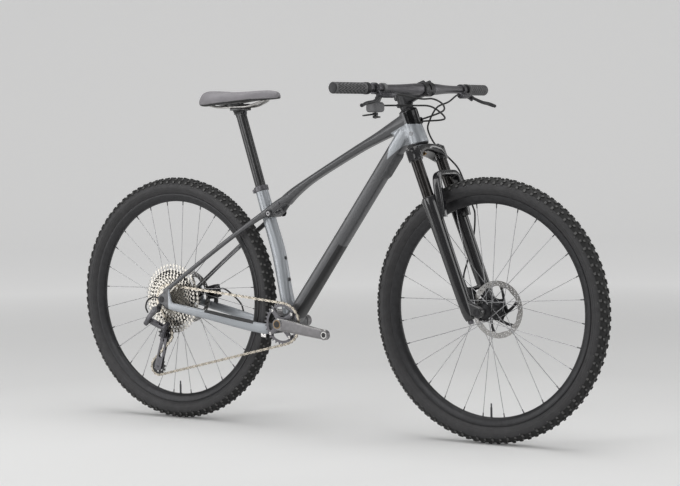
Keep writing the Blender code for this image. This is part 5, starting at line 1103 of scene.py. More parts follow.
def make_guards():
    form = Form()
    path, halves = chain_stay_line(RIGHT)
    strip(form, path[2:5], halves[2:5], 0.0002, 0.0025, 62)
    form.done("chainstay_pad", "frame", GUARD_RUBBER, "chainstay_guard", "rubber", sharp=50)
    form = Form()
    path = [down(DOWN_TUBE_REACH - along) for along in (0.152, 0.110, 0.068)]
    strip(form, path, [(0.0225, 0.0215)] * 3, 0.0000, 0.0036, 62, 24, 3.0, 30, -1)
    form.done("down_tube_pad", "frame", BUMPER_RUBBER, "downtube_bumper", "rubber", sharp=50)


make_frame()
make_frame_details()
make_bearings()
make_collar()
make_pivot()
make_dropout_fittings()
make_rear_caliper()
make_guards()


# Wheels
RIM_NOSE = 0.295
RIM_EDGE = 0.3185
RIM_HALF = 0.0158
SPOKES = 28
SPOKE_RADIUS = 0.00095
TREAD_PITCHES = 92
CASING_CENTRE = 0.3395
CASING_HALF = 0.0258
CASING_RISE = 0.0250
KNOB_HEIGHT = 0.0034
TREAD_SPAN = 1.14
ROTOR_RADIUS = 0.080
FRONT_ROTOR_Y = 0.0395
REAR_ROTOR_Y = 0.0520
FRONT_HUB_HALF = 0.055
REAR_HUB_HALF = 0.074


def casing(angle):
    """(y, radius) of the tyre's casing at an angle round its section, 0 at the crown."""
    return CASING_HALF * math.sin(angle), CASING_CENTRE + CASING_RISE * math.cos(angle)


def casing_normal(angle):
    way = Vector((math.sin(angle) / CASING_HALF, math.cos(angle) / CASING_RISE))
    return way.normalized()


def wheel_point(centre, turn, y, radius):
    return centre + Vector((radius * math.sin(turn), y, radius * math.cos(turn)))


def knob(form, centre, turn, angle, half_round, half_over, height, lean=0.0):
    """One tread block: a slightly tapered pad with eased edges, standing on the casing."""
    rings = []
    for grow, up in ((1.10, -0.0008), (1.0, 0.55 * height), (0.95, 0.86 * height), (0.84, height)):
        ring = []
        for a, b in ((-1, -1), (-0.2, -1), (1, -0.8), (1, 0.8), (-0.2, 1), (-1, 1)):
            at = angle + b * half_over * grow / CASING_RISE
            y, radius = casing(at)
            normal = casing_normal(at)
            twist = turn + (a * half_round * grow + lean * b * half_over) / 0.36
            ring.append(wheel_point(centre, twist, y + normal.x * up, radius + normal.y * up))
        rings.append(ring)
    # The top cap of each knob takes the paler rubber: a painted highlight.
    form.skin(rings)[-1].material_index = 1


def make_tread(name, body, centre):
    form = Form()
    pitch = 2 * math.pi / TREAD_PITCHES
    for step in range(TREAD_PITCHES):
        turn = pitch * step
        odd = step % 2
        for side in (RIGHT, LEFT):
            lean = 0.25 * side
            inner = 0.20 if odd else 0.27
            knob(form, centre, turn + 0.25 * pitch * (side > 0), side * inner, 0.0036, 0.0032, KNOB_HEIGHT, lean)
            knob(form, centre, turn + 0.5 * pitch, side * (0.60 if odd else 0.66), 0.0034, 0.0032, KNOB_HEIGHT - 0.0004, -lean)
            knob(form, centre, turn + 0.02, side * 1.02, 0.0040, 0.0044 if odd else 0.0034, 0.0030)
            if odd:
                knob(form, centre, turn + 0.55 * pitch, side * 1.30, 0.0026, 0.0016, 0.0012)
    form.done(name, body, [TREAD, TREAD_TOP_HIGHLIGHT], slot="tyre", sharp=30)


def make_casing(name, body, centre, replaced):
    profile = []
    last = math.radians(128)
    for step in range(41):
        y, radius = casing(-last + 2 * last * step / 40)
        profile.append((radius, y))
    bead = [(0.3195, 0.0146), (0.3180, 0.0136), (0.3130, 0.0128)]
    profile += bead
    profile += [(radius, -y) for radius, y in bead[::-1]]
    form = Form()
    form.turned(profile, centre, Y, 160)
    # Faces on the casing's crown, between the knobs, take the darker rubber: painted shade.
    for face in form.bm.faces:
        middle = face.calc_center_median() - centre
        if math.hypot(middle.x, middle.z) > casing(TREAD_SPAN)[1]:
            face.material_index = 1
    for side in (RIGHT, LEFT):
        for angle, size in ((1.72, 0.0006), (1.98, 0.0005)):
            y, radius = casing(angle)
            ring = [(radius - size, side * y), (radius, side * (y + size)), (radius + size, side * y), (radius, side * (y - size))]
            form.turned(ring, centre, Y, 160)
    form.done(name, body, [sidewall_rubber(centre), TREAD_GAP_SHADE], replaced, "tyre", sharp=40)


def make_rim(name, body, centre, replaced):
    half = [
        (RIM_NOSE - 0.0004, 0.0),
        (RIM_NOSE - 0.0002, 0.0040),
        (RIM_NOSE + 0.0018, 0.0078),
        (0.3050, 0.0122),
        (0.3130, 0.0150),
        (0.3172, 0.0158),
        (0.3184, 0.0156),
        (0.3188, 0.0148),
        (0.3184, 0.0139),
        (0.3135, 0.0134),
        (0.3115, 0.0100),
    ]
    profile = half + [(radius, -y) for radius, y in half[:0:-1]]
    form = Form()
    form.turned(profile, centre, Y, 160)
    form.done(name, body, SATIN_BLACK, replaced, "satin_black", sharp=40)
    valve = Form()
    foot = centre - Vector((0, 0, RIM_NOSE + 0.003))
    valve.turned(
        [(0, 0.0), (0.0042, 0.0), (0.0042, 0.0042), (0.0030, 0.0050), (0.0030, 0.030), (0.0022, 0.0320), (0.0022, 0.0400), (0.0018, 0.0420), (0, 0.0420)],
        foot,
        Z,
        24,
    )
    valve.done(name + "_valve", body, BOLT_STEEL, slot="satin_black")


def spoke_ends(centre, flange_y, flange_radius, index, lean):
    first = math.radians(-90 + 180 / 64) + math.radians(5.0)
    rim_angle = first + 2 * math.pi * index / SPOKES
    hub_angle = rim_angle + lean * 3 * 4 * math.pi / SPOKES
    start = centre + Vector((flange_radius * math.cos(hub_angle), flange_y, flange_radius * math.sin(hub_angle)))
    rim_y = math.copysign(0.002, flange_y)
    end = centre + Vector((RIM_NOSE * math.cos(rim_angle), rim_y, RIM_NOSE * math.sin(rim_angle)))
    return start, end


def make_spokes(name, body, centre, flanges, flange_radius):
    form = Form()
    nipples = Form()
    for index in range(SPOKES):
        lean = 1 if index // 2 % 2 else -1
        flange_y = flanges[index % 2]
        out = math.copysign(1.0, flange_y)
        face = flange_y + (0.0016 if lean == 1 else -0.0016) * 1.0
        start, end = spoke_ends(centre, face, flange_radius - 0.003, index, lean)
        way = (end - start).normalized()
        form.rod(start, end - 0.006 * way, SPOKE_RADIUS, sides=10)
        head = start + (0.0009 if face * out > flange_y * out else -0.0009) * out * Y
        form.rod(start - (head - start) * 3.2, head, 0.0011, 0.0018, sides=12)
        nipples.turned([(0, 0), (0.0013, 0), (0.0016, 0.0006), (0.0016, 0.0085), (0.0020, 0.0092), (0.0020, 0.014), (0, 0.014)], end - 0.0115 * way, way, 12)
    form.done(name, body, SPOKE_STEEL, slot="steel", sharp=50)
    nipples.done(name + "_nipples", body, BOLT_STEEL, slot="satin_black", sharp=30)


def flange(form, centre, y, radius, half=0.0017):
    """A spoke flange with its ring of spoke holes."""
    holes = [circle(0.0014, 10, (radius - 0.003) * math.cos(2 * math.pi * k / 14), (radius - 0.003) * math.sin(2 * math.pi * k / 14)) for k in range(14)]
    form.side_plate([circle(radius, 56), *holes], 2 * half, centre, y, 0.0005)


def make_front_hub():
    form = Form()
    half = FRONT_HUB_HALF
    profile = [
        (0.0078, -half),
        (0.0113, -half),
        (0.0120, -half + 0.0007),
        (0.0120, -0.0410),
        (0.0150, -0.0395),
        (0.0200, -0.0352),
        (0.0205, -0.0310),
        (0.0165, -0.0262),
        (0.0150, -0.0180),
        (0.0150, 0.0110),
        (0.0168, 0.0200),
        (0.0210, 0.0240),
        (0.0205, 0.0280),
        (0.0165, 0.0305),
        (0.0158, FRONT_ROTOR_Y - 0.0015),
        (0.0158, FRONT_ROTOR_Y + 0.0012),
        (0.0120, FRONT_ROTOR_Y + 0.0030),
        (0.0120, half - 0.0007),
        (0.0113, half),
        (0.0078, half),
    ]
    form.turned(profile, FRONT_AXLE, Y, 56)
    for y in (0.0260, -0.0330):
        flange(form, FRONT_AXLE, y, 0.0280)
    form.done("front_hub_shell", "front_wheel", SATIN_BLACK, "front_hub", "steel")


def make_rear_hub():
    form = Form()
    half = REAR_HUB_HALF
    profile = [
        (0.0063, -half),
        (0.0080, -half),
        (0.0085, -half + 0.0006),
        (0.0085, -0.0228),
        (0.0205, -0.0224),
        (0.0212, -0.0170),
        (0.0180, -0.0130),
        (0.0160, -0.0060),
        (0.0160, 0.0200),
        (0.0178, 0.0280),
        (0.0212, 0.0318),
        (0.0207, 0.0362),
        (0.0165, 0.0385),
        (0.0158, REAR_ROTOR_Y - 0.0015),
        (0.0158, REAR_ROTOR_Y + 0.0012),
        (0.0110, REAR_ROTOR_Y + 0.0030),
        (0.0110, half - 0.0006),
        (0.0104, half),
        (0.0063, half),
    ]
    form.turned(profile, REAR_AXLE, Y, 56)
    for y in (0.0340, -0.0199):
        flange(form, REAR_AXLE, y, 0.0280)
    form.done("rear_hub_shell", "rear_wheel", SATIN_BLACK, "rear_hub", "steel")


def polar(points, turn=0.0):
    """Loops given as (radius, degrees), as plain points."""
    return [(r * math.cos(math.radians(a) + turn), r * math.sin(math.radians(a) + turn)) for r, a in points]


def make_rotor(name, body, centre, y, replaced):
    """A rubbing ring drilled in rows, riveted to a slanted-arm carrier held by a splined lockring."""
    track = Form()
    inner = []
    for step in range(144):
        angle = 2 * math.pi * step / 144
        radius = 0.0645 + 0.0012 * math.cos(12 * angle)
        inner.append((radius * math.cos(angle), radius * math.sin(angle)))
    outlines = [circle(ROTOR_RADIUS, 144), inner]
    for step in range(30):
        base = 12 * step
        for radius, shift, size in ((0.0690, 0.0, 0.0016), (0.0730, 4.0, 0.0018), (0.0768, 8.0, 0.0014)):
            angle = math.radians(base + shift)
            outlines.append(circle(size, 10, radius * math.cos(angle), radius * math.sin(angle)))
    track.side_plate(outlines, 0.0018, centre, y, 0.0002)
    track.done(name + "_track", body, ROTOR_STEEL, replaced, "steel")
    carrier = Form()
    outer = []
    for arm in range(6):
        start = 60 * arm
        outer += [(0.0300, start + 16), (0.0305, start + 30), (0.0345, start + 42), (0.0480, start + 62)]
        outer += [(0.0655, start + 75), (0.0668, start + 79), (0.0655, start + 84), (0.0480, start + 73), (0.0345, start + 62)]
    loop = sorted_loop(outer)
    carrier.side_plate([loop, circle(0.0170, 48)], 0.0020, centre, y, 0.0003)
    carrier.done(name + "_carrier", body, SATIN_BLACK, slot="satin_black")
    rivets = Form()
    for arm in range(6):
        angle = math.radians(60 * arm + 79)
        at = Vector((centre.x + 0.0650 * math.cos(angle), y, centre.z + 0.0650 * math.sin(angle)))
        rivets.across(at, y - 0.0018, y + 0.0018, 0.0032, 20, 0.0004)
    rivets.turned([(0.0120, 0.0012), (0.0185, 0.0012), (0.0185, 0.0024), (0.0178, 0.0032), (0.0120, 0.0032)], Vector((centre.x, y, centre.z)), Y, 48)
    rivets.done(name + "_rivets", body, BRIGHT_BOLT, slot="steel")


def sorted_loop(points):
    """An arm-by-arm outline, given as (radius, degrees), joined into one loop."""
    return polar(points)


for wheel, centre in (("front", FRONT_AXLE), ("rear", REAR_AXLE)):
    make_casing(wheel + "_casing", wheel + "_wheel", centre, wheel + "_tyre")
    make_tread(wheel + "_tread", wheel + "_wheel", centre)
    make_rim(wheel + "_rim_hoop", wheel + "_wheel", centre, wheel + "_rim")
make_front_hub()
make_rear_hub()
make_spokes("front_spokes", "front_wheel", FRONT_AXLE, (0.0260, -0.0330), 0.0280)
make_spokes("rear_spokes", "rear_wheel", REAR_AXLE, (0.0340, -0.0199), 0.0280)
make_rotor("front_disc", "front_wheel", FRONT_AXLE, FRONT_ROTOR_Y, "front_rotor")
make_rotor("rear_disc", "rear_wheel", REAR_AXLE, REAR_ROTOR_Y, "rear_rotor")


# Drivetrain
CHAIN_PITCH = 0.0127
CHAIN_Y = -0.049
CHAINRING_TEETH = 30
COG_TEETH = (10, 12, 14, 16, 18, 21, 24, 28, 33, 39, 45, 51)
DRIVEN_COG = 5
COG_STEP = 0.0036
PULLEY_TEETH = 13
GUIDE_PULLEY_AT = (-0.0140, -0.1096)
CAGE_LENGTH = 0.1034
CAGE_ANGLE = 16.6
CRANK_LENGTH = 0.175
CRANK_ANGLE = -7.5
CRANK_WAY = Vector((math.cos(math.radians(CRANK_ANGLE)), 0, math.sin(math.radians(CRANK_ANGLE))))


def pitch_radius(teeth):
    return CHAIN_PITCH / (2 * math.sin(math.pi / teeth))


def sprockets(cage_angle):
    """(centre, teeth, turn) in the chain's order. turn is 1 where the chain goes round clockwise."""
    guide = Vector((REAR_AXLE.x + GUIDE_PULLEY_AT[0], REAR_AXLE.z + GUIDE_PULLEY_AT[1]))
    swing = math.radians(cage_angle)
    tension = guide - CAGE_LENGTH * Vector((math.sin(swing), math.cos(swing)))
    return [
        (Vector((BB.x, BB.z)), CHAINRING_TEETH, 1),
        (tension, PULLEY_TEETH, 1),
        (guide, PULLEY_TEETH, -1),
        (Vector((REAR_AXLE.x, REAR_AXLE.z)), COG_TEETH[DRIVEN_COG], 1),
    ]


def chain_runs(wheels):
    """The straight runs between the sprockets, each (start, end, direction)."""
    runs = []
    for index, (centre, teeth, turn) in enumerate(wheels):
        to_centre, to_teeth, to_turn = wheels[(index + 1) % len(wheels)]
        gap = to_centre - centre
        offset = to_turn * pitch_radius(to_teeth) - turn * pitch_radius(teeth)
        angle = math.atan2(gap.y, gap.x) + math.asin(offset / gap.length)
        way = Vector((math.cos(angle), math.sin(angle)))
        right = Vector((way.y, -way.x))
        start = centre - turn * pitch_radius(teeth) * right
        end = to_centre - to_turn * pitch_radius(to_teeth) * right
        runs.append((start, end, way))
    return runs


def chain_pieces(wheels):
    """The loop as arcs and runs, each with its length counted in links."""
    runs = chain_runs(wheels)
    pieces = []
    for index, (centre, teeth, turn) in enumerate(wheels):
        arrive = runs[index - 1][1] - centre
        leave = runs[index][0] - centre
        from_angle = math.atan2(arrive.y, arrive.x)
        sweep = turn * (from_angle - math.atan2(leave.y, leave.x)) % (2 * math.pi)
        pieces.append(("arc", sweep * teeth / (2 * math.pi), centre, teeth, turn, from_angle))
        start, end, way = runs[index]
        pieces.append(("run", (end - start).length / CHAIN_PITCH, start, way))
    return pieces


def link_count(cage_angle):
    return sum(piece[1] for piece in chain_pieces(sprockets(cage_angle)))


def settled_cage_angle():
    """The angle near the photographed one at which the cage takes up an even number of links."""
    links = 2 * round(link_count(CAGE_ANGLE) / 2)
    low, high = CAGE_ANGLE - 30, CAGE_ANGLE + 30
    for _ in range(60):
        middle = (low + high) / 2
        if link_count(middle) < links:
            low = middle
        else:
            high = middle
    return middle, links


CAGE_REST, LINKS = settled_cage_angle()
WHEELS = sprockets(CAGE_REST)
LOOP = chain_pieces(WHEELS)
CHAINRING_LOOP, TENSION_LOOP, GUIDE_LOOP, COG_LOOP = range(4)
GUIDE_AXIS = Vector((WHEELS[GUIDE_LOOP][0].x, CHAIN_Y, WHEELS[GUIDE_LOOP][0].y))
TENSION_AXIS = Vector((WHEELS[TENSION_LOOP][0].x, CHAIN_Y, WHEELS[TENSION_LOOP][0].y))


def on_loop(links):
    """The place at a distance along the loop, in links."""
    links %= LINKS
    for piece in LOOP:
        if links <= piece[1] + 1e-9:
            break
        links -= piece[1]
    if piece[0] == "run":
        return piece[2] + links * CHAIN_PITCH * piece[3]
    _, _, centre, teeth, turn, from_angle = piece
    angle = from_angle - turn * links * 2 * math.pi / teeth
    return centre + pitch_radius(teeth) * Vector((math.cos(angle), math.sin(angle)))


def tooth_phase(index):
    """The angle of a roller on a sprocket, so that its gullets meet the chain."""
    before = sum(piece[1] for piece in LOOP[: 2 * index])
    _, _, _, teeth, turn, from_angle = LOOP[2 * index]
    return from_angle - turn * (math.ceil(before) - before) * 2 * math.pi / teeth


def toothed(teeth, phase=0.0, tip=0.0026):
    """A sprocket's outline: rounded gullets with a tooth between each two."""
    pitch = pitch_radius(teeth)
    half = CHAIN_PITCH / 2
    shape = ((-0.0040, 0.0), (-0.0033, 0.0022), (-0.0012, 0.0037), (tip - 0.0006, 0.0051), (tip, 0.0056))
    outline = []
    for tooth in range(teeth):
        base = phase + 2 * math.pi * tooth / teeth
        step = 2 * math.pi / teeth
        for up, out in shape:
            angle = base + step * out / CHAIN_PITCH
            outline.append(((pitch + up) * math.cos(angle), (pitch + up) * math.sin(angle)))
        for up, out in shape[:0:-1]:
            angle = base + step * (2 * half - out) / CHAIN_PITCH
            outline.append(((pitch + up) * math.cos(angle), (pitch + up) * math.sin(angle)))
    return outline


def ring_of_holes(count, radius, size, turn=0.0, sides=14):
    holes = []
    for step in range(count):
        angle = turn + 2 * math.pi * step / count
        holes.append(circle(size, sides, radius * math.cos(angle), radius * math.sin(angle)))
    return holes


def ring_of_slots(radius, half, turn):
    """Rounded slots along a ring."""
    count = max(7, int(2 * math.pi * radius / SLOT_PITCH))
    reach = max(0.0, SLOT_LENGTH / 2 - half) / radius
    slots = []
    for step in range(count):
        middle = turn + 2 * math.pi * step / count
        ends = [(radius * math.cos(middle + way * reach), radius * math.sin(middle + way * reach), half) for way in (-1, 1)]
        slots.append(outline_round(ends, 14))
    return slots


def cog_y(index):
    return CHAIN_Y + (index - DRIVEN_COG) * COG_STEP


SLOT_PITCH = 0.0122
SLOT_LENGTH = 0.0090


def make_cassette():
    cogs = Form()
    for index, teeth in enumerate(COG_TEETH):
        phase = tooth_phase(COG_LOOP) if index == DRIVEN_COG else 0.11 * index
        outlines = [toothed(teeth, phase)]
        if index:
            low = pitch_radius(COG_TEETH[index - 1]) + 0.0012
            high = pitch_radius(teeth) - 0.0040
            if high - low > 0.0020:
                outlines += ring_of_slots((low + high) / 2, min(0.0034, 0.48 * (high - low)), 0.05 * index)
        outlines.append(circle(0.0124, 32))
        cogs.side_plate(outlines, 0.0017, REAR_AXLE, cog_y(index), 0.0003)
    cogs.done("cassette_cogs", "cassette", COG_STEEL, "cassette", "chain_steel")
    # A dark turned core between the cogs, reaching almost to their teeth: partly the real spacers and carrier, partly a
    # dark fill standing in for the shade between the cogs.
    core = Form()
    profile = [(0.0120, cog_y(0) - 0.0002)]
    for index, teeth in enumerate(COG_TEETH[:-1]):
        radius = max(0.0135, pitch_radius(teeth) - 0.0042)
        profile += [(radius, cog_y(index) + 0.0004), (radius, cog_y(index + 1) - 0.0004)]
    profile += [(0.0120, cog_y(len(COG_TEETH) - 1))]
    core.turned(profile, REAR_AXLE, Y, 56)
    core.done("cassette_core_and_shade", "cassette", SATIN_BLACK, slot="grey_alloy")
    hub = Form()
    hub.turned([(0.0086, -0.0600), (0.0164, -0.0600), (0.0164, -0.0234), (0.0086, -0.0234)], REAR_AXLE, Y, 48)
    lock = cog_y(0) - 0.0009
    hub.turned(
        [(0.0092, lock), (0.0150, lock), (0.0150, lock - 0.0010), (0.0140, lock - 0.0016), (0.0092, lock - 0.0016)],
        REAR_AXLE,
        Y,
        48,
    )
    hub.done("freehub_body", "cassette", SATIN_BLACK, "freehub", "grey_alloy")


def link_ring(start, end, y, waist, grow):
    """The outline of one side plate: round ends drawn in between the pins."""
    way = (end - start).normalized()
    up = Vector((-way.y, way.x))
    length = (end - start).length
    radius = 0.0041 * grow
    points = []
    for centre, turn in ((end, 0.0), (start, math.pi)):
        for step in range(9):
            angle = turn + math.radians(-112 + 28 * step)
            points.append(centre + radius * (math.cos(angle) * way + math.sin(angle) * up))
        side = 1 if turn == 0.0 else -1
        points.append(start + 0.5 * length * way + side * waist * grow * up)
    return [Vector((p.x, y, p.y)) for p in points]


def make_chain():
    plates, pins = Form(), Form()
    for link in range(LINKS):
        start, end = on_loop(link), on_loop(link + 1)
        inner, outer, waist = (0.00185, 0.00265, 0.0021) if link % 2 else (0.00105, 0.00180, 0.0022)
        plates.slot = 0 if link % 2 else 1
        for side in (RIGHT, LEFT):
            layers = ((inner, 1.0), (outer - 0.0002, 1.0), (outer, 0.93))
            plates.skin([link_ring(start, end, CHAIN_Y + side * y, waist, grow) for y, grow in layers])
        at = Vector((start.x, CHAIN_Y, start.y))
        pins.across(at, CHAIN_Y - 0.0031, CHAIN_Y + 0.0031, 0.0017, 12, 0.0003)
        pins.across(at, CHAIN_Y - 0.0010, CHAIN_Y + 0.0010, 0.0037, 16)
    plates.done("chain_plates", "frame", [CHAIN_STEEL, CHAIN_INNER], "chain", "chain_steel", sharp=30)
    pins.done("chain_pins", "frame", BOLT_STEEL, slot="chain_steel", sharp=30)


ARM_INNER_Y = 0.0680
ARM_OUTER_Y = 0.0800
ARM_HALF = 0.0065
EYE_RADIUS = 0.0145
EYE_HOLE = 0.0071
BOSS_FROM = BB_SHELL_HALF + 0.0043
BOSS_TO = 0.0765


def make_crank_arm(name, side, replaced):
    way = CRANK_WAY * -side
    cross = Vector((-way.z, 0, way.x))
    eye = BB + CRANK_LENGTH * way
    form = Form()
    path = [
        BB + side * ARM_INNER_Y * Y,
        BB + 0.35 * CRANK_LENGTH * way + side * (ARM_INNER_Y + 0.002) * Y,
        BB + 0.75 * CRANK_LENGTH * way + side * (ARM_OUTER_Y - 0.003) * Y,
        eye + side * ARM_OUTER_Y * Y,
    ]
    halves = [(ARM_HALF, 0.0180), (ARM_HALF, 0.0170), (ARM_HALF, 0.0150), (ARM_HALF, 0.0138)]
    form.tube(path, halves, sides=48, fullness=5.5, count=40)
    form.across(BB, side * BOSS_FROM, side * BOSS_TO, 0.0170, 48, 0.0016)
    y_in, y_out = side * (ARM_OUTER_Y - ARM_HALF), side * (ARM_OUTER_Y + ARM_HALF)
    form.across(eye, y_in, y_out, EYE_RADIUS, 48, 0.0012)
    form.bm.normal_update()
    for face in form.bm.faces:
        slant = abs(face.normal.dot(Y))
        if 0.35 < slant < 0.93 and abs(face.normal.dot(cross)) > 0.2:
            face.material_index = 1
    form.done(name, "crank", [CRANK_ALLOY, POLISHED], replaced, "grey_alloy", sharp=40)
    thread = Form()
    at = eye + y_out * Y
    thread.turned([(EYE_HOLE, 0.0003), (0.0098, 0.0003), (0.0098, -0.004), (EYE_HOLE, -0.004)], at, side * Y, 40)
    thread.slot = 1
    thread.turned([(0, -0.0030), (EYE_HOLE, -0.0030), (EYE_HOLE, 0.0002), (EYE_HOLE - 0.0012, 0.00015), (0, 0.0001)], at, side * Y, 40)
    thread.done(name + "_insert", "crank", [BRIGHT_BOLT, BLACK_PLASTIC], slot="steel")
    cap = Form()
    at = BB + side * BOSS_TO * Y
    cap.turned([(0.0098, -0.006), (0.0124, -0.006), (0.0124, 0.0002), (0.0118, 0.0008), (0.0104, 0.0008), (0.0098, 0.0)], at, side * Y, 48)
    cap.slot = 1
    cap.turned([(0, -0.0010), (0.0100, -0.0010), (0.0100, 0.0004), (0, 0.0004)], at, side * Y, 32)
    cap.done(name + "_cap", "crank", [BRONZE, BLACK_PLASTIC], slot="grey_alloy")


def make_spider():
    form = Form()
    bolts = Form()
    middle = BB - (BOSS_FROM + 0.0031) * Y
    for step in range(4):
        turn = math.radians(CRANK_ANGLE + 45 + 90 * step)
        way = Vector((math.cos(turn), 0, math.sin(turn)))
        cross = Vector((-way.z, 0, way.x))
        path = [middle + reach * way for reach in (0.006, 0.020, 0.034, 0.0515)]
        halves = [(0.0150, 0.0028), (0.0092, 0.0028), (0.0070, 0.0027), (0.0066, 0.0026)]
        form.tube(path, halves, sides=32, fullness=6.0, side_way=cross, count=16)
        at = middle + 0.0485 * way
        bolts.bolt(at - 0.0022 * Y, -Y, 0.0045, 0.0022, 0.55)
    form.across(BB, -BOSS_FROM - 0.0002, -BOSS_FROM - 0.0075, 0.0200, 48, 0.0010)
    form.done("crank_spider", "crank", MECH_GREY, slot="grey_alloy", sharp=40)
    bolts.done("chainring_bolts", "crank", BRIGHT_BOLT, slot="steel")


def make_chainring():
    form = Form()
    inner = []
    for step in range(120):
        angle = 2 * math.pi * step / 120
        lobe = max(0.0, math.cos(4 * (angle - math.radians(CRANK_ANGLE + 45)))) ** 3
        radius = 0.0500 - 0.0060 * lobe
        inner.append((radius * math.cos(angle), radius * math.sin(angle)))
    form.side_plate([toothed(CHAINRING_TEETH, tooth_phase(CHAINRING_LOOP)), inner], 0.0019, BB, CHAIN_Y, 0.0003)
    form.bm.normal_update()
    for face in form.bm.faces:
        centre = face.calc_center_median()
        if math.hypot(centre.x - BB.x, centre.z - BB.z) > pitch_radius(CHAINRING_TEETH) - 0.0045 and abs(face.normal.y) < 0.9:
            face.material_index = 1
    form.done("chainring_plate", "crank", [MECH_GREY, BRIGHT_BOLT], "chainring", "satin_black")


LINK_WAY = Vector((0.94, 0, -0.342)).normalized()
TRAVEL_WAY = Vector((-0.279, 0.58, -0.766)).normalized()
LINK_AXIS = LINK_WAY.cross(TRAVEL_WAY).normalized()
LINK_LENGTH = 0.060
LINK_HALF = 0.007
LINK_TOP = REAR_AXLE + Vector((-0.053, -0.078, -0.065))
LINK_FOOT = LINK_TOP + LINK_LENGTH * LINK_WAY
CAGE_GAP = 0.0031
CAGE_PLATE = 0.0014
KNUCKLE_FACE = CHAIN_Y - CAGE_GAP - CAGE_PLATE - 0.0006


def make_upper_knuckle():
    """The derailleur's fixed half: its boss on the hanger and the arm back to the link's pivot."""
    form = Form()
    face = HANGER_Y - HANGER_HALF - 0.0003
    form.across(HANGER_BOLT, face, face - 0.0135, 0.0105, 48, 0.0012)
    form.across(HANGER_BOLT, face + 0.002, HANGER_Y + HANGER_HALF, 0.0044, 24)
    start = HANGER_BOLT + (face - 0.008) * Y
    pad = LINK_TOP - 0.0178 * LINK_AXIS
    form.tube([start, start.lerp(pad, 0.5) - 0.0045 * Y, pad], [(0.0056, 0.0092), (0.0048, 0.0076), (0.0040, 0.0062)], 28, 3.2, Y, 18)
    form.rod(LINK_TOP - 0.0200 * LINK_AXIS, LINK_TOP - (LINK_HALF + 0.0006) * LINK_AXIS, 0.0074, sides=40, chamfer=0.0010)
    form.done("derailleur_upper", "frame", MECH_GREY, "derailleur_knuckle", "satin_black")
    bolts = Form()
    bolts.bolt(HANGER_BOLT + (face - 0.0135) * Y, -Y, 0.0068, 0.0010, 0.55)
    bolts.bolt(LINK_TOP - 0.0198 * LINK_AXIS, -LINK_AXIS, 0.0042, 0.0010)
    bolts.done("derailleur_upper_bolts", "frame", BOLT_STEEL, slot="satin_black")


def make_link():
    form = Form()
    for end in (LINK_TOP, LINK_FOOT):
        form.rod(end - LINK_HALF * LINK_AXIS, end + LINK_HALF * LINK_AXIS, 0.0069, sides=40, chamfer=0.0008)
    middle = (LINK_TOP + LINK_FOOT) / 2
    for side in (-1, 1):
        path = [point + side * 0.0049 * LINK_AXIS for point in (LINK_TOP, middle, LINK_FOOT)]
        form.tube(path, [(0.0019, 0.0066), (0.0019, 0.0086), (0.0019, 0.0066)], 32, 5.0, LINK_AXIS, 16)
    form.slot = 1
    core = [LINK_TOP.lerp(LINK_FOOT, share) for share in (0.14, 0.5, 0.86)]
    form.tube(core, [(0.0036, 0.0058)] * 3, 24, 3.0, LINK_AXIS, 12)
    form.slot = 0
    out = LINK_WAY.cross(LINK_AXIS).normalized()
    for face in (-1, 1):
        form.block(middle + face * 0.0083 * out, (0.024, 0.0080, 0.0016), LINK_WAY, out, 0.0006)
    form.done("derailleur_arm", "derailleur_link", [MECH_GREY, MECH_DARK], "derailleur_link", "satin_black", sharp=40)


def make_lower_knuckle():
    form = Form()
    form.rod(LINK_FOOT + (LINK_HALF + 0.0006) * LINK_AXIS, LINK_FOOT + 0.0228 * LINK_AXIS, 0.0074, sides=40, chamfer=0.0010)
    outer = Vector((GUIDE_AXIS.x, KNUCKLE_FACE, GUIDE_AXIS.z))
    form.turned(
        [(0, 0.0), (0.0115, 0.0), (0.0115, 0.0092), (0.0108, 0.0100), (0.0098, 0.0104), (0.0098, 0.0132), (0.0088, 0.0140), (0, 0.0140)],
        outer,
        -Y,
        48,
    )
    middle = GUIDE_AXIS + (KNUCKLE_FACE - 0.0075 - CHAIN_Y) * Y
    end = LINK_FOOT + 0.0192 * LINK_AXIS
    form.tube([middle, middle.lerp(end, 0.5), end], [(0.0065, 0.0082), (0.0054, 0.0066), (0.0048, 0.0058)], 28, 3.0, Y, 16)
    form.done("derailleur_lower", "derailleur_p_knuckle", MECH_DARK, "derailleur_p_knuckle", "satin_black")
    bolt = Form()
    bolt.bolt(outer - 0.0138 * Y, -Y, 0.0052, 0.0010, 0.55)
    bolt.done("derailleur_lower_bolt", "derailleur_p_knuckle", BOLT_STEEL, slot="satin_black")


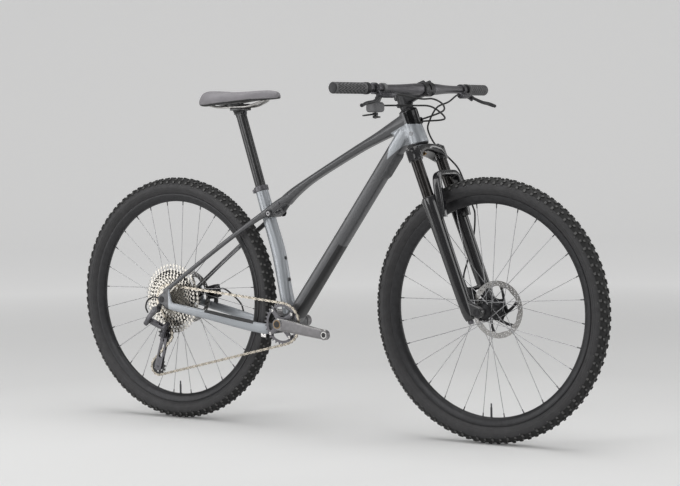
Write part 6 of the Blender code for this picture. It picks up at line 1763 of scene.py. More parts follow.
def make_cage():
    reach = TENSION_AXIS - GUIDE_AXIS
    at = [(share * reach.x, share * reach.z) for share in (0.0, 0.34, 0.66, 1.0)]
    outline = outline_round([(*at[0], 0.0118), (*at[3], 0.0128)], 48)
    window = outline_round([(*at[1], 0.0058), (*at[2], 0.0062)])
    slot_top = outline_round([(at[0][0] * 1.0 + 0.17 * reach.x, 0.17 * reach.z, 0.0026), (0.20 * reach.x, 0.20 * reach.z, 0.0026)])
    form = Form()
    for side in (RIGHT, LEFT):
        y = CHAIN_Y + side * (CAGE_GAP + CAGE_PLATE / 2)
        form.side_plate([outline, window, slot_top], CAGE_PLATE, GUIDE_AXIS, y, 0.0003)
    form.done("cage_plates", "derailleur_cage", MECH_GREY, "derailleur_cage", "grey_alloy")
    bolts = Form()
    for axis in (GUIDE_AXIS, TENSION_AXIS):
        bolts.across(axis, CHAIN_Y - CAGE_GAP - 0.0005, CHAIN_Y + CAGE_GAP + 0.0005, 0.0022, 24)
        for side in (RIGHT, LEFT):
            if axis is GUIDE_AXIS and side == RIGHT:
                continue
            bolts.bolt(axis + side * (CAGE_GAP + CAGE_PLATE) * Y, side * Y, 0.0036, 0.0010)
    bolts.done("cage_bolts", "derailleur_cage", BOLT_STEEL, slot="grey_alloy")
    for name, axis, loop in (("guide_pulley", GUIDE_AXIS, GUIDE_LOOP), ("tension_pulley", TENSION_AXIS, TENSION_LOOP)):
        wheel = Form()
        outlines = [toothed(PULLEY_TEETH, tooth_phase(loop)), circle(0.0024, 20), *ring_of_holes(6, 0.0142, 0.0036, 0.3, 20)]
        wheel.side_plate(outlines, 0.0019, axis, CHAIN_Y, 0.0003)
        wheel.turned([(0.0024, -0.0016), (0.0078, -0.0016), (0.0078, 0.0016), (0.0024, 0.0016)], axis, Y, 40)
        wheel.done(name + "_wheel", name, BLACK_PLASTIC, name, "satin_black")


make_cassette()
make_chain()
make_crank_arm("crank_arm_right", RIGHT, "crank_right")
make_crank_arm("crank_arm_left", LEFT, "crank_left")
make_spider()
make_chainring()
make_upper_knuckle()
make_link()
make_lower_knuckle()
make_cage()


# Fork
STANCHION_RADIUS = 0.016
STANCHION_SIDE = 0.065
STANCHION_FOOT = 0.185
LOWER_TOP = 0.335
CROWN_FOOT = 0.4550
CROWN_TOP = 0.492
LEG_FOOT = -0.012
FORK_DROPOUT = (0.0553, 0.0725)
CALIPER_UP = 0.060
CALIPER_AHEAD = -0.0285
CALIPER_Y = 0.0425
STANCHION_COAT = anodised("stanchion_coat", (0.034, 0.032, 0.031), 0.12, 0.2)


def make_crown():
    half = [
        (0.000, 0.0030, 0.0270, 0.4915, 0.0125),
        (0.040, 0.0065, 0.0265, 0.4850, 0.0150),
        (0.065, 0.0130, 0.0210, 0.4703, 0.0217),
        (0.086, 0.0130, 0.0090, 0.4705, 0.0150),
    ]
    stations = [(-y, *rest) for y, *rest in half[:0:-1]] + half
    rows = smooth_values([[*steer(up, ahead, y), wide, tall] for y, ahead, wide, up, tall in stations], 61)
    form = Form()
    form.skin([section(Vector(row[:3]), STEER_AHEAD, STEER_UP, row[3], row[4], 44, 3.0) for row in rows])
    for side in (RIGHT, LEFT):
        socket = steer(0, LEG_AHEAD, side * STANCHION_SIDE)
        profile = [(0, CROWN_FOOT), (0.0196, CROWN_FOOT), (0.0205, CROWN_FOOT + 0.001), (0.0205, CROWN_TOP - 0.002)]
        form.turned([*profile, (0.0192, CROWN_TOP), (0, CROWN_TOP)], socket, STEER_UP, 56)
    form.turned([(0, 0.485), (0.0199, 0.485), (0.0199, 0.522), (0.0143, 0.540), (0.0143, 0.6600), (0, 0.6600)], steer(0), STEER_UP, 40)
    form.done("fork_crown_body", "steering", GLOSS_BLACK, "fork_crown", "gloss_black", sharp=40)
    ring = Form()
    out = (0.52 * STEER_AHEAD - 0.85 * STEER_UP).normalized()
    face = steer(0.4815, 0.0115)
    ring.turned([(0.0098, -0.010), (0.0132, -0.010), (0.0132, 0.0004), (0.0122, 0.0014), (0.0104, 0.0014), (0.0098, 0.0006)], face, out, 48)
    ring.slot = 1
    ring.turned([(0, -0.008), (0.0100, -0.008), (0.0100, -0.0050), (0, -0.0050)], face, out, 48)
    ring.done("steerer_bore_ring", "steering", [BRONZE, BLACK_PLASTIC], slot="grey_alloy")


def make_stanchions():
    for name, side in (("stanchion_right", RIGHT), ("stanchion_left", LEFT)):
        form = Form()
        foot = steer(STANCHION_FOOT, LEG_AHEAD, side * STANCHION_SIDE)
        top = steer(CROWN_TOP - 0.004, LEG_AHEAD, side * STANCHION_SIDE)
        form.rod(foot, top, STANCHION_RADIUS, sides=64, chamfer=0.0006)
        form.done(name + "_tube", "steering", STANCHION_COAT, name, "satin_black")


def knurled(form, profile, origin, axis, ridges, depth, steps_each=6):
    """A turned knob whose side carries ridges for the fingers."""
    place = facing(origin, axis)
    steps = ridges * steps_each
    rings = []
    for radius, height in profile[1:-1]:
        ring = []
        for step in range(steps):
            angle = 2 * math.pi * step / steps
            reach = radius - depth * (0.5 + 0.5 * math.cos(ridges * angle)) * (radius > 0.6 * profile[2][0])
            ring.append(place @ Vector((reach * math.cos(angle), reach * math.sin(angle), height)))
        rings.append(ring)
    form.skin(rings)


def make_fork_knobs():
    at = steer(CROWN_TOP, LEG_AHEAD, -STANCHION_SIDE)
    dial = Form()
    knurled(dial, [(0, 0), (0.0126, 0.0003), (0.0130, 0.0012), (0.0126, 0.0062), (0.0108, 0.0086), (0.0090, 0.0108), (0, 0.0108)], at, STEER_UP, 18, 0.0009)
    dial.block(at + 0.0060 * STEER_UP + 0.0090 * STEER_AHEAD, (0.0080, 0.0055, 0.0060), STEER_AHEAD, STEER_UP, 0.0012)
    dial.done("lockout_knob", "lockout_dial", SATIN_BLACK, "lockout_dial", "satin_black")
    at = steer(LEG_FOOT, LEG_AHEAD, -STANCHION_SIDE)
    knob_form = Form()
    knurled(knob_form, [(0, 0), (0.0072, 0.0003), (0.0080, 0.0010), (0.0080, 0.0080), (0.0060, 0.0108), (0, 0.0108)], at, -STEER_UP, 14, 0.0008)
    knob_form.done("rebound_dial", "rebound_knob", MECH_GREY, "rebound_knob", "grey_alloy")
    cap = Form()
    at = steer(CROWN_TOP, LEG_AHEAD, STANCHION_SIDE)
    cap.turned([(0, -0.002), (0.0150, -0.002), (0.0150, 0.0030), (0.0138, 0.0045), (0.0095, 0.0050), (0.0090, 0.0085), (0.0075, 0.0098), (0, 0.0098)], at, STEER_UP, 48)
    cap.done("air_cap", "steering", SATIN_BLACK, slot="satin_black")


def arch_rings(count=72):
    """The brace between the legs, hollowed behind."""
    half = [
        (0.0300, 0.0620, 0.282, 0.0160, 0.0100),
        (0.0425, 0.0585, 0.335, 0.0135, 0.0095),
        (0.0490, 0.0545, 0.380, 0.0118, 0.0088),
        (0.0505, 0.0440, 0.3985, 0.0115, 0.0080),
        (0.0505, 0.0250, 0.4020, 0.0115, 0.0076),
        (0.0505, 0.0000, 0.4020, 0.0115, 0.0075),
    ]
    stations = [(a, -y, t, w, h) for a, y, t, w, h in half] + half[-2::-1]
    rows = smooth_values([[*steer(t, a, y), w, h] for a, y, t, w, h in stations], count)
    points = [Vector(row[:3]) for row in rows]
    rings = []
    for index, row in enumerate(rows):
        along = (points[min(index + 1, count - 1)] - points[max(index - 1, 0)]).normalized()
        side = (STEER_AHEAD - STEER_AHEAD.dot(along) * along).normalized()
        up = side.cross(along)
        ring = []
        for point in section(Vector(), side, up, row[3], row[4], 40, 4.2):
            across_by, up_by = point.dot(side), point.dot(up)
            if across_by < 0:
                across_by *= 1 - 0.75 * max(0.0, 1 - (up_by / (0.72 * row[4])) ** 2) ** 0.5
            ring.append(points[index] + across_by * side + up_by * up)
        rings.append(ring)
    return rings


def make_lowers():
    form = Form()
    top = LOWER_TOP + 0.010
    leg = [
        (0, top),
        (0.0186, top),
        (0.0204, top - 0.0014),
        (0.0208, top - 0.006),
        (0.0215, top - 0.014),
        (0.0214, top - 0.026),
        (0.0206, 0.250),
        (0.0195, 0.180),
        (0.0188, 0.090),
        (0.0182, 0.050),
        (0.0168, 0.014),
        (0.0150, 0.0),
        (0.0122, -0.0110),
        (0.0114, LEG_FOOT),
        (0, LEG_FOOT),
    ]
    inner, outer = FORK_DROPOUT
    for side in (RIGHT, LEFT):
        form.turned(leg, steer(0, LEG_AHEAD, side * STANCHION_SIDE), STEER_UP, 56)
        lug = outline_round([(FORK_OFFSET, 0.0, 0.0155), (LEG_AHEAD, 0.030, 0.0140)], 48)
        middle = steer(0, 0, side * (inner + outer) / 2)
        form.plate([lug], outer - inner, middle, STEER_AHEAD, -Y, 0.0024)
        web = outline_round([(FORK_OFFSET - 0.004, 0.006, 0.0085), (LEG_AHEAD + 0.002, 0.052, 0.0060)], 32)
        form.plate([web], outer - inner - 0.002, middle, STEER_AHEAD, -Y, 0.0020)
    form.skin(arch_rings())
    for up in (0.042, 0.080):
        form.rod(steer(up, LEG_AHEAD, 0.052), steer(up, CALIPER_AHEAD + 0.0183, 0.052), 0.0062, sides=32, chamfer=0.0006)
    form.done("fork_legs", "fork_lower", GLOSS_BLACK, "fork_lowers", "gloss_black", sharp=40)
    seals = Form()
    for side in (RIGHT, LEFT):
        at = steer(LOWER_TOP, LEG_AHEAD, side * STANCHION_SIDE)
        profile = [(0.0161, 0.0085), (0.0198, 0.0085), (0.0201, 0.0096), (0.0192, 0.0116), (0.0172, 0.0124), (0.0161, 0.0124)]
        seals.turned(profile, at, STEER_UP, 56)
    seals.done("fork_seals", "fork_lower", GUARD_RUBBER, slot="rubber")


def make_front_axle():
    form = Form()
    end = FORK_DROPOUT[1]
    form.turned(
        [
            (0, -end - 0.0008),
            (0.0042, -end - 0.0008),
            (0.0068, -end - 0.0010),
            (0.0075, -end - 0.0004),
            (0.0075, end + 0.0003),
            (0.0105, end + 0.0003),
            (0.0105, end + 0.0038),
            (0.0094, end + 0.0050),
            (0.0050, end + 0.0050),
            (0.0045, end + 0.0015),
            (0, end + 0.0015),
        ],
        FRONT_AXLE,
        Y,
        48,
    )
    form.turned([(0.0078, -0.0006), (0.0112, -0.0006), (0.0108, 0.0006), (0.0078, 0.0006)], FRONT_AXLE - end * Y, -Y, 48)
    form.done("front_axle_rod", "fork_lower", SATIN_BLACK, "front_axle", "satin_black")


def make_front_caliper():
    form = Form()
    centre = steer(CALIPER_UP, CALIPER_AHEAD, CALIPER_Y)
    caliper(form, centre, (0.034, 0.030, 0.054), STEER_AHEAD, STEER_UP, FRONT_ROTOR_Y, [])
    form.block(centre - 0.0120 * STEER_AHEAD, (0.010, 0.026, 0.036), STEER_AHEAD, STEER_UP, 0.003)
    for up in (0.042, 0.080):
        head = steer(up, CALIPER_AHEAD - 0.0165, 0.052)
        form.bolt(head, -STEER_AHEAD, 0.0046, 0.0040)
    fitting = steer(CALIPER_UP + 0.0240, CALIPER_AHEAD - 0.002, CALIPER_Y + 0.002)
    form.rod(fitting, fitting + 0.0065 * STEER_UP, 0.0042, sides=24, chamfer=0.0006)
    form.done("front_brake", "fork_lower", SATIN_BLACK, "front_caliper", "satin_black")


make_crown()
make_stanchions()
make_fork_knobs()
make_lowers()
make_front_axle()
make_front_caliper()


# Cockpit
BAR_HALF_WIDTH = 0.388
BAR_SWEEP = 0.0427
BAR_CLAMP_RADIUS = 0.0159
BAR_GRIP_RADIUS = 0.0111
GRIP_LENGTH = 0.140
GRIP_RADIUS = 0.0158
BAR_LINE = (
    (0.000, 0.0000, 1.00),
    (0.030, 0.0000, 1.00),
    (0.055, 0.0008, 0.94),
    (0.095, 0.0040, 0.45),
    (0.140, 0.0095, 0.10),
    (0.200, 0.0175, 0.00),
    (BAR_HALF_WIDTH, BAR_SWEEP, 0.00),
)


def bar_point(y):
    """The handlebar's centre at a distance out from the middle, either side."""
    out = abs(y)
    for (y0, back0, _), (y1, back1, _) in zip(BAR_LINE, BAR_LINE[1:]):
        if out <= y1:
            break
    share = (out - y0) / (y1 - y0)
    return BAR_CENTRE + Vector((-(back0 + share * (back1 - back0)), y, 0.0044 * out))


def bar_way(side):
    return (bar_point(side * BAR_HALF_WIDTH) - bar_point(side * 0.21)).normalized()


def make_stem():
    form = Form()
    top = STEM_FOOT + STEM_HEIGHT
    form.turned(
        [
            (0, SPACER_FOOT),
            (0.0178, SPACER_FOOT),
            (0.0185, SPACER_FOOT + 0.0006),
            (0.0185, STEM_FOOT - 0.0008),
            (0.0178, STEM_FOOT - 0.0002),
            (0.0178, STEM_FOOT + 0.0002),
            (0.0195, STEM_FOOT + 0.0004),
            (0.0205, STEM_FOOT + 0.0014),
            (0.0205, top - 0.0022),
            (0.0195, top - 0.0008),
            (0.0180, top - 0.0002),
            (0.0180, top + 0.0002),
            (0.0172, top + 0.0030),
            (0.0150, top + 0.0040),
            (0, top + 0.0040),
        ],
        steer(0),
        STEER_UP,
        64,
    )
    form.tube(
        [steer(STEM_MID, 0.006), steer(STEM_MID, 0.040), steer(STEM_MID, STEM_LENGTH - 0.008)],
        [(0.0170, 0.0185), (0.0150, 0.0160), (0.0205, 0.0175)],
        40,
        3.2,
        Y,
        24,
    )
    for side in (RIGHT, LEFT):
        form.rod(BAR_CENTRE + side * 0.0035 * Y, BAR_CENTRE + side * 0.0250 * Y, 0.0205, sides=56, chamfer=0.0010)
    for up in (-0.0105, 0.0105):
        lug = steer(STEM_MID + up, -0.0195)
        form.block(lug, (0.0120, 0.0200, 0.0120), STEER_AHEAD, STEER_UP, 0.0030)
    form.done("stem_body", "steering", SATIN_BLACK, "stem", "satin_black", sharp=40)
    bolts = Form()
    bolts.bolt(steer(top + 0.0036), STEER_UP, 0.0046, 0.0016)
    for up in (-0.0105, 0.0105):
        bolts.bolt(steer(STEM_MID + up, -0.0205, -0.0098), -Y, 0.0038, 0.0022)
    bolts.done("stem_bolts", "steering", BOLT_STEEL, slot="steel")


def arc_band(form, from_angle, to_angle, y_from, y_to, inner=0.0163, outer=0.0208, steps=20):
    """A piece of a ring round the handlebar, by the angle up from straight ahead."""
    rings = []
    ease = 0.0007
    for y, cut in ((y_from, ease), (y_from + ease, 0), (y_to - ease, 0), (y_to, ease)):
        ring = []
        for radius, order in ((outer - cut, range(steps + 1)), (inner, range(steps, -1, -1))):
            for step in order:
                angle = math.radians(from_angle + (to_angle - from_angle) * step / steps)
                way = math.cos(angle) * STEER_AHEAD + math.sin(angle) * STEER_UP
                ring.append(BAR_CENTRE + radius * way + y * Y)
        rings.append(ring)
    form.skin(rings)


def make_faceplate():
    form = Form()
    for side in (RIGHT, LEFT):
        arc_band(form, -84, 84, *sorted((side * 0.0090, side * 0.0225)))
    arc_band(form, 26, 84, -0.0092, 0.0092)
    arc_band(form, -84, -26, -0.0092, 0.0092)
    bolts = Form()
    for side in (RIGHT, LEFT):
        for up in (-0.0172, 0.0172):
            foot = BAR_CENTRE + side * 0.0160 * Y + up * STEER_UP
            form.rod(foot + 0.0030 * STEER_AHEAD, foot + 0.0132 * STEER_AHEAD, 0.0050, 0.0046, sides=32, chamfer=0.0006)
            bolts.bolt(foot + 0.0126 * STEER_AHEAD, STEER_AHEAD, 0.0036, 0.0024)
    form.done("bar_faceplate", "steering", SATIN_BLACK, "stem_faceplate", "satin_black")
    bolts.done("faceplate_bolts", "steering", BOLT_STEEL, slot="steel")


def make_handlebar():
    stations = [(-y, back, thick) for y, back, thick in BAR_LINE[:0:-1]] + list(BAR_LINE)
    halves = []
    for _, _, thick in stations:
        radius = BAR_GRIP_RADIUS + thick * (BAR_CLAMP_RADIUS - BAR_GRIP_RADIUS)
        halves.append((radius, radius))
    form = Form()
    form.tube([bar_point(y) for y, _, _ in stations], halves, 36, 2.0, Vector((1, 0, 0)), 110)
    form.done("handlebar_tube", "steering", BAR_GREY, "handlebar", "satin_black")


def grip_radius(along, angle):
    """The grip's radius: rows of chevron scales between plain ends. along runs inward from the outer end."""
    rows = along / 0.0140 + 1.2 * abs(2 * ((6 * angle / (2 * math.pi)) % 1.0) - 1)
    scale = abs(math.sin(math.pi * rows)) ** 0.8
    ends = min(1.0, max(0.0, (along - 0.006) / 0.004)) * min(1.0, max(0.0, (GRIP_LENGTH - 0.020 - along) / 0.004))
    return GRIP_RADIUS - 0.0019 * (1 - scale) * ends


def make_grip(name, side):
    end = bar_point(side * BAR_HALF_WIDTH) + 0.0018 * bar_way(side)
    way = bar_way(side)
    place = facing(end, -way, Z)
    rings = []
    around, rows = 96, 150
    for row in range(rows + 1):
        along = 0.0020 + (GRIP_LENGTH - 0.0155) * row / rows
        shrink = 0.0012 if row in (0, rows) else 0.0
        ring = []
        for step in range(around):
            angle = 2 * math.pi * step / around
            radius = grip_radius(along, angle) - shrink
            ring.append(place @ Vector((radius * math.cos(angle), radius * math.sin(angle), along)))
        rings.append(ring)
    form = Form()
    for index, face in enumerate(form.skin(rings)[:-2]):
        row, step = divmod(index, around)
        along = 0.0020 + (GRIP_LENGTH - 0.0155) * (row + 0.5) / rows
        # Faces sunk into the grooves take the darker rubber: painted shade.
        if grip_radius(along, 2 * math.pi * (step + 0.5) / around) < GRIP_RADIUS - 0.0006:
            face.material_index = 1
    form.done(name + "_rubber", "steering", [GRIP_RUBBER, GRIP_GROOVE_SHADE], name, "rubber", sharp=60)
    ends = Form()
    ends.turned([(0, 0.0), (0.0110, 0.0), (0.0140, 0.0005), (0.0148, 0.0016), (0.0148, 0.0030), (0, 0.0030)], end, -way, 48)
    lock = GRIP_LENGTH - 0.0128
    ends.turned(
        [(0.0113, lock), (0.0160, lock), (0.0166, lock + 0.0008), (0.0166, lock + 0.0118), (0.0160, lock + 0.0126), (0.0113, lock + 0.0126)],
        end,
        -way,
        56,
    )
    down_way = facing(end, -way, Z) @ Vector((-1, 0, 0)) - end
    ends.bolt(end - (lock + 0.0063) * way + 0.0158 * down_way, down_way, 0.0028, 0.0010)
    ends.done(name + "_ends", "steering", SATIN_BLACK, slot="satin_black")


LEVER_WAY = Vector((0.777, 0, -0.629)).normalized()
LEVER_AXIS = Vector((0.629, 0, 0.777)).normalized()
LEVER_TIP = Vector((0.0200, 0.345, -0.0460))
LEVER_PIVOT_Y = 0.243
LEVER_PIVOT_OUT = 0.0365


def make_brake(suffix, side):
    pivot = bar_point(side * LEVER_PIVOT_Y) + LEVER_PIVOT_OUT * LEVER_WAY

    def out(y, along, up=0.0):
        return bar_point(side * y) + along * LEVER_WAY + up * LEVER_AXIS

    form = Form()
    axis = (out(0.2310, 0) - out(0.2190, 0)).normalized()
    form.turned(
        [(0.0113, 0.0), (0.0152, 0.0), (0.0160, 0.0008), (0.0160, 0.0112), (0.0152, 0.0120), (0.0113, 0.0120)],
        out(0.2190, 0),
        axis,
        48,
    )
    form.tube([out(0.2250, 0.012), out(0.2215, 0.020), out(0.2190, 0.028)], [(0.0060, 0.0066), (0.0056, 0.0062), (0.0060, 0.0066)], 28, 2.6, LEVER_AXIS, 10)
    start = out(0.1640, 0.0275)
    barrel_axis = (out(0.2360, 0.0275) - start).normalized()
    form.turned(
        [
            (0, 0.0),
            (0.0048, 0.0),
            (0.0052, 0.0060),
            (0.0078, 0.0080),
            (0.0090, 0.0120),
            (0.0090, 0.0480),
            (0.0084, 0.0560),
            (0.0088, 0.0600),
            (0.0088, 0.0700),
            (0.0078, 0.0722),
            (0, 0.0722),
        ],
        start,
        barrel_axis,
        48,
    )
    form.tube(
        [out(0.2260, 0.0280, -0.004), out(0.2350, 0.0330, -0.0055), pivot - 0.0068 * LEVER_AXIS],
        [(0.0056, 0.0044), (0.0056, 0.0026), (0.0055, 0.0019)],
        24,
        3.0,
        LEVER_WAY,
        14,
    )
    form.rod(pivot - 0.0088 * LEVER_AXIS, pivot - 0.0047 * LEVER_AXIS, 0.0065, sides=40, chamfer=0.0006)
    form.rod(pivot - 0.0070 * LEVER_AXIS, pivot + 0.0046 * LEVER_AXIS, 0.0025, sides=24)
    form.bolt(out(0.2250, -0.0150), -LEVER_WAY, 0.0034, 0.0016)
    form.bolt(out(0.1900, 0.0275, 0.0086), LEVER_AXIS, 0.0034, 0.0010)
    form.done("brake_master_" + suffix, "steering", MECH_DARK, "brake_body_" + suffix, "satin_black", sharp=40)

    lever = Form()
    tip = BAR_CENTRE + Vector((LEVER_TIP.x, side * LEVER_TIP.y, LEVER_TIP.z))
    bow = pivot.lerp(tip, 0.35) + 0.007 * LEVER_WAY
    path = [pivot, bow, pivot.lerp(tip, 0.72) + 0.001 * LEVER_WAY, pivot.lerp(tip, 0.94) + 0.0008 * LEVER_WAY, tip]
    halves = [(0.0036, 0.0050), (0.0045, 0.0042), (0.0054, 0.0036), (0.0052, 0.0037), (0.0030, 0.0030)]
    lever.tube(path, halves, 32, 2.8, LEVER_AXIS, 40)
    ball = [(0, -0.0054), (0.0038, -0.0038), (0.0054, 0), (0.0038, 0.0038), (0, 0.0054)]
    lever.turned(ball, tip, LEVER_AXIS, 24)
    lever.rod(pivot - 0.0041 * LEVER_AXIS, pivot + 0.0041 * LEVER_AXIS, 0.0062, sides=40, chamfer=0.0006)
    lever.done("brake_blade_" + suffix, "brake_lever_" + suffix, SATIN_BLACK, "brake_lever_" + suffix, "satin_black", sharp=50)


SHIFTER = BAR_CENTRE + Vector((-0.0345, -0.200, -0.0500))


def make_shifter():
    clamp_y = -0.1900
    form = Form()
    start = bar_point(clamp_y + 0.006)
    axis = (bar_point(clamp_y - 0.006) - start).normalized()
    form.turned([(0.0117, 0.0), (0.0148, 0.0), (0.0155, 0.0007), (0.0155, 0.0113), (0.0148, 0.0120), (0.0117, 0.0120)], start, axis, 48)
    form.rod(bar_point(clamp_y) - Vector((0.006, 0, 0.012)), SHIFTER, 0.0075, sides=28)
    form.block(SHIFTER, (0.0350, 0.0490, 0.0270), bevel=0.0085, segments=6)
    form.block(SHIFTER + Vector((0, 0, 0.0128)), (0.0250, 0.0380, 0.0030), bevel=0.0012)
    form.rod(SHIFTER, SHIFTER - Vector((0, 0, 0.0308)), 0.0030, sides=24, chamfer=0.0004)
    form.bolt(SHIFTER + Vector((0.0, 0.010, 0.0138)), Z, 0.0030, 0.0008)
    exit_at = SHIFTER + Vector((0.004, 0.0180, 0.004))
    form.rod(exit_at, exit_at + Vector((0, 0.0074, 0)), 0.0046, 0.0040, sides=28, chamfer=0.0006)
    form.done("shifter_case", "steering", SHIFTER_SHELL, "shifter_body", "satin_black")
    levers = (
        ("shift_paddle", -0.0144, -0.0216, Vector((-0.024, -0.026, -0.004)), 0.0085),
        ("shift_trigger", -0.0222, -0.0294, Vector((0.026, -0.022, -0.001)), 0.0060),
    )
    for name, top, foot, reach, half in levers:
        blade = Form()
        middle = SHIFTER + Vector((0, 0, (top + foot) / 2))
        blade.rod(SHIFTER + Vector((0, 0, foot)), SHIFTER + Vector((0, 0, top)), 0.0075, sides=40, chamfer=0.0005)
        path = [middle, middle + 0.55 * reach, middle + 0.90 * reach, middle + reach]
        halves = [(0.0055, 0.0026), (half * 0.8, 0.0024), (half, 0.0023), (half * 0.7, 0.0016)]
        blade.tube(path, halves, 28, 3.2, Vector((-reach.y, reach.x, 0)), 20)
        blade.done(name + "_blade", name, BLACK_PLASTIC, name, "satin_black", sharp=50)


make_stem()
make_faceplate()
make_handlebar()
for grip, side in (("grip_right", RIGHT), ("grip_left", LEFT)):
    make_grip(grip, side)
make_brake("right", RIGHT)
make_brake("left", LEFT)
make_shifter()


# Hoses
HOSE_RADIUS = 0.0025


def make_hoses():
    port_out = Vector((STEER_AHEAD.x * 0.41, 0.912, STEER_AHEAD.z * 0.41))
    into = steer(PORT_UP, *PORT_FACE)
    start = SHIFTER + Vector((0.004, 0.0240, 0.004))
    turning = ("steering", "frame", steer(0.579, 0.1075, -0.060), into)
    shift = [
        start,
        start + Vector((0.002, 0.018, 0.001)),
        steer(0.587, 0.093, -0.110),
        steer(0.579, 0.1075, -0.060),
        steer(0.560, 0.110, -0.022),
        steer(0.549, 0.095, 0.018),
        steer(0.556, 0.062, 0.046),
        into - 0.0042 * STEER_UP + 0.012 * port_out,
        into - 0.0042 * STEER_UP - 0.0005 * port_out,
    ]
    rear_brake = [
        bar_point(-0.1660) + 0.0275 * LEVER_WAY,
        bar_point(-0.148) + 0.0275 * LEVER_WAY,
        steer(0.5992, 0.1116, -0.100),
        steer(0.5949, 0.1227, -0.060),
        steer(0.583, 0.122, -0.020),
        steer(0.574, 0.102, 0.020),
        steer(0.577, 0.066, 0.052),
        into + 0.0042 * STEER_UP + 0.014 * port_out,
        into + 0.0042 * STEER_UP - 0.0005 * port_out,
    ]
    front_brake = [
        bar_point(0.1660) + 0.0275 * LEVER_WAY,
        bar_point(0.148) + 0.0275 * LEVER_WAY,
        steer(0.608, 0.070, 0.110),
        steer(0.600, 0.046, 0.078),
        steer(0.566, 0.0200, 0.055),
        steer(0.543, 0.0100, 0.053),
        steer(0.507, -0.0030, 0.088),
        steer(0.463, 0.0180, 0.0950),
        steer(0.423, 0.0370, 0.0955),
        steer(0.385, 0.0430, 0.0940),
        steer(0.306, 0.0445, 0.0940),
        steer(0.277, 0.0410, 0.0950),
        steer(0.218, 0.0140, 0.0920),
        steer(0.160, -0.0180, 0.0720),
        steer(0.121, -0.0320, 0.0500),
        steer(CALIPER_UP + 0.0280, CALIPER_AHEAD - 0.002, CALIPER_Y + 0.002),
    ]
    rear_tail = [
        REAR_CALIPER + Vector((0.0175, 0.004, 0.009)),
        REAR_CALIPER + Vector((0.040, 0.003, 0.009)),
        REAR_CALIPER + Vector((0.075, 0.001, -0.010)),
        REAR_CALIPER + Vector((0.103, 0.001, -0.034)),
        REAR_CALIPER + Vector((0.112, 0.001, -0.0560)),
    ]
    mech = [
        REAR_AXLE + Vector((-0.0150, -0.0785, 0.004)),
        REAR_AXLE + Vector((-0.034, -0.0800, 0.006)),
        REAR_AXLE + Vector((-0.052, -0.0850, -0.004)),
        REAR_AXLE + Vector((-0.056, -0.0900, -0.024)),
        REAR_AXLE + Vector((-0.0470, -0.0915, -0.0410)),
    ]
    diving = ("steering", "fork_lower", steer(0.463, 0.018, 0.095), steer(0.306, 0.0445, 0.094))
    Form().hose(shift, HOSE_RADIUS, 120, 16).done("shift_cable", turning, HOSE_RUBBER, "shift_housing", "rubber")
    Form().hose(rear_brake, HOSE_RADIUS, 120, 16).done("rear_hose", turning, HOSE_RUBBER, "rear_brake_hose", "rubber")
    Form().hose(front_brake, HOSE_RADIUS, 200, 16).done("front_hose", diving, HOSE_RUBBER, "front_brake_hose", "rubber")
    Form().hose(rear_tail, HOSE_RADIUS, 60, 16).done("rear_hose_end", "frame", HOSE_RUBBER, "rear_hose_tail", "rubber")
    Form().hose(mech, HOSE_RADIUS, 60, 16).done("mech_cable", "frame", HOSE_RUBBER, "derailleur_housing", "rubber")


make_hoses()


# Seat
POST_RADIUS = 0.0158
POST_INSERT = 0.150
POST_TOP = seat(SADDLE_CLAMP_HEIGHT)
SADDLE_AT = POST_TOP - Vector((-0.2985, 0, 0.9238))
RAIL_Z = 0.9435
RAIL_RADIUS = 0.0035
CLAMP_X = -0.300
SADDLE_STATIONS = (
    (-0.1560, 0.0090, 0.9800, 0.9725, 0.9640),
    (-0.1640, 0.0180, 0.9865, 0.9735, 0.9620),
    (-0.1950, 0.0215, 0.9905, 0.9725, 0.9600),
    (-0.2450, 0.0275, 0.9890, 0.9695, 0.9590),
    (-0.3000, 0.0430, 0.9865, 0.9640, 0.9540),
    (-0.3450, 0.0620, 0.9880, 0.9600, 0.9490),
    (-0.3850, 0.0735, 0.9912, 0.9545, 0.9420),
    (-0.4120, 0.0660, 0.9915, 0.9560, 0.9450),
    (-0.4200, 0.0420, 0.9885, 0.9660, 0.9580),
)
SADDLE_FULLER = 0.0012
SADDLE_BASE = ((-0.385, 0.9420), (-0.345, 0.9545), (-0.300, 0.9610), (-0.245, 0.9655), (-0.195, 0.9665), (-0.150, 0.9660))
RIB_PITCH = 0.0075
RIB_HEIGHT = 0.0009


def saddle_ring(x, half, top, edge, foot):
    """Half a cross-section of the saddle mirrored into a whole one, a little fuller than the CAD solid."""
    half = half + SADDLE_FULLER
    top = top + SADDLE_FULLER
    right = [
        (0.62 * half, top - 0.0015),
        (half, edge),
        (0.84 * half, foot),
        (0.40 * half, foot + 0.006),
    ]
    loop = [(0.0, top), *right, (0.0, foot + 0.008), *[(-y, z) for y, z in right[::-1]]]
    return [SADDLE_AT + Vector((x, y, z)) for y, z in loop]


def smoothed(form, levels):
    """The form's mesh after some levels of subdivision, as a bmesh."""
    mesh = bpy.data.meshes.new("cage")
    form.bm.to_mesh(mesh)
    form.bm.free()
    obj = bpy.data.objects.new("cage", mesh)
    bpy.context.scene.collection.objects.link(obj)
    modifier = obj.modifiers.new("smooth", "SUBSURF")
    modifier.levels = modifier.render_levels = levels
    bpy.context.view_layer.update()
    made = bmesh.new()
    made.from_mesh(bpy.data.meshes.new_from_object(obj.evaluated_get(bpy.context.evaluated_depsgraph_get())))
    bpy.data.objects.remove(obj, do_unlink=True)
    bpy.data.meshes.remove(mesh)
    return made


def ease(value):
    value = min(1.0, max(0.0, value))
    return value * value * (3 - 2 * value)


def base_line(x):
    """The height under which the saddle's plain black base shows."""
    for (start, low), (end, high) in zip(SADDLE_BASE, SADDLE_BASE[1:]):
        if start <= x <= end:
            return low + (high - low) * (x - start) / (end - start)
    return 0.0


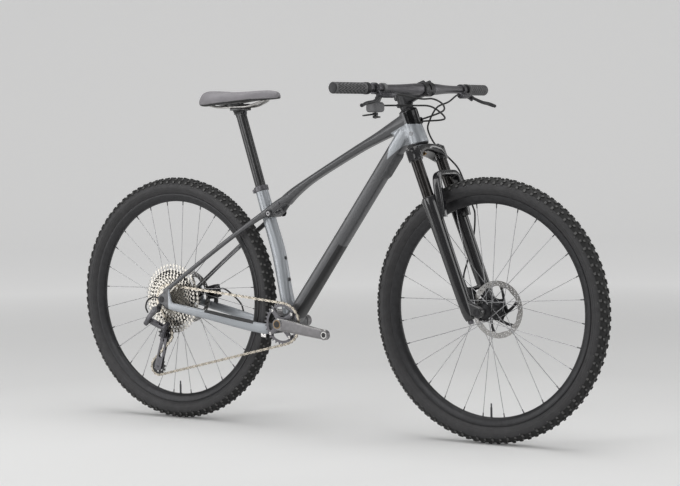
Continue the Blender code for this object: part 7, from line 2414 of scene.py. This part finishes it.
def make_saddle():
    cage = Form()
    cage.skin([saddle_ring(*station) for station in SADDLE_STATIONS])
    made = smoothed(cage, 4)
    made.normal_update()
    for vert in made.verts:
        x, y = vert.co.x - SADDLE_AT.x, vert.co.y
        where = ease((-0.335 - x) / 0.010) * ease((x + 0.412) / 0.008) * ease((0.052 - abs(y)) / 0.008)
        on_top = ease((vert.normal.z - 0.75) / 0.15)
        vert.co.z += RIB_HEIGHT * where * on_top * (0.5 + 0.5 * math.cos(2 * math.pi * x / RIB_PITCH))
    form = Form()
    form.take(made)
    form.bm.normal_update()
    for face in form.bm.faces:
        middle = face.calc_center_median() - SADDLE_AT
        if face.normal.z < -0.35 or middle.z < base_line(middle.x):
            face.material_index = 1
    saddle = form.done("saddle_shell", "seat", [SADDLE_COVER, BLACK_PLASTIC], "saddle", "saddle_cover", sharp=180)


def rail_route():
    side = [
        (-0.392, 0.0330, 0.9505),
        (-0.372, 0.0270, 0.9450),
        (-0.345, 0.022, RAIL_Z),
        (-0.320, 0.022, RAIL_Z),
        (-0.275, 0.022, RAIL_Z),
        (-0.250, 0.0210, 0.9460),
        (-0.222, 0.0150, 0.9540),
        (-0.203, 0.0085, 0.9605),
    ]
    route = side + [(-0.198, 0.0, 0.9625)] + [(x, -y, z) for x, y, z in side[::-1]]
    return [SADDLE_AT + Vector(point) for point in route]


def make_seat():
    rails = Form()
    rails.hose(rail_route(), RAIL_RADIUS, 140, 20)
    rails.done("rails", "seat", ROTOR_STEEL, "saddle_rails", "steel")

    def at(x, y, z):
        return SADDLE_AT + Vector((CLAMP_X + x, y, RAIL_Z + z))

    post = Form()
    foot = seat(SEAT_TUBE_LENGTH - POST_INSERT)
    post.rod(foot, seat(SADDLE_CLAMP_HEIGHT), POST_RADIUS, sides=64, chamfer=0.0008)
    post.tube(
        [seat(0.632), seat(0.640), at(0, 0, -0.0125), at(0, 0, -0.0070)],
        [(0.0150, 0.0150), (0.0156, 0.0156), (0.0225, 0.0180), (0.0262, 0.0195)],
        44,
        2.8,
        Y,
        20,
    )
    post.block(at(0, 0, -0.0070), (0.040, 0.054, 0.0076), bevel=0.0022)
    post.done("post_tube", "seat", POST_COAT, "seatpost", "gloss_black", sharp=40)

    clamp = Form()
    for side in (RIGHT, LEFT):
        clamp.block(at(0, side * 0.0220, 0.0064), (0.034, 0.0120, 0.0056), bevel=0.0022)
    clamp.block(at(0, 0, 0.0060), (0.024, 0.046, 0.0050), bevel=0.0016)
    clamp.block(at(0, 0, 0.0), (0.024, 0.030, 0.0090), bevel=0.0010)
    for x in (-0.0075, 0.0075):
        clamp.bolt(at(x, 0, 0.0080), Z, 0.0040, 0.0030)
    clamp.done("rail_clamp", "seat", SATIN_BLACK, "seatpost_clamp", "satin_black")
    bolts = Form()
    for x in (-0.0180, 0.0180):
        bolts.rod(at(x, 0, -0.0240), at(x, 0, -0.0085), 0.0034, sides=24, chamfer=0.0006)
        bolts.rod(at(x, 0, -0.0225), at(x, 0, -0.0150), 0.0052, sides=24, chamfer=0.0008)
    bolts.done("clamp_bolts", "seat", BOLT_STEEL, slot="steel")


make_saddle()
make_seat()


# Studio
BACKDROP_NEAR = -40.0
BACKDROP_FAR = 10.0
BACKDROP_BEND = 2.0
BACKDROP_TOP = 6.0
BACKDROP_HALF = 40.0
LOOK_AT = Vector((0, 0, 0.5))
FLOOR_COLOUR = (0.74, 0.74, 0.735)
FLOOR_GLOW = 0.04
BACKDROP_GLOW = 0.42
GLOW_FROM = 1.6
GLOW_TO = 5.6


def view_ways():
    """The camera's right, up and backward directions."""
    azimuth, elevation, roll = (math.radians(a) for a in (CAMERA_AZIMUTH, CAMERA_ELEVATION, CAMERA_ROLL))
    back = Vector(
        (math.sin(azimuth) * math.cos(elevation), -math.cos(azimuth) * math.cos(elevation), math.sin(elevation))
    )
    right = Z.cross(back).normalized()
    up = back.cross(right)
    return math.cos(roll) * right + math.sin(roll) * up, math.cos(roll) * up - math.sin(roll) * right, back


def brighten_backdrop(shader):
    """Lifts the paper where it is seen, directly or mirrored, more with distance. It sheds no light on the bike."""
    distance = shader.node("ShaderNodeVectorMath", operation="LENGTH")
    shader.link(shader.place, distance.inputs[0])
    glow = shader.node("ShaderNodeMapRange")
    limits = {"From Min": GLOW_FROM, "From Max": GLOW_TO, "To Min": FLOOR_GLOW, "To Max": BACKDROP_GLOW}
    for socket, value in limits.items():
        glow.inputs[socket].default_value = value
    shader.link(distance.outputs["Value"], glow.inputs["Value"])
    path = shader.node("ShaderNodeLightPath")
    rays = path.outputs["Is Camera Ray"]
    for kind in ("Is Glossy Ray", "Is Transmission Ray"):
        either = shader.node("ShaderNodeMath", operation="MAXIMUM")
        shader.link(rays, either.inputs[0])
        shader.link(path.outputs[kind], either.inputs[1])
        rays = either.outputs["Value"]
    seen = shader.node("ShaderNodeMath", operation="MULTIPLY")
    shader.link(rays, seen.inputs[0])
    shader.link(glow.outputs["Result"], seen.inputs[1])
    shader.shader.inputs["Emission Color"].default_value = (1.0, 1.0, 1.0, 1.0)
    shader.link(seen.outputs["Value"], shader.shader.inputs["Emission Strength"])


def make_floor():
    """A pale floor that bends up into a backdrop behind the bike."""
    back = view_ways()[2]
    away = Vector((-back.x, -back.y, 0)).normalized()
    across = Vector((away.y, -away.x, 0))
    profile = [(BACKDROP_NEAR, 0.0), (BACKDROP_FAR, 0.0)]
    for step in range(1, 25):
        angle = math.pi / 2 * step / 24
        profile.append((BACKDROP_FAR + BACKDROP_BEND * math.sin(angle), BACKDROP_BEND * (1 - math.cos(angle))))
    profile.append((BACKDROP_FAR + BACKDROP_BEND, BACKDROP_TOP))
    bm = bmesh.new()
    rows = []
    for distance, height in profile:
        row = [bm.verts.new(distance * away + side * BACKDROP_HALF * across + height * Z) for side in (-1, 1)]
        rows.append(row)
    for (a, b), (c, d) in zip(rows, rows[1:]):
        bm.faces.new((a, b, d, c))
    bmesh.ops.recalc_face_normals(bm, faces=bm.faces)
    mesh = bpy.data.meshes.new("studio_floor")
    bm.to_mesh(mesh)
    bm.free()
    mesh.shade_smooth()
    shader = Shader("studio_paper", FLOOR_COLOUR, 0.9, Specular_IOR_Level=0.15)
    brighten_backdrop(shader)
    mesh.materials.append(shader.material)
    floor = bpy.data.objects.new("studio_floor", mesh)
    bpy.context.scene.collection.objects.link(floor)


def make_light(name, at, target, size, power):
    lamp = bpy.data.lights.new(name, "AREA")
    lamp.shape = "RECTANGLE"
    lamp.size, lamp.size_y = size
    lamp.energy = power
    obj = bpy.data.objects.new(name, lamp)
    obj.location = at
    obj.rotation_euler = (Vector(target) - Vector(at)).to_track_quat("-Z", "Y").to_euler()
    bpy.context.scene.collection.objects.link(obj)


def make_lights():
    right, _, back = view_ways()
    near = Vector((back.x, back.y, 0)).normalized()
    make_light("overhead", (0, 0, 3.4), LOOK_AT, (4.0, 2.6), 72)
    make_light("key", -2.6 * right + 3.2 * near + 2.6 * Z, LOOK_AT, (2.4, 2.4), 54)
    make_light("fill", 3.2 * right + 2.4 * near + 1.8 * Z, LOOK_AT, (2.4, 2.4), 36)
    make_light("side", -3.4 * right + 0.5 * near + 1.2 * Z, LOOK_AT + 0.2 * Z, (1.6, 2.4), 30)
    make_light("rim", 3.2 * right - 0.8 * near + 1.4 * Z, LOOK_AT + 0.2 * Z, (0.5, 2.4), 11)
    world = bpy.data.worlds.new("studio")
    world.use_nodes = True
    background = next(node for node in world.node_tree.nodes if node.type == "BACKGROUND")
    background.inputs["Color"].default_value = (1.0, 1.0, 1.0, 1)
    background.inputs["Strength"].default_value = 0.22
    bpy.context.scene.world = world


def make_camera():
    right, up, back = view_ways()
    lens = bpy.data.cameras.new("photo_camera")
    lens.sensor_width = SENSOR_WIDTH
    lens.lens = FOCAL_PIXELS * SENSOR_WIDTH / IMAGE_WIDTH
    camera = bpy.data.objects.new("photo_camera", lens)
    turn = Matrix((right, up, back)).transposed().to_4x4()
    camera.matrix_world = Matrix.Translation(CAMERA_AT) @ turn
    bpy.context.scene.collection.objects.link(camera)
    bpy.context.scene.camera = camera


make_floor()
make_lights()
make_camera()
bpy.context.scene.view_settings.view_transform = "Standard"
